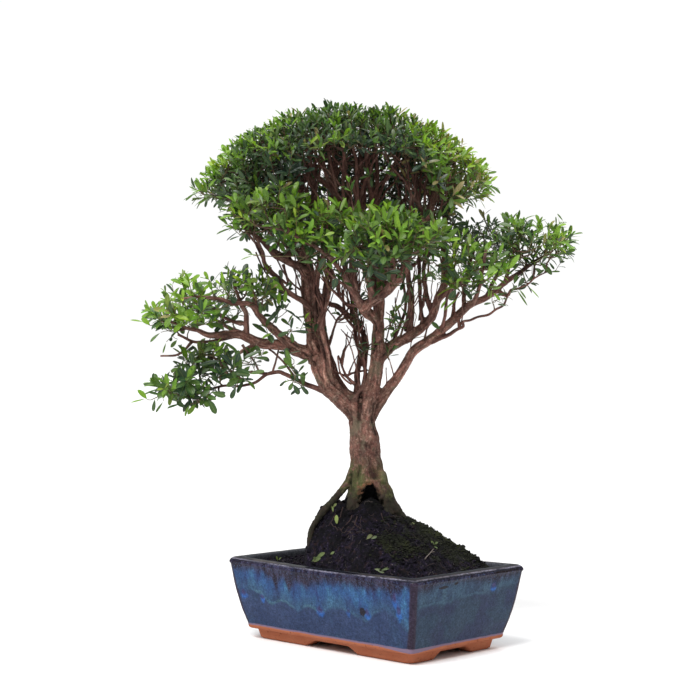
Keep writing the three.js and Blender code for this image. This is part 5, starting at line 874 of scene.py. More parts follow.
        (436, 164, 424, 160, 5.0, .12), (446, 168, 440, 156, 5.0, .12), (452, 176, 444, 168, 4.6, .14), (474, 178, 468, 168, 4.4, .16), (470, 204, 466, 212, 3.4, .5),
        (462, 200, 456, 192, 4.0, .4), (458, 160, 466, 150, 4.0, .2)]),
]
CROWN_R, CROWN_T = -36.0, -5.0
# the underside of the crown along its front and along its back: [across, height]
FRONT_UNDER = np.array([[-215, 520], [-193, 517], [-170, 511], [-142, 511], [-108, 522], [-88, 540], [-74, 571], [-22, 574], [29, 571], [46, 556],
                        [64, 540], [81, 518], [104, 504], [121, 517], [135, 532], [150, 545]], float)
BACK_UNDER = np.array([[-215, 540], [-180, 520], [-140, 505], [-80, 500], [0, 500], [60, 502], [100, 510], [130, 528], [150, 545]], float)


TOPLINE = np.array([[-178, 549], [-172, 556], [-163, 564], [-151, 576], [-136, 592], [-115, 606.5], [-92, 617.5], [-68, 627], [-39, 635], [-15, 639], [10, 638],
                    [32, 636], [65, 634], [97, 620], [126, 604.5], [144, 591], [156, 579.5], [168, 569], [180, 551]], float)


def crown_at(dr, dt):
    """Height of the top and of the underside of the crown, and how far out of it a place is (1 is its edge)."""
    a, b = (dr - 1.0) / 180.0, dt / np.where(dt > 0, 98.0, 145.0)
    rho = np.hypot(a, b)
    flat = np.clip(1 - a * a, 0.03, 1)
    top = np.interp(dr, TOPLINE[:, 0], TOPLINE[:, 1]) - (np.where(dt > 0, 50.0, 94.0) * flat + 6.0) * b * b / flat
    f = np.interp(dr + CROWN_R, FRONT_UNDER[:, 0], FRONT_UNDER[:, 1])
    g = np.interp(dr + CROWN_R, BACK_UNDER[:, 0], BACK_UNDER[:, 1])
    w = smooth(dt, -40.0, 25.0)
    under = g * (1 - w) + f * w
    # leave the middle open for the stems
    hollow = (1 - smooth(rho, 0.30, 0.72)) * (1 - smooth(-dt, 30.0, 80.0))
    under = under + (582.0 - under) * hollow * (under < 582.0)
    return top, np.minimum(under, top - 6.0), rho


def crown_node(dr, dt):
    if dt > 36 and abs(dr) < 120:
        return "foliage_crown_front"
    if dt < -52:
        return "foliage_crown_back"
    return "foliage_crown_left" if dr < -58 else "foliage_crown_right" if dr > 62 else "foliage_crown_top"


def spread(count, draw, gap_, taken):
    """Points from draw() that keep at least gap_ from each other and from those taken."""
    arr = np.zeros((len(taken) + count, 3))
    n_ = len(taken)
    if n_:
        arr[:n_] = np.array([f[0] for f in taken])
    new = []
    for _ in range(count):
        p = draw()
        if p is None:
            continue
        if n_ and (((arr[:n_] - p[0]) ** 2).sum(1) < gap_ ** 2).any():
            continue
        arr[n_] = p[0]
        n_ += 1
        new.append(p)
    return new


def crown_dir(dr, dt, rho, up):
    out = unit(np.array([dr / 177 ** 2, dt / (98 ** 2 if dt > 0 else 145 ** 2), 0.0]))
    lean = 0.10 + 0.95 * rho ** 2
    return lean * out[0] * RV + lean * out[1] * BV + up * UP


def draw_top():
    """The clipped surface: short upright shoots that all end at the same height."""
    dr, dt = rng.uniform(-179, 181), rng.uniform(-145, 98)
    top, under, rho = (float(x) for x in crown_at(np.float64(dr), np.float64(dt)))
    if rho > 0.99:
        return None
    d = unit(crown_dir(dr, dt, rho, 1.0 - 0.45 * rho))
    p = rtz(CROWN_R + dr, CROWN_T + dt, top - rng.uniform(-1.0, 4.0)) - d * rng.uniform(15.5, 19.5)
    age = 0.42 + 0.18 * rng.normal() - 0.05 * (dr > 30) - 0.28 * smooth(dr, 66, 118) - 0.26 * smooth(np.abs(dr), 80, 150) + 0.14 * smooth(dt, 30, 70) * (abs(dr) < 80) - 0.08 * smooth(-dr, 60, 100)
    return p, d, age, crown_node(dr, dt), 0.7, 14.2


def draw_crown():
    dr, dt = rng.uniform(-177, 177), rng.uniform(-145, 98)
    top, under, rho = (float(x) for x in crown_at(np.float64(dr), np.float64(dt)))
    if rho > 0.94:
        return None
    hi, lo = top - 20, under + 6
    if hi < lo:
        if rng.uniform() < 0.5:
            return None
        hi = lo = (top + under) / 2 - 2
    u = rng.uniform()
    z = lo + (hi - lo) * u
    depth = top - z
    # few leaves grow in the shade in the very middle
    if rho < 0.60 and depth > 52 and dt > -62 and rng.uniform() < 0.86:
        return None
    age = 0.56 + 0.38 * smooth(depth, 16.0, 50.0) + 0.12 * (dt < 0) + 0.09 * rng.normal() - 0.22 * smooth(dr, 66, 118) - 0.46 * smooth(np.abs(dr), 80, 150)
    d = unit(crown_dir(dr, dt, rho, 0.9 - 0.9 * rho * (1 - u)))
    return rtz(CROWN_R + dr, CROWN_T + dt, z) - d * 10.0, d, age, crown_node(dr, dt), 1.0, 16.2


def in_outline(px, py, poly):
    """Whether a pixel is inside an outline, and how far from its edge."""
    x0, y0 = poly[:, 0], poly[:, 1]
    x1, y1 = np.roll(x0, -1), np.roll(y0, -1)
    cut = (y0 > py) != (y1 > py)
    xs_ = x0 + (py - y0) * (x1 - x0) / np.where(y1 == y0, 1e-9, y1 - y0)
    inside_ = (np.sum(cut & (px < xs_)) % 2) == 1
    dx, dy = x1 - x0, y1 - y0
    k_ = np.clip(((px - x0) * dx + (py - y0) * dy) / (dx * dx + dy * dy), 0, 1)
    return inside_, float(np.min(np.hypot(px - x0 - k_ * dx, py - y0 - k_ * dy)))


found = spread(11000, draw_top, 9.6, [])
found += spread(8000, draw_crown, 14.0, found)


def draw_curtain():
    """Old leaves far back under the crown, that close it behind the stems."""
    dr, dt = rng.uniform(-110, 110), rng.uniform(-118, -58)
    top, under, rho = (float(x) for x in crown_at(np.float64(dr), np.float64(dt)))
    if rho > 0.92:
        return None
    z = rng.uniform(under + 2.0, top - 26.0)
    return rtz(CROWN_R + dr, CROWN_T + dt, z), unit(rng.normal(size=3) * 0.5 + 0.5 * UP + 0.5 * BV), 0.92 + 0.06 * rng.normal(), "foliage_crown_back", 0.4, 15.0


found += spread(420, draw_curtain, 11.0, found)
for node, t0, half, gap_, age_l, age_r, size_, outline in REGIONS:
    poly = np.array(outline, float)
    lo_, hi_ = poly.min(0), poly.max(0)
    mid_px = poly.mean(0)

    def draw_region():
        px, py = rng.uniform(lo_[0], hi_[0]), rng.uniform(lo_[1], hi_[1])
        ok, e_ = in_outline(px, py, poly)
        if not ok or e_ < 3.0:
            return None
        w = min((e_ - 3.0) / 10.0, 1.0)
        lens = half * math.sqrt(1 - (1 - w) ** 2) * rng.uniform(-1, 1)
        p = at(px, py, t0 + lens)
        out = (px - mid_px[0]) / (hi_[0] - lo_[0]) * 1.6 * RV + lens / half * 0.7 * BV
        top_ = (hi_[1] - py) / (hi_[1] - lo_[1])
        d = unit(out + (0.10 + 0.80 * top_) * UP)
        k_ = (px - lo_[0]) / (hi_[0] - lo_[0])
        age = age_l + (age_r - age_l) * k_ + (0.58 if "shelf" in node else 0.32) * (1 - top_) ** 1.4 - 0.06 + 0.12 * rng.normal() + 0.16 * (lens < -10)
        return p - d * 12.0, d, age, node, 1.0, size_

    found += spread(1800, draw_region, gap_ * 0.86, found)
for node, px, py, t, a_, b_, c_, old in PADS:
    mid = at(px, py, t)

    def draw_pad():
        v = rng.normal(size=3)
        v = v / np.linalg.norm(v) * rng.uniform() ** (1 / 3)
        if v[2] < -0.25 and rng.uniform() < 0.5:
            return None
        p = mid + v[0] * (a_ - 14) * RV + v[1] * (b_ - 14) * BV + v[2] * (c_ - 12) * UP
        d = unit(0.75 * v[0] * RV + 0.75 * v[1] * BV + (0.75 + 0.25 * v[2]) * UP)
        age = old + 0.30 * smooth(-v[2], -0.75, 0.7) + 0.10 * rng.normal()
        return p - d * 11.0, d, age, node, 1.0, 15.5

    found += spread(700, draw_pad, 15.0, found)

# single sprigs low inside the tree and at the ends of the branches: pixel, depth, age, leaf size
SPRIGS = [(291, 328, 24, 0.6, 16), (300, 331, 26, 0.6, 17), (268, 335, 30, 0.45, 17), (262, 357, 14, 0.6, 16), (255, 371, 12, 0.45, 18), (249, 382, 12, 0.4, 19),
          (235, 388, 10, 0.7, 19), (210, 400, 12, 0.5, 21), (280, 291, 34, 0.3, 20), (287, 311, 34, 0.65, 17), (275, 320, 34, 0.65, 15), (261, 307, 36, 0.6, 15),
          (293, 382, 14, 0.5, 16), (299, 384, 10, 0.7, 18), (305, 388, 14, 0.65, 17), (285, 361, 20, 0.45, 18), (294, 360, 10, 0.4, 17), (352, 346, 22, 0.6, 14), (365, 352, 26, 0.5, 13), (384, 330, 20, 0.6, 15),
          (392, 322, 34, 0.55, 15), (398, 308, 40, 0.6, 14), (402, 330, 36, 0.55, 15), (386, 312, 46, 0.6, 14), (330, 280, 50, 0.6, 16), (345, 284, 60, 0.6, 16),
          (322, 268, 56, 0.7, 17), (336, 268, 64, 0.6, 15), (306, 262, 60, 0.7, 16), (298, 250, 56, 0.7, 16), (430, 256, 70, 0.6, 17), (438, 266, 66, 0.6, 16),
          (424, 262, 66, 0.65, 16), (448, 284, 60, 0.6, 15), (462, 294, 56, 0.6, 16), (492, 297, 30, 0.6, 14), (504, 298, 24, 0.6, 13), (520, 281, 10, 0.65, 14),
          (532, 274, 6, 0.6, 14), (316, 335, 30, 0.6, 12), (372, 296, 40, 0.6, 14),
          (412, 300, 50, 0.55, 14), (418, 282, 56, 0.5, 14), (404, 284, 60, 0.6, 14), (360, 282, 70, 0.6, 14), (392, 286, 64, 0.6, 14), (282, 248, 46, 0.6, 15),
          (383, 172, 30, 0.25, 14), (372, 178, 20, 0.5, 12), (318, 166, 20, 0.4, 12), (403, 184, 10, 0.7, 15), (338, 196, -10, 0.7, 14), (352, 186, -20, 0.8, 14),
          (427, 184, 10, 0.5, 13), (408, 200, 0, 0.7, 15), (390, 346, 30, 0.55, 12), (356, 330, 10, 0.6, 12), (345, 318, 0, 0.6, 12), (556, 270, 6, 0.6, 13)]
for px, py, t, age, size_ in SPRIGS:
    p = at(px, py, t)
    d = unit(rng.normal(size=3) * 0.45 + 0.55 * UP + 0.25 * BV + 0.4 * np.sign(px - 350) * RV)
    if py < 205:
        best = crown_node(float(p @ RV) - CROWN_R, float(p @ BV) - CROWN_T)
    else:
        best = min(REGIONS, key=lambda q: np.linalg.norm(at(*np.mean(q[7], axis=0), q[1]) - p))[0]
    found.append((p, d, age + 0.1 * rng.normal(), best, 0.4, size_))

# feet of the traced leaves
traced = []
for node, t0, rows in TRACED:
    for x0, y0, x1, y1, w_, age in rows:
        t_ = t0 + rng.uniform(-5, 5)
        p, q_ = at(x0, y0, t_), at(x1, y1, t_ + rng.uniform(-2.5, 4.5))
        L_ = np.linalg.norm(q_ - p)
        D = (q_ - p) / L_
        N = unit(0.85 * BV + 0.55 * UP + 0.30 * rng.normal(size=3))
        traced.append((p, D, N, L_, w_ * 1.18, float(np.clip(age + 0.03 * rng.normal(), 0, 1)), node))
        found.append((p - D * 1.2, D, age, node, 0.0, L_))

# ---- slender stems that rise from the ends of the branches into the crown and the sprays -------
stems = Gather()
new_pts, new_rad, new_tan = [], [], []


def add_stem(p0, p1, r0, r1, rise, seed):
    L_ = np.linalg.norm(p1 - p0)
    n_ = max(5, int(L_ / 4.0))
    u = np.linspace(0, 1, n_)[:, None]
    t0, t1 = (0.5 * (p1 - p0) / L_ + rise * UP) * L_, (0.8 * (p1 - p0) / L_ + 0.35 * UP) * L_
    pts = (2 * u ** 3 - 3 * u ** 2 + 1) * p0 + (u ** 3 - 2 * u ** 2 + u) * t0 + (-2 * u ** 3 + 3 * u ** 2) * p1 + (u ** 3 - u ** 2) * t1
    wob_ = np.stack([fbm(np.stack([u[:, 0] * L_ / 14.0, np.full(n_, seed * 3.7), np.full(n_, k * 9.1)], -1), 2, 61) for k in range(3)], -1)
    pts = pts + wob_ * 2.2 * np.minimum(1, 5 * u * (1 - u) + 0.4 * u)
    rad = (r0 + (r1 - r0) * u[:, 0]) * (1 + 0.10 * np.sin(u[:, 0] * 11 + seed)) * (1 + 0.4 * np.exp(-u[:, 0] * L_ / 3.0))
    stem_tube(pts, rad, u[:, 0] * L_ + seed * 40.0)


def stem_tube(pts, rad, place):
    n_ = len(pts)
    tn = unit(np.gradient(pts, axis=0))
    ns, bs = frames_along(tn)
    v, q, t = tube(pts, rad, ns, bs, 7)
    s_ = np.repeat(place, 7)
    a_ = np.tile(np.arange(7) * 2 * math.pi / 7, n_)
    r_ = np.repeat(rad, 7)
    co_ = np.stack([np.cos(a_) * r_, np.sin(a_) * r_, s_], -1)
    stems.add(v, q, t, bark_co=np.vstack([co_, co_[:1], co_[-1:]]), thick=np.concatenate([r_, [rad[0], rad[-1]]]), high=v[:, 2])
    new_pts.append(pts[::2]); new_rad.append(rad[::2]); new_tan.append(tn[::2])


ends = np.flatnonzero((K_pts[:, 2] > 470) & (K_pts[:, 2] < 560) & (K_rad > 1.5))
for i in range(104):
    p0 = K_pts[ends[rng.integers(len(ends))]]
    a_, d_ = rng.uniform(0, 2 * math.pi), rng.uniform(8, 66)
    q0 = np.array([float(p0 @ RV) + d_ * math.cos(a_) - CROWN_R, float(p0 @ BV) + 0.8 * d_ * math.sin(a_) - CROWN_T])
    top_, under_, rho_ = crown_at(q0[0], q0[1])
    if rho_ > 0.9:
        continue
    p1 = rtz(q0[0] + CROWN_R, q0[1] + CROWN_T, float(top_) - rng.uniform(24, 42))
    if p1[2] < p0[2] + 25:
        continue
    add_stem(p0, p1, rng.uniform(1.2, 2.4), rng.uniform(0.6, 0.9), 0.6, i)
mids = np.flatnonzero((K_pts[:, 2] > 350) & (K_pts[:, 2] < 455) & (K_rad > 1.4) & (K_rad < 6.5) & (np.abs(K_pts @ RV + 10) < 85))
for i in range(110):
    p0 = K_pts[mids[rng.integers(len(mids))]]
    side_ = float(p0 @ RV) + 10.0
    p1 = p0 + rtz(side_ * 0.10 + 10 * rng.normal(), 9 * rng.normal(), rng.uniform(26, 74))
    add_stem(p0, p1, rng.uniform(0.8, 1.6), rng.uniform(0.40, 0.6), 0.45, 200 + i)
    if rng.uniform() < 0.55:
        found.append((p1, unit(rng.normal(size=3) * 0.5 + 0.7 * UP), 0.62 + 0.1 * rng.normal(),
                      "foliage_shelf_left" if side_ < 0 else "foliage_shelf_right", 0.4, rng.uniform(10.0, 14.0)))
lows = np.flatnonzero((K_pts[:, 2] > 296) & (K_pts[:, 2] < 372) & (K_rad > 1.2) & (K_rad < 9.0) & (np.abs(K_pts @ RV + 8) < 78))
for i in range(20):
    p0 = K_pts[lows[rng.integers(len(lows))]]
    side_ = float(p0 @ RV) + 8.0
    p1 = p0 + rtz(-side_ * 0.10 + 17 * rng.normal(), 14 * rng.normal(), rng.uniform(18, 66))
    add_stem(p0, p1, rng.uniform(0.8, 1.6), rng.uniform(0.36, 0.55), 0.35, 400 + i)
    if rng.uniform() < 0.5:
        found.append((p1, unit(rng.normal(size=3) * 0.5 + 0.7 * UP), 0.60 + 0.1 * rng.normal(),
                      "foliage_shelf_left" if side_ < 0 else "foliage_shelf_right", 0.4, rng.uniform(8.0, 13.0)))
# stems that can be told apart in the photograph: radius at the foot and at the tip, how far the tip comes forward, path in pixels from the foot
STEMS = [(1.8, 1.0, 4, [(329, 345), (332.3, 334.4), (336, 322.5), (336.4, 319), (341.7, 314.8), (349.2, 308.3), (354, 303)]), (1.0, 0.6, 6, [(336, 320.5), (331, 313.5), (326.7, 308.3), (322, 301)]),
         (0.7, 0.4, 5, [(337, 322.6), (343, 322.8), (349.2, 320.9)]), (1.4, 0.8, 8, [(351, 384), (345, 381), (339.8, 373.4), (338.6, 364), (337.6, 356)]),
         (1.1, 0.6, 8, [(359.5, 388), (356, 367), (351, 347), (344.4, 333)]), (1.9, 1.2, 4, [(357.8, 389), (356, 380), (357.6, 370), (358.4, 362)]),
         (1.3, 0.7, 8, [(364.6, 388), (365.6, 367), (360, 340), (357.8, 320), (352, 305)]), (1.0, 0.6, 8, [(366, 368), (368.4, 346), (366, 324)]),
         (1.0, 0.5, 10, [(384.8, 346), (388, 333), (395, 306), (399, 290)]), (2.0, 1.2, 10, [(405, 330), (409.4, 306), (409.6, 284), (407, 264)]),
         (1.6, 1.0, 8, [(418.5, 320), (424.6, 293), (423.5, 272), (427, 258)]), (1.6, 1.0, 8, [(433.6, 306), (441.4, 289), (442.4, 268), (440, 256)]),
         (1.0, 0.7, 2, [(459, 320), (455, 312), (452, 306)]), (1.0, 0.6, 4, [(460.5, 327), (463, 314), (462, 304), (466, 294)]),
         (1.5, 0.9, 24, [(304, 303), (284, 292.5), (272, 281), (265, 272), (260, 262), (256, 252)]), (1.3, 0.8, 24, [(302, 291), (290.5, 282.4), (282, 270), (276, 257)]),
         (1.9, 1.2, 26, [(287, 284), (272, 272), (263.5, 261), (259, 247), (251, 238), (245.4, 230)]), (1.7, 1.1, 26, [(301, 270), (287, 258.6), (268, 246), (252, 234.5), (243, 228)]),
         (1.6, 1.0, 28, [(305, 273), (292, 261), (279, 245), (268, 231), (262, 220)]), (1.2, 0.8, 24, [(285, 290), (279, 281), (268, 269), (258, 250), (254, 240)]),
         (1.2, 0.7, 22, [(309, 266), (312.4, 246), (317.4, 219)]), (0.9, 0.6, 10, [(349, 308), (337, 295), (323, 281), (316, 270)]), (0.9, 0.6, 8, [(317, 316), (325.5, 304), (322, 297), (317, 290)]),
         (1.0, 0.5, 10, [(350, 338), (344.5, 333.5), (341, 329)]), (1.2, 0.7, 6, [(300, 352), (288, 346), (279, 336), (276, 326)]), (0.9, 0.5, 6, [(276, 350), (279, 341), (276, 333)])]
dK = CAM_DIST - K_pts @ BV
kx_, ky_ = 350.0 + FOCAL_PX * (K_pts @ RV - CAM_SIDE) / dK, 350.0 - FOCAL_PX * (K_pts[:, 2] - CAM_HIGH) / dK
for i, (r0, r1, fwd, path) in enumerate(STEMS):
    path = np.array(path, float)
    j = int(np.argmin(np.hypot(kx_ - path[0, 0], ky_ - path[0, 1]) - 0.03 * (K_pts @ BV) + 6.0 * (K_rad < 1.3)))
    t_foot = float(K_pts[j] @ BV)
    s_ = np.concatenate([[0], np.cumsum(np.hypot(*np.diff(path, axis=0).T))])
    w_ = np.linspace(0, 1, max(8, int(s_[-1] / 2.6)))
    xy = np.stack([np.interp(w_ * s_[-1], s_, path[:, k]) for k in range(2)], -1)
    for _ in range(3):
        xy[1:-1] = 0.25 * xy[:-2] + 0.5 * xy[1:-1] + 0.25 * xy[2:]
    pts = np.array([at(x, y, t_foot + fwd * (w - 0.0)) for (x, y), w in zip(xy, w_)])
    if np.linalg.norm(pts[0] - K_pts[j]) < 14.0:
        pts = np.vstack([K_pts[j], pts])
        w_ = np.concatenate([[0.0], w_])
    pts = pts + 0.5 * np.stack([fbm(np.stack([w_ * s_[-1] / 9.0, np.full(len(w_), i * 3.1), np.full(len(w_), k * 7.7)], -1), 2, 63) for k in range(3)], -1)
    stem_tube(pts, (r0 + (r1 - r0) * w_) * (1 + 0.10 * np.sin(w_ * 13 + i)), w_ * s_[-1] * 1.2 + 700.0 + 31.0 * i)
make("slender_stems", stems.verts(), stems.faces(), BARK,
     attrs={"thick": stems.attr("thick"), "high": stems.attr("high"), "deep": np.zeros(stems.n), "rust": np.zeros(stems.n),
            "relief": np.full(stems.n, 0.5), "moist": np.zeros(stems.n)},
     vattrs={"bark_co": stems.attr("bark_co")}, replaces=("trunk_and_branches",), slot="bark")
new_pts, new_rad, new_tan = np.vstack(new_pts), np.concatenate(new_rad), np.vstack(new_tan)
cl_pos = np.array([f[0] for f in found])
cl_dir = unit(np.array([f[1] for f in found]) + rng.normal(size=(len(found), 3)) * np.array([0.0 if f[4] == 0.0 else 0.20 for f in found])[:, None])
cl_age = np.array([f[2] for f in found])
cl_pad = [f[3] for f in found]
cl_full = np.array([f[4] for f in found])
cl_size = np.array([f[5] for f in found])
M = len(cl_pos)

# ---- twigs: each cluster of shoots is joined to the tree by the easiest way --------------------
root_limb = np.array([nm.startswith("R") and nm[1:].isdigit() or nm == "trunk" for nm in limb_order])
keep = (K_rad <= 6.8) & ~root_limb[K_limb]
idx = np.flatnonzero(keep)[::3]
g_pos, g_tan = np.vstack([K_pts[idx], new_pts]), np.vstack([K_tan[idx], new_tan])
best_cost = np.full(M, np.inf)
best_from = np.zeros(M, int)
all_pos, all_tan, all_path = [p for p in g_pos], [t_ for t_ in g_tan], [0.0] * len(g_pos)
all_edge, all_at = [-1] * len(g_pos), [0] * len(g_pos)
PATH_W = 0.30


def offer(k0, k1):
    p = np.array(all_pos[k0:k1])
    t_ = np.array(all_tan[k0:k1])
    path = np.array(all_path[k0:k1])
    d = cl_pos[None] - p[:, None]
    dist = np.linalg.norm(d, axis=2)
    cosv = (d * t_[:, None]).sum(2) / np.maximum(dist, 1e-6)
    down = np.clip(-d[..., 2] / np.maximum(dist, 1e-6), 0, 1)
    cost = dist * (1 + 0.55 * (1 - cosv) + 0.9 * down) + PATH_W * path[:, None]
    j = cost.argmin(0)
    c = cost[j, np.arange(M)]
    better = c < best_cost
    best_cost[better] = c[better]
    best_from[better] = j[better] + k0


step = 400
for k0 in range(0, len(all_pos), step):
    offer(k0, min(k0 + step, len(all_pos)))
done = np.zeros(M, bool)
edges = []                      # (points, parent edge, index on the parent, cluster)
for _ in range(M):
    c = int(np.where(done, np.inf, best_cost).argmin())
    src = best_from[c]
    p0, p1 = all_pos[src], cl_pos[c]
    L_ = np.linalg.norm(p1 - p0)
    way = (p1 - p0) / max(L_, 1e-6)
    t0 = unit(0.55 * all_tan[src] + 0.75 * way) * L_
    t1 = unit(0.55 * way + 0.6 * cl_dir[c] + 0.15 * UP) * L_
    n_ = max(3, int(L_ / 4.5) + 1)
    u = np.linspace(0, 1, n_)[:, None]
    pts = ((2 * u ** 3 - 3 * u ** 2 + 1) * p0 + (u ** 3 - 2 * u ** 2 + u) * t0 + (-2 * u ** 3 + 3 * u ** 2) * p1 + (u ** 3 - u ** 2) * t1)
    bend = fbm(pts / 16.0 + 31.7, 2, 83)[:, None] * rng.normal(size=3) * 1.3
    pts = pts + bend * np.minimum(1, 4 * u * (1 - u))
    e_id = len(edges)
    edges.append([pts, all_edge[src], all_at[src], c])
    done[c] = True
    k0 = len(all_pos)
    tn = unit(np.gradient(pts, axis=0))
    ln = np.concatenate([[0], np.cumsum(np.linalg.norm(np.diff(pts, axis=0), axis=1))])
    for k in range(1, n_):
        all_pos.append(pts[k]); all_tan.append(tn[k]); all_path.append(all_path[src] + ln[k])
        all_edge.append(e_id); all_at.append(k)
    offer(k0, len(all_pos))

load = [np.ones(len(e[0])) * max(cl_full[e[3]], 0.22) for e in edges]
for i in range(len(edges) - 1, -1, -1):
    par, where = edges[i][1], edges[i][2]
    if par >= 0:
        load[par][:where + 1] += load[i][0]
twigs = Gather()
e_end_rad = np.zeros(M)
for i, (pts, par, where, c) in enumerate(edges):
    r_ = 0.62 * load[i] ** 0.43
    r_ = np.minimum(r_, 3.2)
    k = np.linspace(0, 1, len(r_))
    r_ = r_ * (1 + 0.25 * np.exp(-k * len(r_) / 1.5)) * (1 + 0.08 * np.sin(k * 9 + i))
    e_end_rad[c] = r_[-1]
    tn = unit(np.gradient(pts, axis=0))
    ns, bs = frames_along(tn)
    v, q, t = tube(pts, r_, ns, bs, 6 if r_.max() > 1.6 else 4)
    yg = np.clip(smooth(1.05 - np.repeat(r_, 6 if r_.max() > 1.6 else 4), 0.0, 0.5), 0, 1) * 0.35
    yg = np.concatenate([yg, [0, 0]])
    twigs.add(v, q, t, young=yg)
print("clusters", M, "twig faces", sum(len(x) for x in twigs.q))

# ---- shoots and leaves -------------------------------------------------------------------------
ST = np.array([0.10, 0.32, 0.58, 0.80, 0.94])
PROF = np.array([[0.30, 0.82, 1.00, 0.70, 0.30], [0.20, 0.66, 0.97, 0.96, 0.60]])      # pointed, blunt
T_u = np.concatenate([[0.0], np.repeat(ST, 3), [1.0]])
T_v = np.concatenate([[0.0], np.tile([-1.0, 0.0, 1.0], 5), [0.0]])
T_w = np.stack([np.concatenate([[0.0], np.repeat(w, 3), [0.0]]) for w in PROF])
T_q = np.array([[1 + 3 * k + j, 1 + 3 * k + j + 1, 4 + 3 * k + j + 1, 4 + 3 * k + j] for k in range(4) for j in (0, 1)])
T_t = np.array([[0, 2, 1], [0, 3, 2], [13, 14, 16], [14, 15, 16]])


def leaf_mesh(P, D, N, length, width, fold, curl, age, rnd, twist=None, blunt=None):
    """Vertices, faces and attributes for many leaves at once."""
    n_ = len(P)
    N = unit(N - (N * D).sum(1, keepdims=True) * D)
    B = np.cross(D, N)
    th = curl[:, None] * T_u[None] ** 1.4
    x = length[:, None] * T_u[None] * (1 - 0.18 * th ** 2)
    z = -length[:, None] * T_u[None] * th * 0.5
    bl = (np.full(n_, 0.6) if blunt is None else blunt)[:, None]
    y = 0.5 * width[:, None] * T_v[None] * (T_w[0][None] * (1 - bl) + T_w[1][None] * bl)
    z = z + fold[:, None] * np.abs(y)
    tw = (twist if twist is not None else np.zeros(n_))[:, None] * T_u[None]
    y2, z2 = y * np.cos(tw) - 0, z + y * np.sin(tw)
    v = P[:, None] + x[..., None] * D[:, None] + y2[..., None] * B[:, None] + z2[..., None] * N[:, None]
    off = np.arange(n_)[:, None, None] * len(T_u)
    dat = np.stack([np.repeat(age, len(T_u)), np.repeat(rnd, len(T_u)), np.tile(T_u, n_)], -1)
    return v.reshape(-1, 3), (T_q[None] + off).reshape(-1, 4), (T_t[None] + off).reshape(-1, 3), dat, np.tile(T_v, n_)


leaves = {}                      # node -> lists of leaf parameters
for c in range(M):
    full, L0c = cl_full[c], cl_size[c]
    if full == 0.0:
        continue
    top_ = full == 0.7
    low_ = cl_pad[c].startswith("foliage_left")
    count = 1 if full < 0.9 else int(rng.integers(1, 3))
    if top_ and rng.uniform() < 0.35:
        count = 2
    for sh in range(count):
        d = cl_dir[c] if sh == 0 else unit(cl_dir[c] + rng.normal(size=3) * 0.60 + 0.10 * UP)
        pairs = int(rng.integers(2, 4)) if full < 0.9 else int(rng.integers(3, 5))
        L0 = L0c * rng.uniform(0.78, 1.28)
        Ls = (3.0 + 2.0 * pairs) * rng.uniform(0.8, 1.2) if top_ else (4.0 + 3.6 * pairs) * rng.uniform(0.75, 1.25)
        m_ = 4
        bendv = unit(UP * 0.7 + rng.normal(size=3) * 0.4)
        u = np.linspace(0, 1, m_)[:, None]
        pts = cl_pos[c] + d * Ls * u + bendv * Ls * 0.20 * u ** 2
        tn = unit(np.gradient(pts, axis=0))
        ns, bs = frames_along(tn)
        v, q, t = tube(pts, np.linspace(min(0.70, e_end_rad[c]), 0.42, m_), ns, bs, 3)
        agec = float(np.clip(cl_age[c] + rng.normal() * 0.10, 0, 1))
        twigs.add(v, q, t, young=np.full(len(v), np.clip(0.85 - agec, 0.10, 0.85)))
        az = rng.uniform(0, math.pi)
        shoot_rnd = rng.uniform()
        for k in range(pairs):
            f = 0.15 + 0.85 * (k + 0.4 * rng.uniform()) / max(pairs - 0.6, 1)
            f = min(f, 1.0)
            base = cl_pos[c] + d * Ls * f + bendv * Ls * 0.20 * f * f
            ax = unit(d + bendv * 0.40 * f)
            n1 = unit(np.cross(ax, [0.31, 0.52, 0.79]))
            n2 = np.cross(ax, n1)
            last = k == pairs - 1
            for side in (0, 1):
                if not last and rng.uniform() < 0.07:
                    continue
                a = az + k * math.pi / 2 + side * math.pi + rng.normal() * 0.20
                radial = math.cos(a) * n1 + math.sin(a) * n2
                tilt = math.radians(rng.normal(34 if last else 60 - 12 * f, 10) - (8 if top_ else 0))
                D = math.cos(tilt) * ax + math.sin(tilt) * radial
                D = unit(D + UP * -0.04 + rng.normal(size=3) * 0.06)
                N = unit(ax - np.dot(ax, D) * D + 0.45 * UP + (0.45 if low_ else 0.12) * BV)
                size = L0 * (0.80 if last else 0.90 + 0.16 * math.sin(math.pi * f)) * rng.uniform(0.82, 1.12)
                if last and rng.uniform() < 0.25:
                    size *= 0.6
                leaves.setdefault(cl_pad[c], []).append(
                    (base, D, N, size, size * (rng.uniform(0.29, 0.40) if low_ else rng.uniform(0.22, 0.31) if "crown" in cl_pad[c] else rng.uniform(0.24, 0.34)), rng.uniform(0.08, 0.45), rng.uniform(-0.05, 0.55),
                     np.clip(agec + (-0.12 if last else 0.08 * (1 - f)) + rng.normal() * 0.07 + (0.42 if rng.uniform() < (0.20 if low_ else 0.04 if "shelf" in cl_pad[c] else 0.10) else 0.0), 0, 1),
                     float(np.clip(0.5 * shoot_rnd + 0.5 * rng.uniform() + (0.22 if "crown_right" in cl_pad[c] else 0.0), 0, 1)), rng.normal() * 0.30,
                     np.clip((0.85 if low_ else 0.30 + 0.5 * agec) + 0.2 * rng.normal(), 0, 1)))
        if rng.uniform() < 0.55:                             # the bud at the tip
            base = cl_pos[c] + d * Ls + bendv * Ls * 0.20
            ax = unit(d + bendv * 0.40)
            for side in (0, 1):
                D = unit(ax + rng.normal(size=3) * 0.20)
                size = L0 * rng.uniform(0.25, 0.42)
                leaves.setdefault(cl_pad[c], []).append(
                    (base, D, rng.normal(size=3), size, size * 0.32, 0.4, 0.1, np.clip(agec - 0.2, 0, 1), rng.uniform(), 0.0, 0.0))
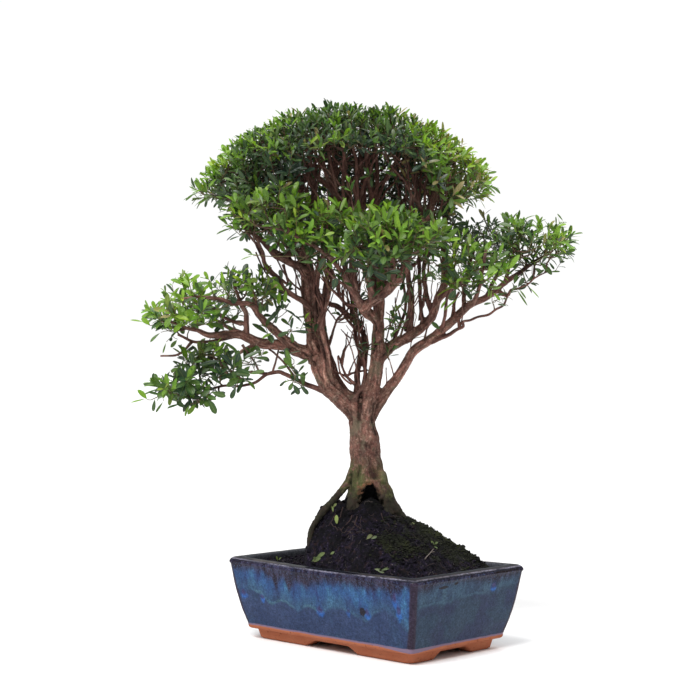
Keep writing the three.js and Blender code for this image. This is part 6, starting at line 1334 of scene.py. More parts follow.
for p, D, N, L_, w_, age, node in traced:
    leaves.setdefault(node, []).append((p, D, N, L_ * 1.04, w_, rng.uniform(0.10, 0.35), rng.uniform(0.0, 0.30), age, rng.uniform(0.3, 0.7), 0.2 * rng.normal(),
                                        float(np.clip(0.2 + 0.9 * age, 0, 1))))
total = 0
for node, rows in leaves.items():
    P, D, N = (np.array([r[k] for r in rows]) for k in range(3))
    length, width, fold, curl, age, rnd, twist, blunt = (np.array([r[k] for r in rows]) for k in range(3, 11))
    v, q, t, dat, acr = leaf_mesh(P, D, N, length, width, fold, curl, age, rnd, twist, blunt)
    make("leaves_" + node.replace("foliage_", ""), v, [q, t], LEAF, attrs={"across": acr}, vattrs={"leafdat": dat},
         replaces=(node,), slot="leaf")
    total += len(rows)
print("leaves", total)
make("twigs", twigs.verts(), twigs.faces(), TWIG, attrs={"young": twigs.attr("young")}, replaces=("trunk_and_branches",), slot="bark")

# ---- pot ---------------------------------------------------------------------------------------
RIM = (150.0, 94.5, 97.6)
BASE = (131.15, 78.55, 17.6)


# the walls bulge a little between rim and foot
BULGE = np.array([[14, 1.6], [17.6, 1.9], [21, 2.3], [26, 2.8], [35, 3.6], [45, 3.7], [56, 3.5], [69, 2.8], [79, 2.3], [90, 2.0], [95, 1.9], [97.6, 1.7]])


def turn_at(z):
    """Radius of the upright edges: tight at the foot, rounder at the rim."""
    return float(3.8 + 2.6 * np.interp(z, [70.0, 96.0], [0.0, 1.0]))



def wall(z):
    k = (z - BASE[2]) / (RIM[2] - BASE[2])
    d = np.interp(z, BULGE[:, 0], BULGE[:, 1])
    return BASE[0] + (RIM[0] - BASE[0]) * k + d, BASE[1] + (RIM[1] - BASE[1]) * k + d


def perimeter(step_):
    """Stations round a rectangle: side index, position along the side from -1 to 1, or the turn of a corner."""
    st = []
    sides = [(0, 150.0), (1, 94.5), (2, 150.0), (3, 94.5)]
    marks = {0: [42.3, 28.0], 1: [33.1, 21.9]}
    for s_, half in sides:
        n_ = int(round(2 * half / step_))
        u = list(np.linspace(-1, 1, n_ + 1))
        ref = FOOT[0] if s_ % 2 == 0 else FOOT[1]
        for m_ in marks[s_ % 2]:
            for sg in (-1, 1):
                x = sg * m_ / (ref - 9.5)
                j = int(np.argmin([abs(w - x) for w in u]))
                u[j] = x
        st += [(s_, w, -1.0) for w in u]
        st += [(s_, 1.0, k / 7.0) for k in range(1, 7)]
    return st


FOOT = (124.2, 71.6)
stations = perimeter(3.3)


def ring(hx, hy, rc, z):
    out = np.zeros((len(stations), 3))
    for i, (s_, w, turn) in enumerate(stations):
        a, b = (hx, hy) if s_ % 2 == 0 else (hy, hx)
        if turn < 0:
            x, y = w * (a - rc), b
        else:
            th = turn * math.pi / 2
            x, y = a - rc + rc * math.sin(th), b - rc + rc * math.cos(th)
        # sides: 0 = front (-Y), 1 = right (+X), 2 = back (+Y), 3 = left (-X)
        if s_ == 0:
            p = (x, -y)
        elif s_ == 1:
            p = (y, x)
        elif s_ == 2:
            p = (-x, y)
        else:
            p = (-y, -x)
        out[i] = (p[0], p[1], z)
    return out


def arch(p):
    """Height to which the foot is cut away at a place."""
    x, y = abs(p[:, 0]), abs(p[:, 1])
    end = x > y + 52.0                                   # on a short side
    lo = np.where(end, (33.1 - y) / (33.1 - 21.9), (42.3 - x) / (42.3 - 28.0))
    k = np.clip(lo, 0, 1)
    return 8.0 * k


rings, tags = [], []


def put_ring(hx, hy, rc, z, tag, foot=False):
    p = ring(hx, hy, rc, z)
    if foot:
        zb = arch(p)
        p[:, 2] = zb + z * (12.0 - zb) / 12.0
    rings.append(p)
    tags.append(tag)


put_ring(100.0, 48.0, 8, 21.4, 2)
put_ring(124.05, 71.3, 8, 21.4, 2)
put_ring(138.4, 83.4, 8, 82.5, 2)
put_ring(137.6, 82.4, 7.5, 87.0, 2)
put_ring(137.0, 81.5, 7, 89.5, 2)
put_ring(136.9, 81.4, 7, 93.0, 2)
put_ring(137.0, 81.5, 7, 95.4, 2)
put_ring(137.5, 82.0, 7, 96.7, 2)
put_ring(138.5, 83.0, 6.6, 97.35, 2)
put_ring(139.4, 83.9, 6.6, 97.55, 0)
put_ring(140.1, 84.6, 6.6, 97.5, 0)
put_ring(140.8, 85.3, 6.5, 97.4, 0)
put_ring(143.4, 87.9, 6.5, 97.2, 0)
put_ring(146.2, 90.7, 6.5, 97.35, 0)
put_ring(147.9, 92.4, 6.5, 97.1, 0)
put_ring(149.4, 93.9, 6.5, 96.3, 0)
put_ring(150.6, 95.1, 6.5, 95.1, 0)
put_ring(151.4, 95.9, 6.5, 93.5, 0)
put_ring(151.7, 96.2, 6.4, 91.6, 0)
for z in np.linspace(89.2, 20.0, 32):
    hx, hy = wall(z)
    put_ring(hx, hy, turn_at(z), z, 0)
put_ring(133.1, 80.5, 3.8, 17.6, 0)
put_ring(133.0, 80.4, 3.8, 16.4, 1)
put_ring(132.8, 80.2, 3.8, 14.8, 1)
put_ring(132.2, 79.6, 3.8, 13.3, 1)
put_ring(131.0, 78.4, 3.8, 12.4, 1)
put_ring(127.4, 74.8, 6.0, 12.0, 1)
for z in (11.4, 9.8, 7.2, 4.4, 2.0):
    k = z / 12.0
    put_ring(123.6 + 2.9 * k, 71.0 + 2.9 * k, 9.5, z, 1, True)
put_ring(122.8, 70.2, 9.5, 0.8, 1, True)
put_ring(121.4, 68.8, 9.0, 0.0, 1, True)
put_ring(112.0, 59.5, 3.6, 0.0, 1, True)
put_ring(106.2, 53.65, 3.0, 0.0, 1, True)
put_ring(105.5, 52.95, 3.0, 0.7, 1, True)
put_ring(105.4, 52.85, 3.0, 6.5, 1, True)
put_ring(105.2, 52.65, 3.0, 11.3, 1, True)
put_ring(104.2, 51.65, 2.4, 12.0, 1)
put_ring(92.0, 40.0, 2.0, 12.0, 1)
m, ns_ = len(rings), len(stations)
pv = np.vstack(rings)
zone = np.repeat([1.0 if t_ == 1 else 0.0 for t_ in tags], ns_)
i = np.arange(m - 1)[:, None] * ns_
j = np.arange(ns_)[None]
k = (j + 1) % ns_
pq = np.stack([i + j, i + k, i + ns_ + k, i + ns_ + j], -1).reshape(-1, 4)[:, ::-1]
# the two flat middles: a fan from the centre
c_in, c_un = len(pv), len(pv) + 1
pv = np.vstack([pv, [0, 0, 21.4], [0, 0, 12.0]])
zone = np.concatenate([zone, [0.0, 1.0]])
jj, kk_ = np.arange(ns_), (np.arange(ns_) + 1) % ns_
pt = np.vstack([np.stack([np.full(ns_, c_in), kk_, jj], -1)[:, ::-1], np.stack([np.full(ns_, c_un), (m - 1) * ns_ + jj, (m - 1) * ns_ + kk_], -1)[:, ::-1]])
# hand-made clay: the long rims sag a little in the middle and the walls are not quite flat
hgt = smooth(pv[:, 2], 30.0, 97.0)
sag = np.cos(np.clip(pv[:, 0] / 150.0, -1, 1) * math.pi / 2) ** 1.5
pv[:, 2] -= 2.0 * sag * hgt * (np.abs(pv[:, 1]) > 60)
wv = fbm(pv / 46.0, 2, 113)
outw = np.stack([np.sign(pv[:, 0]) * smooth(np.abs(pv[:, 0]), 100, 135), np.sign(pv[:, 1]) * smooth(np.abs(pv[:, 1]), 45, 75), np.zeros(len(pv))], -1)
pv += outw * (0.55 * wv * smooth(pv[:, 2], 14.0, 40.0))[:, None]
pv[:, 2] += 0.22 * pnoise(pv / 19.0, 127) * smooth(pv[:, 2], 60, 96)

# glaze: how far below the rim each place is, and how far it is below the lines where the glaze changes
Z_RIM = 97.6
below = Z_RIM - 2.0 * sag * hgt * (np.abs(pv[:, 1]) > 60) * 0.0 - pv[:, 2]
L_DARK = [(-148.6, 13), (-138.6, 15.4), (-124.7, 14.6), (-107.5, 13.4), (-90.7, 13.6), (-82.9, 20.3), (-74.2, 21.7), (-72, 35), (-64, 20.7),
          (-55.3, 18.7), (-49, 35.4), (-39.4, 20.6), (-33, 21.1), (-18.2, 27.2), (-10.3, 20), (-0.8, 20.2), (12.9, 14.3), (25, 16.4),
          (37.3, 16.3), (52.6, 16.3), (67.4, 17.7), (82.4, 17.7), (97.3, 16.8), (112, 16.4), (116.9, 28.9), (125.2, 15), (138.9, 10.3), (150, 9)]
L_WAVE = [(-150, 35), (-131, 40.4), (-112.9, 36.9), (-96.7, 40.4), (-86.9, 50), (-80.5, 51.6), (-73.1, 48.2), (-64.3, 45.9), (-54.7, 46.9),
          (-45.8, 51.7), (-38.3, 54.6), (-29.4, 50.8), (-22.2, 46.8), (-9.7, 48.2), (-1.2, 53.6), (12.7, 46.6), (32.1, 43.1), (46.7, 46.6),
          (61.1, 51), (72.3, 54.8), (83.4, 43.6), (102.2, 37.5), (113.3, 40.6), (120.8, 46.9), (128, 56), (140, 62)]
R_DARK = [(-89.5, 12), (-80, 15), (-70, 14.5), (-58, 10.5), (-51.5, 9.4), (-25.5, 8.8), (-8.6, 9.9), (15.8, 10.6), (34, 13.6), (45.4, 16.8), (58.6, 14.2), (72.1, 12), (86.2, 11), (95.8, 8)]
R_WAVE = [(-94, 35), (-82.2, 32.2), (-61.9, 30.5), (-45.6, 31.3), (-29.3, 30.9), (-20.5, 27), (-3.5, 28.2), (13, 26.7), (30.3, 27.4), (47.9, 28.2), (60.6, 23.6), (74.4, 22.5), (88.2, 20.5), (96.8, 19.1)]


def line(tab, x, sharp=0.0):
    t_ = np.array(tab)
    return np.interp(x, t_[:, 0], t_[:, 1])


def wild(x, seed, lo, amp, size):
    """The same kind of line for the sides that are not seen in the photograph."""
    return lo + amp * fbm(np.stack([x / size, np.full_like(x, seed), np.zeros_like(x)], -1), 3, seed)


X, Y = pv[:, 0], pv[:, 1]
front = (-Y * 150 > np.abs(X) * 94.5 - 0)
right_ = (X * 94.5 > np.abs(Y) * 150)
back = (Y * 150 > np.abs(X) * 94.5)
dark_l = np.where(front, line(L_DARK, X), np.where(right_, line(R_DARK, Y), np.where(back, wild(X, 5, 17, 9, 17.0), wild(Y, 9, 14, 8, 15.0))))
wave_l = np.where(front, line(L_WAVE, X), np.where(right_, line(R_WAVE, Y), np.where(back, wild(X, 15, 46, 13, 26.0), wild(Y, 19, 36, 10, 24.0))))
# distance from the nearest upright edge, where the glaze has run thin and shows brown
hx_, hy_ = wall(np.clip(pv[:, 2], 14, 98))
edge_d = np.minimum(np.abs(hx_ - np.abs(X)) + np.abs(hy_ - np.abs(Y)), 60.0)
# drops and spots: side, place along it, depth below the rim, half width, half height
SPOTS = [(0, -128, 42, 5, 6), (0, -0.4, 49, 4.5, 6.5), (0, 75, 44, 4, 6), (0, 123.5, 37, 3.6, 9), (0, 120, 24, 3.4, 9), (0, 45, 46, 3, 5), (0, -96, 44, 3, 5),
         (1, 43, 20, 4, 5), (2, -60, 48, 5, 7), (2, 30, 42, 4, 6), (2, 96, 50, 4, 7), (3, -30, 40, 4, 6), (3, 45, 44, 4, 5)]
side_i = np.where(front, 0, np.where(right_, 1, np.where(back, 2, 3)))
pos_i = np.where((side_i == 0) | (side_i == 2), X, Y)
spot, spot_low = np.full(len(pv), 3.0), np.zeros(len(pv))
for s_, u_, v_, a_, b_ in SPOTS:
    dd = np.hypot((pos_i - u_) / a_, (below - v_) / b_)
    near_ = (side_i == s_) & (dd < spot)
    spot_low = np.where(near_, smooth(below - v_, -1.0, b_), spot_low)
    spot = np.where(near_, dd, spot)
iron = np.where(side_i == 0, np.hypot((pos_i - 68.0) / 4.9, (below - 43.4) / 5.4), 3.0)
iron = np.minimum(iron, np.where(side_i == 2, np.hypot((pos_i + 20) / 2.8, (below - 36) / 4), 3.0))
# chips and thick black runs along the lower end of the glaze and under the rim
for s_, u_, v_, a_, b_ in ((0, -112, 79.5, 10, 1.7), (0, 71, 80.3, 5, 1.2), (0, 86, 80.6, 5, 1.1), (0, -129, 82.0, 5, 1.6), (1, -45, 13.0, 9, 2.0), (1, -24, 10.5, 4, 2.0), (1, 62, 4.6, 30, 1.6), (2, 60, 80, 8, 1.5), (3, 20, 80, 6, 1.4)):
    iron = np.minimum(iron, np.where(side_i == s_, np.hypot((pos_i - u_) / a_, (below - v_) / b_), 3.0))
corner_d = np.hypot(X - 133.0, Y + 80.5)
ring_i = np.concatenate([np.repeat(np.arange(m), ns_), [0, m - 1]])
# painted highlights on the rim: ring 15 along its outer edge, where the glaze is also worn, and ring 10 along its inner
# edge
rim_wear_and_glint = (np.abs(ring_i - 15) < 0.5) * 1.0
inner_rim_glint = (np.abs(ring_i - 10) < 0.5) * 1.0
inside = np.concatenate([np.repeat([1.0 if t_ == 2 else 0.0 for t_ in tags], ns_), [1.0, 0.0]])


def pot_material():
    m = Nodes("pot_glaze")
    obj = m.coords()
    zone_ = m.attr("zone")
    deep_ = m.attr("below")
    d_dark, d_wave = m.attr("d_dark"), m.attr("d_wave")
    edge_ = m.attr("edge_d")
    spot_, iron_, in_ = m.attr("spot"), m.attr("iron"), m.attr("inside")
    # streaks run down the wall
    run = m.noise(m.mapping(obj, (210.0, 210.0, 30.0)), 1.0, 5.0, 0.62, 0.25)
    run2 = m.noise(m.mapping(obj, (75.0, 75.0, 24.0), (3, 5, 7)), 1.0, 4.0, 0.6, 0.4)
    mott = m.noise(obj, 520.0, 3.0, 0.65)
    grain = m.noise(obj, 1100.0, 2.0, 0.6)
    speck = m.voronoi(obj, 800.0)
    cloud = m.noise(obj, 30.0, 3.0, 0.55)
    lump = m.noise(obj, 90.0, 3.0, 0.6)
    jit = m.math("ADD", m.math("MULTIPLY", m.math("SUBTRACT", run, 0.5), 9.0), m.math("MULTIPLY", m.math("SUBTRACT", run2, 0.5), 11.0))
    side_x = m.sep(obj)[0]
    dd = m.math("ADD", d_dark, jit)
    dw = m.math("ADD", d_wave, m.math("ADD", m.math("MULTIPLY", m.math("SUBTRACT", mott, 0.5), 5.0), m.math("MULTIPLY", m.math("SUBTRACT", lump, 0.5), 7.0)))
    # the blue band, greener towards the foot of it
    blue = m.ramp(run2, [(0.30, (0.017, 0.025, 0.085)), (0.42, (0.022, 0.044, 0.125)), (0.56, (0.026, 0.070, 0.175)), (0.70, (0.040, 0.115, 0.215))])
    teal = m.mix(m.range(run2, 0.3, 0.7), (0.024, 0.046, 0.088), (0.042, 0.088, 0.135))
    band = m.mix(m.range(d_wave, -22.0, -2.0, 0.0, 0.65), blue, teal)
    right_face = m.attr("teal_side")
    band = m.mix(m.math("MULTIPLY", right_face, 0.85), band, m.mix(m.range(run2, 0.32, 0.68), (0.026, 0.046, 0.082), (0.044, 0.082, 0.120)))
    slate = m.mix(m.range(cloud, 0.35, 0.65), (0.022, 0.036, 0.085), (0.030, 0.046, 0.102))
    slate = m.mix(m.math("MULTIPLY", m.range(run2, 0.48, 0.70), 0.45), slate, (0.030, 0.060, 0.112))
    slate = m.mix(m.math("MULTIPLY", right_face, 0.7), slate, m.mix(m.range(cloud, 0.40, 0.60), (0.024, 0.030, 0.062), (0.024, 0.044, 0.064)))
    soft_ = m.math("MAXIMUM", m.attr("teal_side"), m.range(side_x, 0.035, 0.065))
    cross = m.mix(soft_, m.comb(m.range(dw, -2.4, 2.4), 0.0, 0.0), m.comb(m.range(dw, -5.5, 4.5), 0.0, 0.0))
    col = m.mix(m.sep(cross)[0], band, slate)
    lip = m.math("MULTIPLY", m.range(m.math("ABSOLUTE", m.math("ADD", dw, 0.9)), 2.6, 0.4), m.range(m.noise(obj, 26.0, 2.0, 0.5), 0.42, 0.60, 0.0, 0.62))
    lip = m.math("MULTIPLY", lip, m.math("SUBTRACT", 1.0, m.math("MULTIPLY", soft_, 0.45)))
    col = m.mix(lip, col, (0.055, 0.120, 0.165))
    purple = m.mix(m.range(run, 0.40, 0.66), (0.012, 0.008, 0.015), (0.041, 0.034, 0.060))
    purple = m.mix(m.range(mott, 0.52, 0.66, 0.0, 0.6), purple, (0.036, 0.058, 0.120))
    col = m.mix(m.math("MULTIPLY", m.range(dd, 6.6, -6.4), m.range(run2, 0.2, 0.55, 0.72, 1.0)), col, purple)
    # drops: a violet smudge with bright blue below it that runs down
    spz = m.math("ADD", spot_, m.math("ADD", m.math("MULTIPLY", m.math("SUBTRACT", lump, 0.5), 1.5), m.math("MULTIPLY", m.math("SUBTRACT", run, 0.5), 1.2)))
    low_ = m.attr("spot_low")
    halo = m.math("MULTIPLY", m.range(spz, 1.75, 0.7), m.math("ADD", m.math("MULTIPLY", low_, 0.75), 0.12))
    col = m.mix(halo, col, (0.026, 0.115, 0.400))
    col = m.mix(m.math("MULTIPLY", m.range(spz, 1.05, 0.45), m.math("SUBTRACT", 0.70, m.math("MULTIPLY", low_, 0.55))), col, (0.042, 0.028, 0.085))
    col = m.mix(m.range(m.math("ADD", iron_, m.math("MULTIPLY", m.math("SUBTRACT", mott, 0.5), 0.6)), 1.1, 0.8, 0.0, 0.9), col, (0.014, 0.010, 0.011))
    # brown where it has thinned over the edges, and dark inside
    thin_ = m.math("ADD", edge_, m.math("MULTIPLY", m.math("SUBTRACT", run2, 0.5), 5.0))
    col = m.mix(m.math("MULTIPLY", m.range(thin_, 7.6, 4.4), 0.95), col, m.mix(run, (0.020, 0.013, 0.023), (0.036, 0.025, 0.042)))
    # the rim: near black with a worn brown line along its outer edge
    col = m.mix(m.range(deep_, 4.2, 2.2), col, (0.008, 0.0085, 0.014))
    col = m.mix(m.math("MULTIPLY", m.range(m.math("ABSOLUTE", m.math("SUBTRACT", deep_, 1.2)), 0.9, 0.2), m.range(lump, 0.35, 0.55)), col, (0.085, 0.072, 0.070))
    col = m.mix(in_, col, (0.056, 0.058, 0.068))
    # fine speckle all over
    col = m.mix(m.math("MULTIPLY", m.range(speck, 0.26, 0.10), 0.30), col, (0.095, 0.130, 0.170))
    col = m.mix(m.math("MULTIPLY", m.range(grain, 0.62, 0.74), 0.50), col, (0.012, 0.015, 0.028))
    mm_ = m.math("MULTIPLY", m.range(mott, 0.30, 0.70, 0.58, 1.48, "LINEAR"), m.range(m.noise(obj, 210.0, 3.0, 0.6), 0.3, 0.7, 0.80, 1.22, "LINEAR"))
    col = m.mix(1.0, col, m.comb(mm_, mm_, mm_), "MULTIPLY")
    col = m.mix(m.math("MULTIPLY", m.math("MULTIPLY", m.range(deep_, 3.4, 1.6), m.math("SUBTRACT", 1.0, in_)), 0.40), col, (0.006, 0.005, 0.008))
    # the end of the glaze: a thin pale violet line, then bare clay
    z = m.sep(obj)[2]
    wob_ = m.math("MULTIPLY", m.math("SUBTRACT", m.noise(obj, 60.0, 3.0, 0.6), 0.5), 0.0022)
    gz = m.math("ADD", z, wob_)
    lav = m.math("MULTIPLY", m.attr("near_corner"), 0.0030)
    col = m.mix(m.math("MULTIPLY", m.range(gz, 0.0192, 0.0178), 0.8), col, (0.220, 0.150, 0.215))
    bare = m.range(m.math("ADD", gz, lav), 0.0168, 0.0162)
    bare = m.math("MAXIMUM", bare, m.math("MULTIPLY", zone_, m.range(m.math("ADD", gz, lav), 0.0172, 0.0160)))
    grit = m.voronoi(obj, 300.0)
    clay = m.mix(m.noise(obj, 55.0, 3.0, 0.6), (0.300, 0.088, 0.042), (0.405, 0.148, 0.080))
    clay = m.mix(m.math("MULTIPLY", m.range(m.noise(obj, 240.0, 2.0, 0.6), 0.62, 0.72), 0.8), clay, (0.16, 0.045, 0.020))
    clay = m.mix(m.range(grit, 0.10, 0.05), clay, (0.06, 0.028, 0.02))
    col = m.mix(bare, col, clay)
    hgt_ = m.math("ADD", m.math("MULTIPLY", run, 0.5), m.math("MULTIPLY", cloud, 0.8))
    # a pale line along the outer edge of the rim, worn glaze and painted highlight together, and a painted highlight
    # along its inner edge
    crack = m.range(m.noise(m.mapping(obj, (260.0, 260.0, 600.0)), 1.0, 3.0, 0.65), 0.40, 0.58, 0.15, 1.0)
    col = m.mix(m.math("MULTIPLY", m.math("MULTIPLY", m.attr("rim_wear_and_glint"), crack), m.range(m.noise(obj, 14.0, 2.0), 0.36, 0.52, 0.35, 1.0)), col, (0.22, 0.21, 0.28))
    col = m.mix(m.math("MULTIPLY", m.attr("inner_rim_glint"), 0.75), col, (0.075, 0.092, 0.105))
    rim_r = m.range(deep_, 3.0, 0.6, 0.15, 0.42)
    rough = m.mix(bare, m.comb(rim_r, rim_r, rim_r), m.comb(0.82, 0.82, 0.82))
    nrm = m.bump(m.math("ADD", hgt_, m.math("MULTIPLY", m.noise(obj, 900.0, 2.0), m.math("MULTIPLY", bare, 0.6))), 0.14, 0.0012)
    sh = m.principled(col, m.sep(rough)[0], nrm)
    sh.inputs["IOR"].default_value = 1.45
    sh.inputs["Specular IOR Level"].default_value = 0.09
    return m.done(sh.outputs[0])


POT = pot_material()
pot = make("pot_body", pv, [pq, pt], POT,
           attrs={"zone": zone, "below": below, "d_dark": below - dark_l, "d_wave": below - wave_l, "edge_d": edge_d,
                  "spot": spot, "spot_low": spot_low, "rim_wear_and_glint": rim_wear_and_glint, "inner_rim_glint": inner_rim_glint, "near_corner": np.exp(-(corner_d / 34.0) ** 2), "iron": iron, "inside": inside, "teal_side": np.where((side_i == 1) | (side_i == 3), 1.0, 0.0)},
           replaces=("pot",), slot="pot_glaze")
cut_v = Gather()
for sx in (-62.0, 62.0):
    pts = np.array([[sx, 0, 5.0], [sx, 0, 30.0]])
    v, q, t = tube(pts, np.array([11.0, 11.0]), np.array([[1.0, 0, 0]] * 2), np.array([[0, 1.0, 0]] * 2), 40)
    cut_v.add(v, q, t)
cutter = make("cutter", cut_v.verts(), cut_v.faces(), None)
bo = pot.modifiers.new("holes", "BOOLEAN")
bo.operation, bo.object, bo.solver = "DIFFERENCE", cutter, "EXACT"
apply_all(pot)
bpy.data.objects.remove(cutter, do_unlink=True)
pot.data.polygons.foreach_set("use_smooth", np.ones(len(pot.data.polygons), bool))
# the sharp lines of the ledge and foot stay crisp
pot.data.set_sharp_from_angle(angle=math.radians(38))

# ---- soil --------------------------------------------------------------------------------------
REACH = np.array([145, 125, 108, 86, 80, 82, 90, 90], float)
STEEP = np.array([1.15, 1.2, 1.35, 1.9, 6.0, 3.0, 1.7, 1.4])


def cyc(tab, th):
    f = np.mod(th, 2 * math.pi) / (math.pi / 4)
    i_ = np.floor(f).astype(int) % 8
    k_ = f - np.floor(f)
    k_ = k_ * k_ * (3 - 2 * k_)
    return tab[i_] * (1 - k_) + tab[(i_ + 1) % 8] * k_


def soil_height(X, Y):
    """The bed and the heap under the trunk, before its crumbs."""
    P = np.stack([X, Y, np.zeros_like(X)], -1)
    r_, t_ = P @ RV + 3.0, P @ BV
    th = np.arctan2(t_, r_)
    s_ = np.hypot(r_, t_) / cyc(REACH, th)
    z = 91.0 + 76.0 * (1 - np.minimum(s_, 1.0) ** cyc(STEEP, th))
    zx = 90.5 + (136.7 - np.abs(X)) * (172 - 90.5) / (136.7 - 75)
    zy = 90.5 + (81.2 - np.abs(Y)) * (172 - 90.5) / (81.2 - 35)
    z = np.maximum(91.0, np.minimum(np.minimum(z, zx), zy))
    # earth heaped between the legs of the trunk, and against the root at the left
    r0 = r_ - 3.0
    z = z + 9.5 * np.exp(-((r0 - 0.5) / 15.0) ** 2 - ((t_ - 19.0) / 14.0) ** 2)
    return z + 4.0 * np.exp(-((r0 + 62.0) / 15.0) ** 2 - ((t_ - 6.0) / 30.0) ** 2) * smooth(z, 93, 125)


def soil_top(X, Y):
    P = np.stack([X, Y, np.zeros_like(X)], -1)
    z = soil_height(X, Y)
    h = z - 91.0
    z = z + (1.3 + 1.2 * smooth(h, 3, 25)) * fbm(P / 13.0, 3, 201) + (1.0 + 1.3 * smooth(h, 3, 25)) * fbm(P / 5.4, 2, 211) + 1.1 * np.maximum(0, pnoise(P / 2.6, 223))
    wallg = np.minimum(136.8 - np.abs(X), 81.3 - np.abs(Y))
    return z - 2.2 * smooth(-wallg, -7.0, 0.0)


def soil_normal(X, Y, f=soil_height, h=1.5):
    gx = (f(X + h, Y) - f(X - h, Y)) / (2 * h)
    gy = (f(X, Y + h) - f(X, Y - h)) / (2 * h)
    return unit(np.stack([-gx, -gy, np.ones_like(gx)], -1))


def moss_mask(X, Y):
    P = np.stack([X, Y, np.zeros_like(X)], -1)
    r_, t_ = P @ RV, P @ BV
    e1 = np.hypot((r_ - 84) / 86, (t_ - 20) / 64)
    e2 = np.hypot((r_ - 26) / 38, (t_ - 70) / 26)
    w = 0.40 * fbm(P / 15.0, 3, 241)
    return np.clip(np.maximum(1.05 - e1, 0.9 - e2) * 1.1 + w * 1.5, 0, 1)


nx, ny = 210, 124
gx, gy = np.meshgrid(np.linspace(-136.6, 136.6, nx), np.linspace(-81.1, 81.1, ny), indexing="ij")
gx, gy = gx.ravel(), gy.ravel()
# the corners of the bed are round
cx_, cy_ = np.abs(gx) - 129.6, np.abs(gy) - 74.1
m_ = np.maximum(np.maximum(cx_, cy_), 1e-9)
q_ = np.hypot(np.maximum(cx_, 0), np.maximum(cy_, 0))
corner = (cx_ > 0) & (cy_ > 0)
f_ = np.where(corner, m_ / np.maximum(q_, 1e-9), 1.0)
gx = np.where(corner, np.sign(gx) * (129.6 + cx_ * f_), gx)
gy = np.where(corner, np.sign(gy) * (74.1 + cy_ * f_), gy)
gz = soil_top(gx, gy)
sv = np.stack([gx, gy, gz], -1)
ii, jj = np.meshgrid(np.arange(nx - 1), np.arange(ny - 1), indexing="ij")
ii, jj = ii.ravel(), jj.ravel()
sq = np.stack([ii * ny + jj, (ii + 1) * ny + jj, (ii + 1) * ny + jj + 1, ii * ny + jj + 1], -1)
rimi = np.concatenate([np.arange(nx) * ny, (nx - 1) * ny + np.arange(1, ny), (np.arange(nx - 2, -1, -1)) * ny + ny - 1, np.arange(ny - 2, 0, -1)])
n0 = len(sv)
low_ring = sv[rimi].copy()
low_ring[:, :2] *= np.array([124.0 / 136.6, 70.5 / 81.1])
low_ring[:, 2] = 24.0
sv = np.vstack([sv, low_ring, [0, 0, 24.0]])
nr = len(rimi)
a_ = np.arange(nr)
b_ = (a_ + 1) % nr
skirt = np.stack([rimi[a_], n0 + a_, n0 + b_, rimi[b_]], -1)
fan = np.stack([np.full(nr, n0 + nr), n0 + b_, n0 + a_], -1)


def soil_hit(px, py):
    """Where a pixel of the photograph looks at the soil, seen from the camera."""
    for t in np.arange(112.0, -70.0, -0.8):
        p = at(px, py, t)
        if p[2] <= float(soil_top(np.array([p[0]]), np.array([p[1]]))[0]):
            return p
    return at(px, py, 0.0)


def soil_material():
    m = Nodes("soil")
    obj = m.coords()
    moss_ = m.attr("moss")
    n1 = m.noise(obj, 300.0, 5.0, 0.72, 0.3)
    n2 = m.noise(obj, 62.0, 3.0, 0.6)
    n3 = m.noise(obj, 130.0, 4.0, 0.62)
    col = m.ramp(n1, [(0.37, (0.0005, 0.0003, 0.0012)), (0.49, (0.0021, 0.0013, 0.0048)), (0.58, (0.0072, 0.0046, 0.0135)), (0.67, (0.0240, 0.0165, 0.0330)), (0.76, (0.0900, 0.0700, 0.0960))])
    col = m.mix(m.range(n3, 0.55, 0.66, 0.0, 0.50), col, m.mix(n1, (0.006, 0.003, 0.003), (0.040, 0.020, 0.017)))
    col = m.mix(m.range(m.noise(obj, 560.0, 2.0), 0.67, 0.73, 0.0, 0.6), col, (0.140, 0.125, 0.125))
    green = m.ramp(n1, [(0.34, (0.0016, 0.0018, 0.0016)), (0.49, (0.0070, 0.0080, 0.0050)), (0.62, (0.0240, 0.0270, 0.0140)), (0.74, (0.0700, 0.0760, 0.0380))])
    k_ = m.math("MULTIPLY", m.range(m.math("ADD", moss_, m.math("MULTIPLY", m.math("SUBTRACT", n2, 0.5), 1.9)), 0.20, 1.05), 0.85)
    col = m.mix(k_, col, green)
    # painted shade and light: random patches a centimetre wide painted darker and paler, as hollows and lumps, and
    # painted shade under the trunk
    tone = m.math("MULTIPLY", m.range(n2, 0.34, 0.66, 0.45, 1.60), m.range(m.attr("shade"), 0.0, 1.0, 1.0, 0.12, "LINEAR"))
    col = m.mix(1.0, col, m.comb(tone, tone, tone), "MULTIPLY")
    h_ = m.math("ADD", m.math("MULTIPLY", n1, 1.0), m.math("MULTIPLY", n3, 0.8))
    sh = m.principled(col, 0.95, m.bump(h_, 1.0, 0.0022))
    sh.inputs["Specular IOR Level"].default_value = 0.2
    return m.done(sh.outputs[0])


def shade_mask(X, Y):
    P = np.stack([X, Y, np.zeros_like(X)], -1)
    r_, t_ = P @ RV, P @ BV
    a = np.exp(-((r_ + 3.0) / 14.0) ** 2 - ((t_ - 22.0) / 15.0) ** 2)
    a = np.maximum(a, np.exp(-((r_ + 2.0) / 15.0) ** 2 - ((t_ - 6.0) / 18.0) ** 2))
    b = 0.7 * np.exp(-((r_ + 32.0) / 17.0) ** 2 - ((t_ - 22.0) / 22.0) ** 2)
    return np.clip(1.15 * np.maximum(a, b) + 0.25 * fbm(P / 7.0, 2, 251), 0, 1)


SOIL = soil_material()
make("soil_bed", sv, [sq, skirt, fan], SOIL, attrs={"moss": np.concatenate([moss_mask(gx, gy), np.zeros(nr + 1)]), "shade": np.concatenate([shade_mask(gx, gy), np.zeros(nr + 1)])},
     replaces=("soil",), slot="soil")

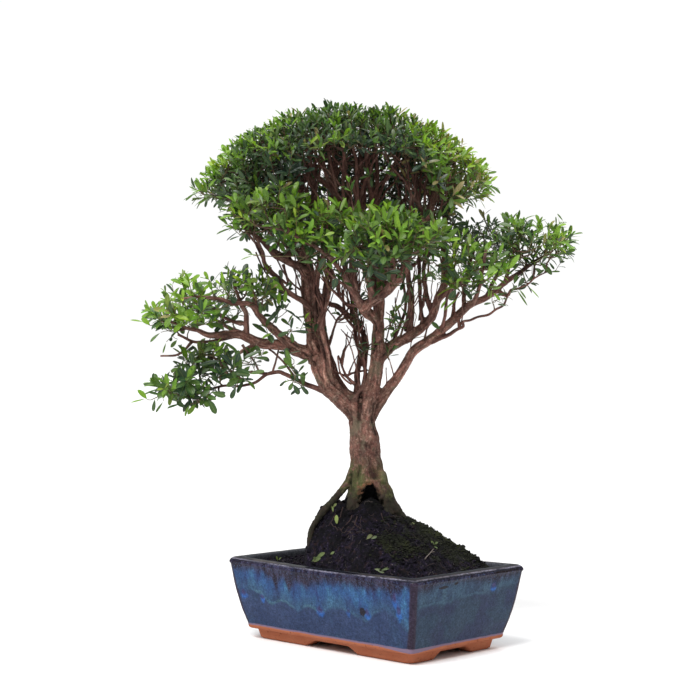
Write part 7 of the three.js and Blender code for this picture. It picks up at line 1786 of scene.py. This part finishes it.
# crumbs, grit and bits of root on the soil
def ball():
    t_ = (1 + 5 ** 0.5) / 2
    v = unit(np.array([[-1, t_, 0], [1, t_, 0], [-1, -t_, 0], [1, -t_, 0], [0, -1, t_], [0, 1, t_], [0, -1, -t_], [0, 1, -t_], [t_, 0, -1], [t_, 0, 1], [-t_, 0, -1], [-t_, 0, 1]]))
    f = [[0, 11, 5], [0, 5, 1], [0, 1, 7], [0, 7, 10], [0, 10, 11], [1, 5, 9], [5, 11, 4], [11, 10, 2], [10, 7, 6], [7, 1, 8], [3, 9, 4], [3, 4, 2], [3, 2, 6], [3, 6, 8], [3, 8, 9], [4, 9, 5], [2, 4, 11], [6, 2, 10], [8, 6, 7], [9, 8, 1]]
    v, mid, out = list(v), {}, []
    for a, b, c in f:
        e = []
        for p, q in ((a, b), (b, c), (c, a)):
            key = (min(p, q), max(p, q))
            if key not in mid:
                mid[key] = len(v)
                v.append(unit(v[p] + v[q]))
            e.append(mid[key])
        out += [[a, e[0], e[2]], [b, e[1], e[0]], [c, e[2], e[1]], e]
    return np.array(v), np.array(out)


BV_, BF_ = ball()
crumbs = Gather()
n_c = 3400
small_v, small_f = BV_[:12], np.array([[0, 11, 5], [0, 5, 1], [0, 1, 7], [0, 7, 10], [0, 10, 11], [1, 5, 9], [5, 11, 4], [11, 10, 2], [10, 7, 6], [7, 1, 8], [3, 9, 4], [3, 4, 2], [3, 2, 6], [3, 6, 8], [3, 8, 9], [4, 9, 5], [2, 4, 11], [6, 2, 10], [8, 6, 7], [9, 8, 1]])
xs, ys = rng.uniform(-133, 133, n_c), rng.uniform(-78, 78, n_c)
zs = soil_top(xs, ys)
c_moss, c_shade = moss_mask(xs, ys), shade_mask(xs, ys)
for i in range(n_c):
    u_ = rng.uniform()
    r_ = rng.uniform(0.45, 1.1) if u_ < 0.72 else rng.uniform(1.0, 1.9) if u_ < 0.95 else rng.uniform(1.8, 3.2)
    bv_, bf_ = (small_v, small_f) if r_ < 1.5 else (BV_, BF_)
    d_ = 1 + 0.75 * pnoise(bv_ * 1.5 + i * 3.1, 5)
    sc_ = rng.uniform(0.5, 1.3, 3) * r_
    q_ = bv_ * d_[:, None] * sc_
    a_ = rng.uniform(0, 2 * math.pi)
    q_ = np.stack([q_[:, 0] * math.cos(a_) - q_[:, 2] * math.sin(a_), q_[:, 1], q_[:, 0] * math.sin(a_) + q_[:, 2] * math.cos(a_)], -1)
    crumbs.add(q_ + np.array([xs[i], ys[i], zs[i] + r_ * 0.15]), (), bf_, moss=np.full(len(bv_), c_moss[i]), shade=np.full(len(bv_), c_shade[i]))
make("soil_crumbs", crumbs.verts(), crumbs.faces(), SOIL, attrs={"moss": crumbs.attr("moss"), "shade": crumbs.attr("shade")}, replaces=("soil",), slot="soil")

# rootlets and threads of bark lying in the soil: some traced, the rest strewn
m = Nodes("rootlet")
nz_ = m.noise(m.coords(), 380.0, 3.0, 0.6)
rt_ = m.attr("tone")
ROOTLET = m.done(m.principled(m.mix(rt_, m.mix(nz_, (0.008, 0.004, 0.004), (0.040, 0.017, 0.015)), m.mix(nz_, (0.034, 0.027, 0.024), (0.130, 0.108, 0.096))), 0.9, m.bump(nz_, 0.5, 0.0004)).outputs[0])
fib = Gather()


def fibre(pts, r0, tone_):
    pts = np.asarray(pts, float)
    tn = unit(np.gradient(pts, axis=0))
    ns, bs = frames_along(tn)
    rad = r0 * np.linspace(1.0, 0.45, len(pts))
    v, q, t = tube(pts, rad, ns, bs, 5)
    fib.add(v, q, t, tone=np.full(len(v), tone_))


for path, r0, tone_ in (([(353, 513), (350, 521), (345, 527), (340, 531)], 1.0, 0.0), ([(357, 518), (354, 527), (348, 534), (343, 537)], 0.8, 0.0),
                        ([(332, 523), (338, 529), (345, 532), (353, 533)], 0.6, 0.05), ([(352, 522), (358, 529), (365, 532), (371, 531)], 0.7, 0.0),
                        ([(392, 511), (397, 517), (404, 520)], 0.9, 0.05), ([(362, 516), (360, 524), (363, 533)], 0.5, 0.05), ([(336, 512), (333, 520), (328, 527)], 0.9, 0.0),
                        ([(343, 508), (341, 517), (336, 523)], 0.8, 0.0), ([(381, 514), (384, 522), (390, 527)], 0.6, 0.05)):
    q_ = np.array([soil_hit(*w) for w in path])
    u = np.linspace(0, 1, 12)
    s_ = np.linspace(0, 1, len(q_))
    pts = np.stack([np.interp(u, s_, q_[:, k]) for k in range(3)], -1)
    pts = pts + 1.0 * np.stack([fbm(np.stack([u * 6, np.full(12, path[0][0] * 1.7), np.full(12, k * 5.1)], -1), 2, 71) for k in range(3)], -1)
    pts[:, 2] = soil_top(pts[:, 0], pts[:, 1]) + 0.25
    fibre(pts, r0, tone_)
for i in range(170):
    x0, y0 = rng.uniform(-130, 130), rng.uniform(-76, 76)
    L_, a_ = rng.uniform(2.5, 11.0), rng.uniform(0, 2 * math.pi)
    u = np.linspace(-0.5, 0.5, 7)
    bow = rng.normal() * 0.35
    lx, ly = u * L_, bow * L_ * (0.25 - u ** 2) * 4
    gxx, gyy = x0 + lx * math.cos(a_) - ly * math.sin(a_), y0 + lx * math.sin(a_) + ly * math.cos(a_)
    gxx, gyy = np.clip(gxx, -134, 134), np.clip(gyy, -79, 79)
    fibre(np.stack([gxx, gyy, soil_top(gxx, gyy) + 0.15 + 0.9 * np.abs(rng.normal()) * (u + 0.5)], -1), rng.uniform(0.14, 0.42), rng.uniform(0, 1) ** 1.6)
make("soil_rootlets", fib.verts(), fib.faces(), ROOTLET, attrs={"tone": fib.attr("tone")}, replaces=("soil",), slot="soil")


# ---- moss ----------------------------------------------------------------------------------------
def moss_material():
    m = Nodes("moss")
    obj = m.coords()
    tip = m.attr("tip")
    n1 = m.noise(obj, 330.0, 3.0, 0.6)
    n2 = m.noise(obj, 45.0, 2.0, 0.6)
    n3 = m.noise(obj, 150.0, 3.0, 0.6)
    lowc = m.mix(n1, (0.0020, 0.0026, 0.0018), (0.0110, 0.0130, 0.0060))
    high = m.mix(m.range(n2, 0.44, 0.66), (0.0170, 0.0215, 0.0090), (0.0640, 0.0740, 0.0250))
    high = m.mix(m.range(n3, 0.52, 0.68, 0.0, 0.7), high, (0.0110, 0.0100, 0.0085))
    # painted light: lit brightens and yellows the tips, most on the crest of the slope
    lit = m.attr("lit")
    high = m.mix(1.0, high, m.comb(lit, lit, m.math("MULTIPLY", lit, 0.75)), "MULTIPLY")
    col = m.mix(m.math("MULTIPLY", tip, 0.85), lowc, high)
    sh = m.principled(col, 0.8, m.bump(n1, 0.6, 0.0008))
    sh.inputs["Specular IOR Level"].default_value = 0.2
    return m.done(sh.outputs[0])


MOSS = moss_material()
for node, mr, mt, ra, rb, cnt in (("moss_right", 80.0, 20.0, 78.0, 58.0, 17000), ("moss_front", 26.0, 70.0, 36.0, 24.0, 4200)):
    g_ = Gather()
    u1 = rng.uniform(0, 1, cnt) ** 0.5
    an = rng.uniform(0, 2 * math.pi, cnt)
    base_ = np.array([rtz(mr + ra * a * math.cos(b), mt + rb * a * math.sin(b), 0) for a, b in zip(u1, an)])
    ok = (np.abs(base_[:, 0]) < 133) & (np.abs(base_[:, 1]) < 78)
    base_ = base_[ok]
    keep_ = moss_mask(base_[:, 0], base_[:, 1]) > rng.uniform(0.12, 1.15, len(base_))
    base_ = base_[keep_]
    zz = soil_top(base_[:, 0], base_[:, 1])
    nn = soil_normal(base_[:, 0], base_[:, 1])
    # painted light: the crest of the slope is painted brightest and yellowest, with random brighter patches
    br_, bt_ = base_ @ RV, base_ @ BV
    lit_ = 0.75 + 1.75 * smooth(br_, 35, 75) * (1 - smooth(bt_, 4, 34)) + 0.5 * np.maximum(0, fbm(base_ / 9.0, 2, 261))
    # soft lumps under the blades
    lump_i = rng.choice(len(base_), min(420, len(base_)), replace=False)
    for i in lump_i:
        r_ = rng.uniform(0.9, 2.3)
        d_ = 1 + 0.30 * pnoise(small_v * 1.6 + i * 1.7, 7)
        q = small_v * d_[:, None] * np.array([r_, r_, r_ * 0.5])
        g_.add(q + np.array([base_[i, 0], base_[i, 1], zz[i]]) + nn[i] * 0.2, (), small_f, tip=np.full(len(small_v), 0.10) + 0.15 * (small_v[:, 2] > 0.3), lit=np.full(len(small_v), lit_[i]))
    n_ = len(base_)
    lean = unit(nn + rng.normal(size=(n_, 3)) * 0.55 + 0.2 * UP)
    ln = rng.uniform(0.9, 2.8, n_)
    sd = unit(np.cross(lean, rng.normal(size=(n_, 3))))
    w_ = rng.uniform(0.22, 0.50, n_)
    b0 = np.stack([base_[:, 0], base_[:, 1], zz - 0.3], -1)
    mid_ = b0 + lean * (ln * 0.55)[:, None] + rng.normal(size=(n_, 3)) * 0.2
    tip_ = b0 + lean * ln[:, None] + rng.normal(size=(n_, 3)) * 0.5
    vv = np.stack([b0 - sd * w_[:, None] * 0.6, b0 + sd * w_[:, None] * 0.6, mid_ + sd * w_[:, None] * 0.5, mid_ - sd * w_[:, None] * 0.5, tip_], 1).reshape(-1, 3)
    o_ = np.arange(n_)[:, None] * 5
    g_.add(vv, np.array([[0, 1, 2, 3]]) + o_, np.array([[3, 2, 4]]) + o_, tip=np.tile([0, 0, 0.6, 0.6, 1.0], n_), lit=np.repeat(lit_, 5))
    make(node + "_growth", g_.verts(), g_.faces(), MOSS, attrs={"tip": g_.attr("tip"), "lit": g_.attr("lit")}, replaces=(node,), slot="moss")

# ---- fallen leaves, seedlings and the dead twig -----------------------------------------------------
m = Nodes("fallen_leaf")
dat_ = m.sep(m.attr("leafdat", "Vector"))
acr_ = m.attr("across")
o_ = m.coords()
nz_ = m.noise(o_, 300.0, 3.0, 0.6)
col_ = m.mix(dat_[0], m.mix(nz_, (0.016, 0.032, 0.010), (0.046, 0.080, 0.020)), m.mix(nz_, (0.170, 0.240, 0.045), (0.330, 0.390, 0.100)))
col_ = m.mix(m.range(m.noise(o_, 110.0, 3.0, 0.6), 0.52, 0.62, 0.0, 0.45), col_, (0.090, 0.074, 0.024))
rb_ = m.math("MULTIPLY", m.range(m.math("ABSOLUTE", acr_), 0.16, 0.02), 0.5)
col_ = m.mix(rb_, col_, m.mix(0.30, col_, (0.30, 0.34, 0.12)))
FALLEN_MAT = m.done(m.principled(col_, 0.55, m.bump(nz_, 0.3, 0.0003)).outputs[0])
# each leaf: the pixel of its foot and of its tip, its width in pixels, how fresh it is, and whether it stands up
FALLEN = [[(312, 562, 320.5, 558.5, 4.6, 0.15, 0), (317, 558, 325, 553.5, 3.8, 0.22, 0), (316, 561, 314, 557, 2.4, 0.08, 1)],
          [(278, 562, 276.5, 556.5, 2.2, 0.40, 1), (278.5, 561, 280.8, 557.5, 1.9, 0.25, 1)],
          [(366.5, 540, 372, 535.5, 3.8, 0.12, 0), (371, 539.5, 376.5, 537.5, 2.8, 0.06, 0)],
          [(374, 569.5, 382, 571.5, 2.8, 0.15, 0), (381, 571, 389, 569, 2.4, 0.10, 0), (378, 572, 384, 573.5, 2.0, 0.05, 0)],
          [(434, 546, 431.5, 541, 2.6, 0.20, 1), (434, 545, 437.5, 542, 2.4, 0.12, 1), (433.5, 547, 436.5, 549, 2.0, 0.08, 0)],
          [(330.5, 555, 335, 552.5, 2.4, 0.2, 0)],
          [(337.3, 525, 336.2, 515.5, 3.8, 0.70, 1)],
          [(333.5, 512.5, 332.5, 507, 2.0, 0.35, 1), (333, 508.5, 330, 505, 2.4, 0.25, 1), (333.2, 508, 336.2, 503.5, 2.6, 0.42, 1)],
          [(410, 526, 414, 523.5, 2.6, 0.40, 0)]]
for i, rows in enumerate(FALLEN):
    P, D, N, ln, wd, fo, cu, ag, rn = [], [], [], [], [], [], [], [], []
    for x0, y0, x1, y1, w_, fresh, stands in rows:
        foot = soil_hit(x0, y0)
        nn = soil_normal(foot[:1], foot[1:2])[0]
        if stands:
            tip_ = at(x1, y1, float(foot @ BV) + 2.0)
        else:
            tip_ = soil_hit(x1, y1) + nn * 2.0
        foot = foot + nn * 0.9
        L_ = float(np.linalg.norm(tip_ - foot))
        P.append(foot); D.append((tip_ - foot) / L_); N.append(unit(nn + 0.8 * BV)); ln.append(L_ * 1.05); wd.append(w_ * 1.25)
        fo.append(0.3); cu.append(0.25); ag.append(fresh); rn.append(0.5)
    v, q, t, dat, acr = leaf_mesh(*(np.array(w) for w in (P, D, N, ln, wd, fo, cu, ag, rn)))
    make("fallen_leaf_%d_blade" % (i + 1), v, [q, t], FALLEN_MAT, attrs={"across": acr}, vattrs={"leafdat": dat},
         replaces=("fallen_leaf_%d" % (i + 1),), slot="fallen_leaf")

m = Nodes("dead_twig")
nz_ = m.noise(m.coords(), 320.0, 3.0, 0.6)
DEAD = m.done(m.principled(m.mix(nz_, (0.085, 0.068, 0.060), (0.22, 0.185, 0.165)), 0.8, m.bump(nz_, 0.5, 0.0004)).outputs[0])
stick = Gather()
for path, r0, r1 in (([(424.7, 560), (427.2, 556.6), (429.6, 554.4), (431.8, 551.6), (433.6, 549.4)], 0.62, 0.42), ([(430.2, 553.6), (432.6, 552.6), (434.8, 552.4)], 0.42, 0.30)):
    tw = np.array([soil_hit(*w) + 1.3 * BV + 0.9 * UP for w in path])
    tn = unit(np.gradient(tw, axis=0))
    ns, bs = frames_along(tn)
    v, q, t = tube(tw, np.linspace(r0, r1, len(tw)), ns, bs, 7)
    stick.add(v, q, t)
make("dead_twig_stick", stick.verts(), stick.faces(), DEAD, replaces=("dead_twig",), slot="dead_twig")

# ---- screens and their wires: the modelled nodes themselves ---------------------------------------------
m = Nodes("drain_screen")
nz_ = m.noise(m.coords(), 500.0, 3.0, 0.6)
SCREEN = m.done(m.principled(m.mix(nz_, (0.010, 0.011, 0.011), (0.030, 0.032, 0.030)), m.range(nz_, 0.3, 0.7, 0.45, 0.7), m.bump(nz_, 0.3, 0.0003)).outputs[0])
m = Nodes("screen_wire")
nz_ = m.noise(m.coords(), 700.0, 3.0, 0.6)
WIRE = m.done(m.principled(m.mix(nz_, (0.42, 0.42, 0.43), (0.62, 0.62, 0.63)), m.range(nz_, 0.3, 0.7, 0.3, 0.5), m.bump(nz_, 0.2, 0.0002), Metallic=1.0).outputs[0])
for node, mat in (("drain_screen_left", SCREEN), ("drain_screen_right", SCREEN), ("screen_wire_left", WIRE), ("screen_wire_right", WIRE)):
    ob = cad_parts[node]
    ob.data.materials.clear()
    ob.data.materials.append(mat)

# ---- floor and light ---------------------------------------------------------------------------------------
m = Nodes("floor")
fx = m.sep(m.coords())
far_ = m.math("SQRT", m.math("ADD", m.math("MULTIPLY", fx[0], fx[0]), m.math("MULTIPLY", fx[1], fx[1])))
FLOOR = m.done(m.principled(m.mix(m.range(far_, 0.30, 0.75), (0.90, 0.90, 0.90), (0.68, 0.68, 0.68)), 0.9, None).outputs[0])
floor = make("floor", np.array([[-20000, -20000, -0.02], [20000, -20000, -0.02], [20000, 20000, -0.02], [-20000, 20000, -0.02]], float), [np.array([[0, 1, 2, 3]])], FLOOR, shade=False)

# a white surround, brighter overhead than at the sides in what it throws on the tree
world = bpy.data.worlds.new("studio")
bpy.context.scene.world = world
world.use_nodes = True
wt = world.node_tree
wt.nodes.clear()
w_out = wt.nodes.new("ShaderNodeOutputWorld")
w_bg = wt.nodes.new("ShaderNodeBackground")
w_path = wt.nodes.new("ShaderNodeLightPath")
w_co = wt.nodes.new("ShaderNodeTexCoord")
w_sep = wt.nodes.new("ShaderNodeSeparateXYZ")
w_rng = wt.nodes.new("ShaderNodeMapRange")
w_mix = wt.nodes.new("ShaderNodeMix")
w_mix.data_type = "FLOAT"
wt.links.new(w_co.outputs["Generated"], w_sep.inputs[0])
wt.links.new(w_sep.outputs[2], w_rng.inputs["Value"])
for k_, x_ in (("From Min", 0.0), ("From Max", 0.9), ("To Min", 0.24), ("To Max", 1.05)):
    w_rng.inputs[k_].default_value = x_
wt.links.new(w_path.outputs["Is Camera Ray"], w_mix.inputs[0])
wt.links.new(w_rng.outputs["Result"], w_mix.inputs[2])
w_mix.inputs[3].default_value = 1.02
w_bg.inputs["Color"].default_value = (1.0, 1.0, 1.0, 1.0)
wt.links.new(w_mix.outputs[0], w_bg.inputs["Strength"])
wt.links.new(w_bg.outputs[0], w_out.inputs["Surface"])


def sun(name, place, power, spread_):
    """A wide soft light from a direction, so that the floor is lit alike everywhere."""
    d = bpy.data.lights.new(name, "SUN")
    d.energy, d.angle = power, math.radians(spread_)
    o = bpy.data.objects.new(name, d)
    bpy.context.scene.collection.objects.link(o)
    o.location = (np.asarray(place) + OFF) * 0.001
    o.rotation_euler = Vector(np.asarray(place, float)).to_track_quat("Z", "Y").to_euler()
    return o


sun("key", rtz(-650, 1100, 1800), 2.7, 24.0)
sun("top", rtz(300, -200, 2100), 1.0, 60.0)

sc = bpy.context.scene
sc.view_settings.view_transform = "Standard"
sc.view_settings.look = "None"
sc.view_settings.exposure = 0.0
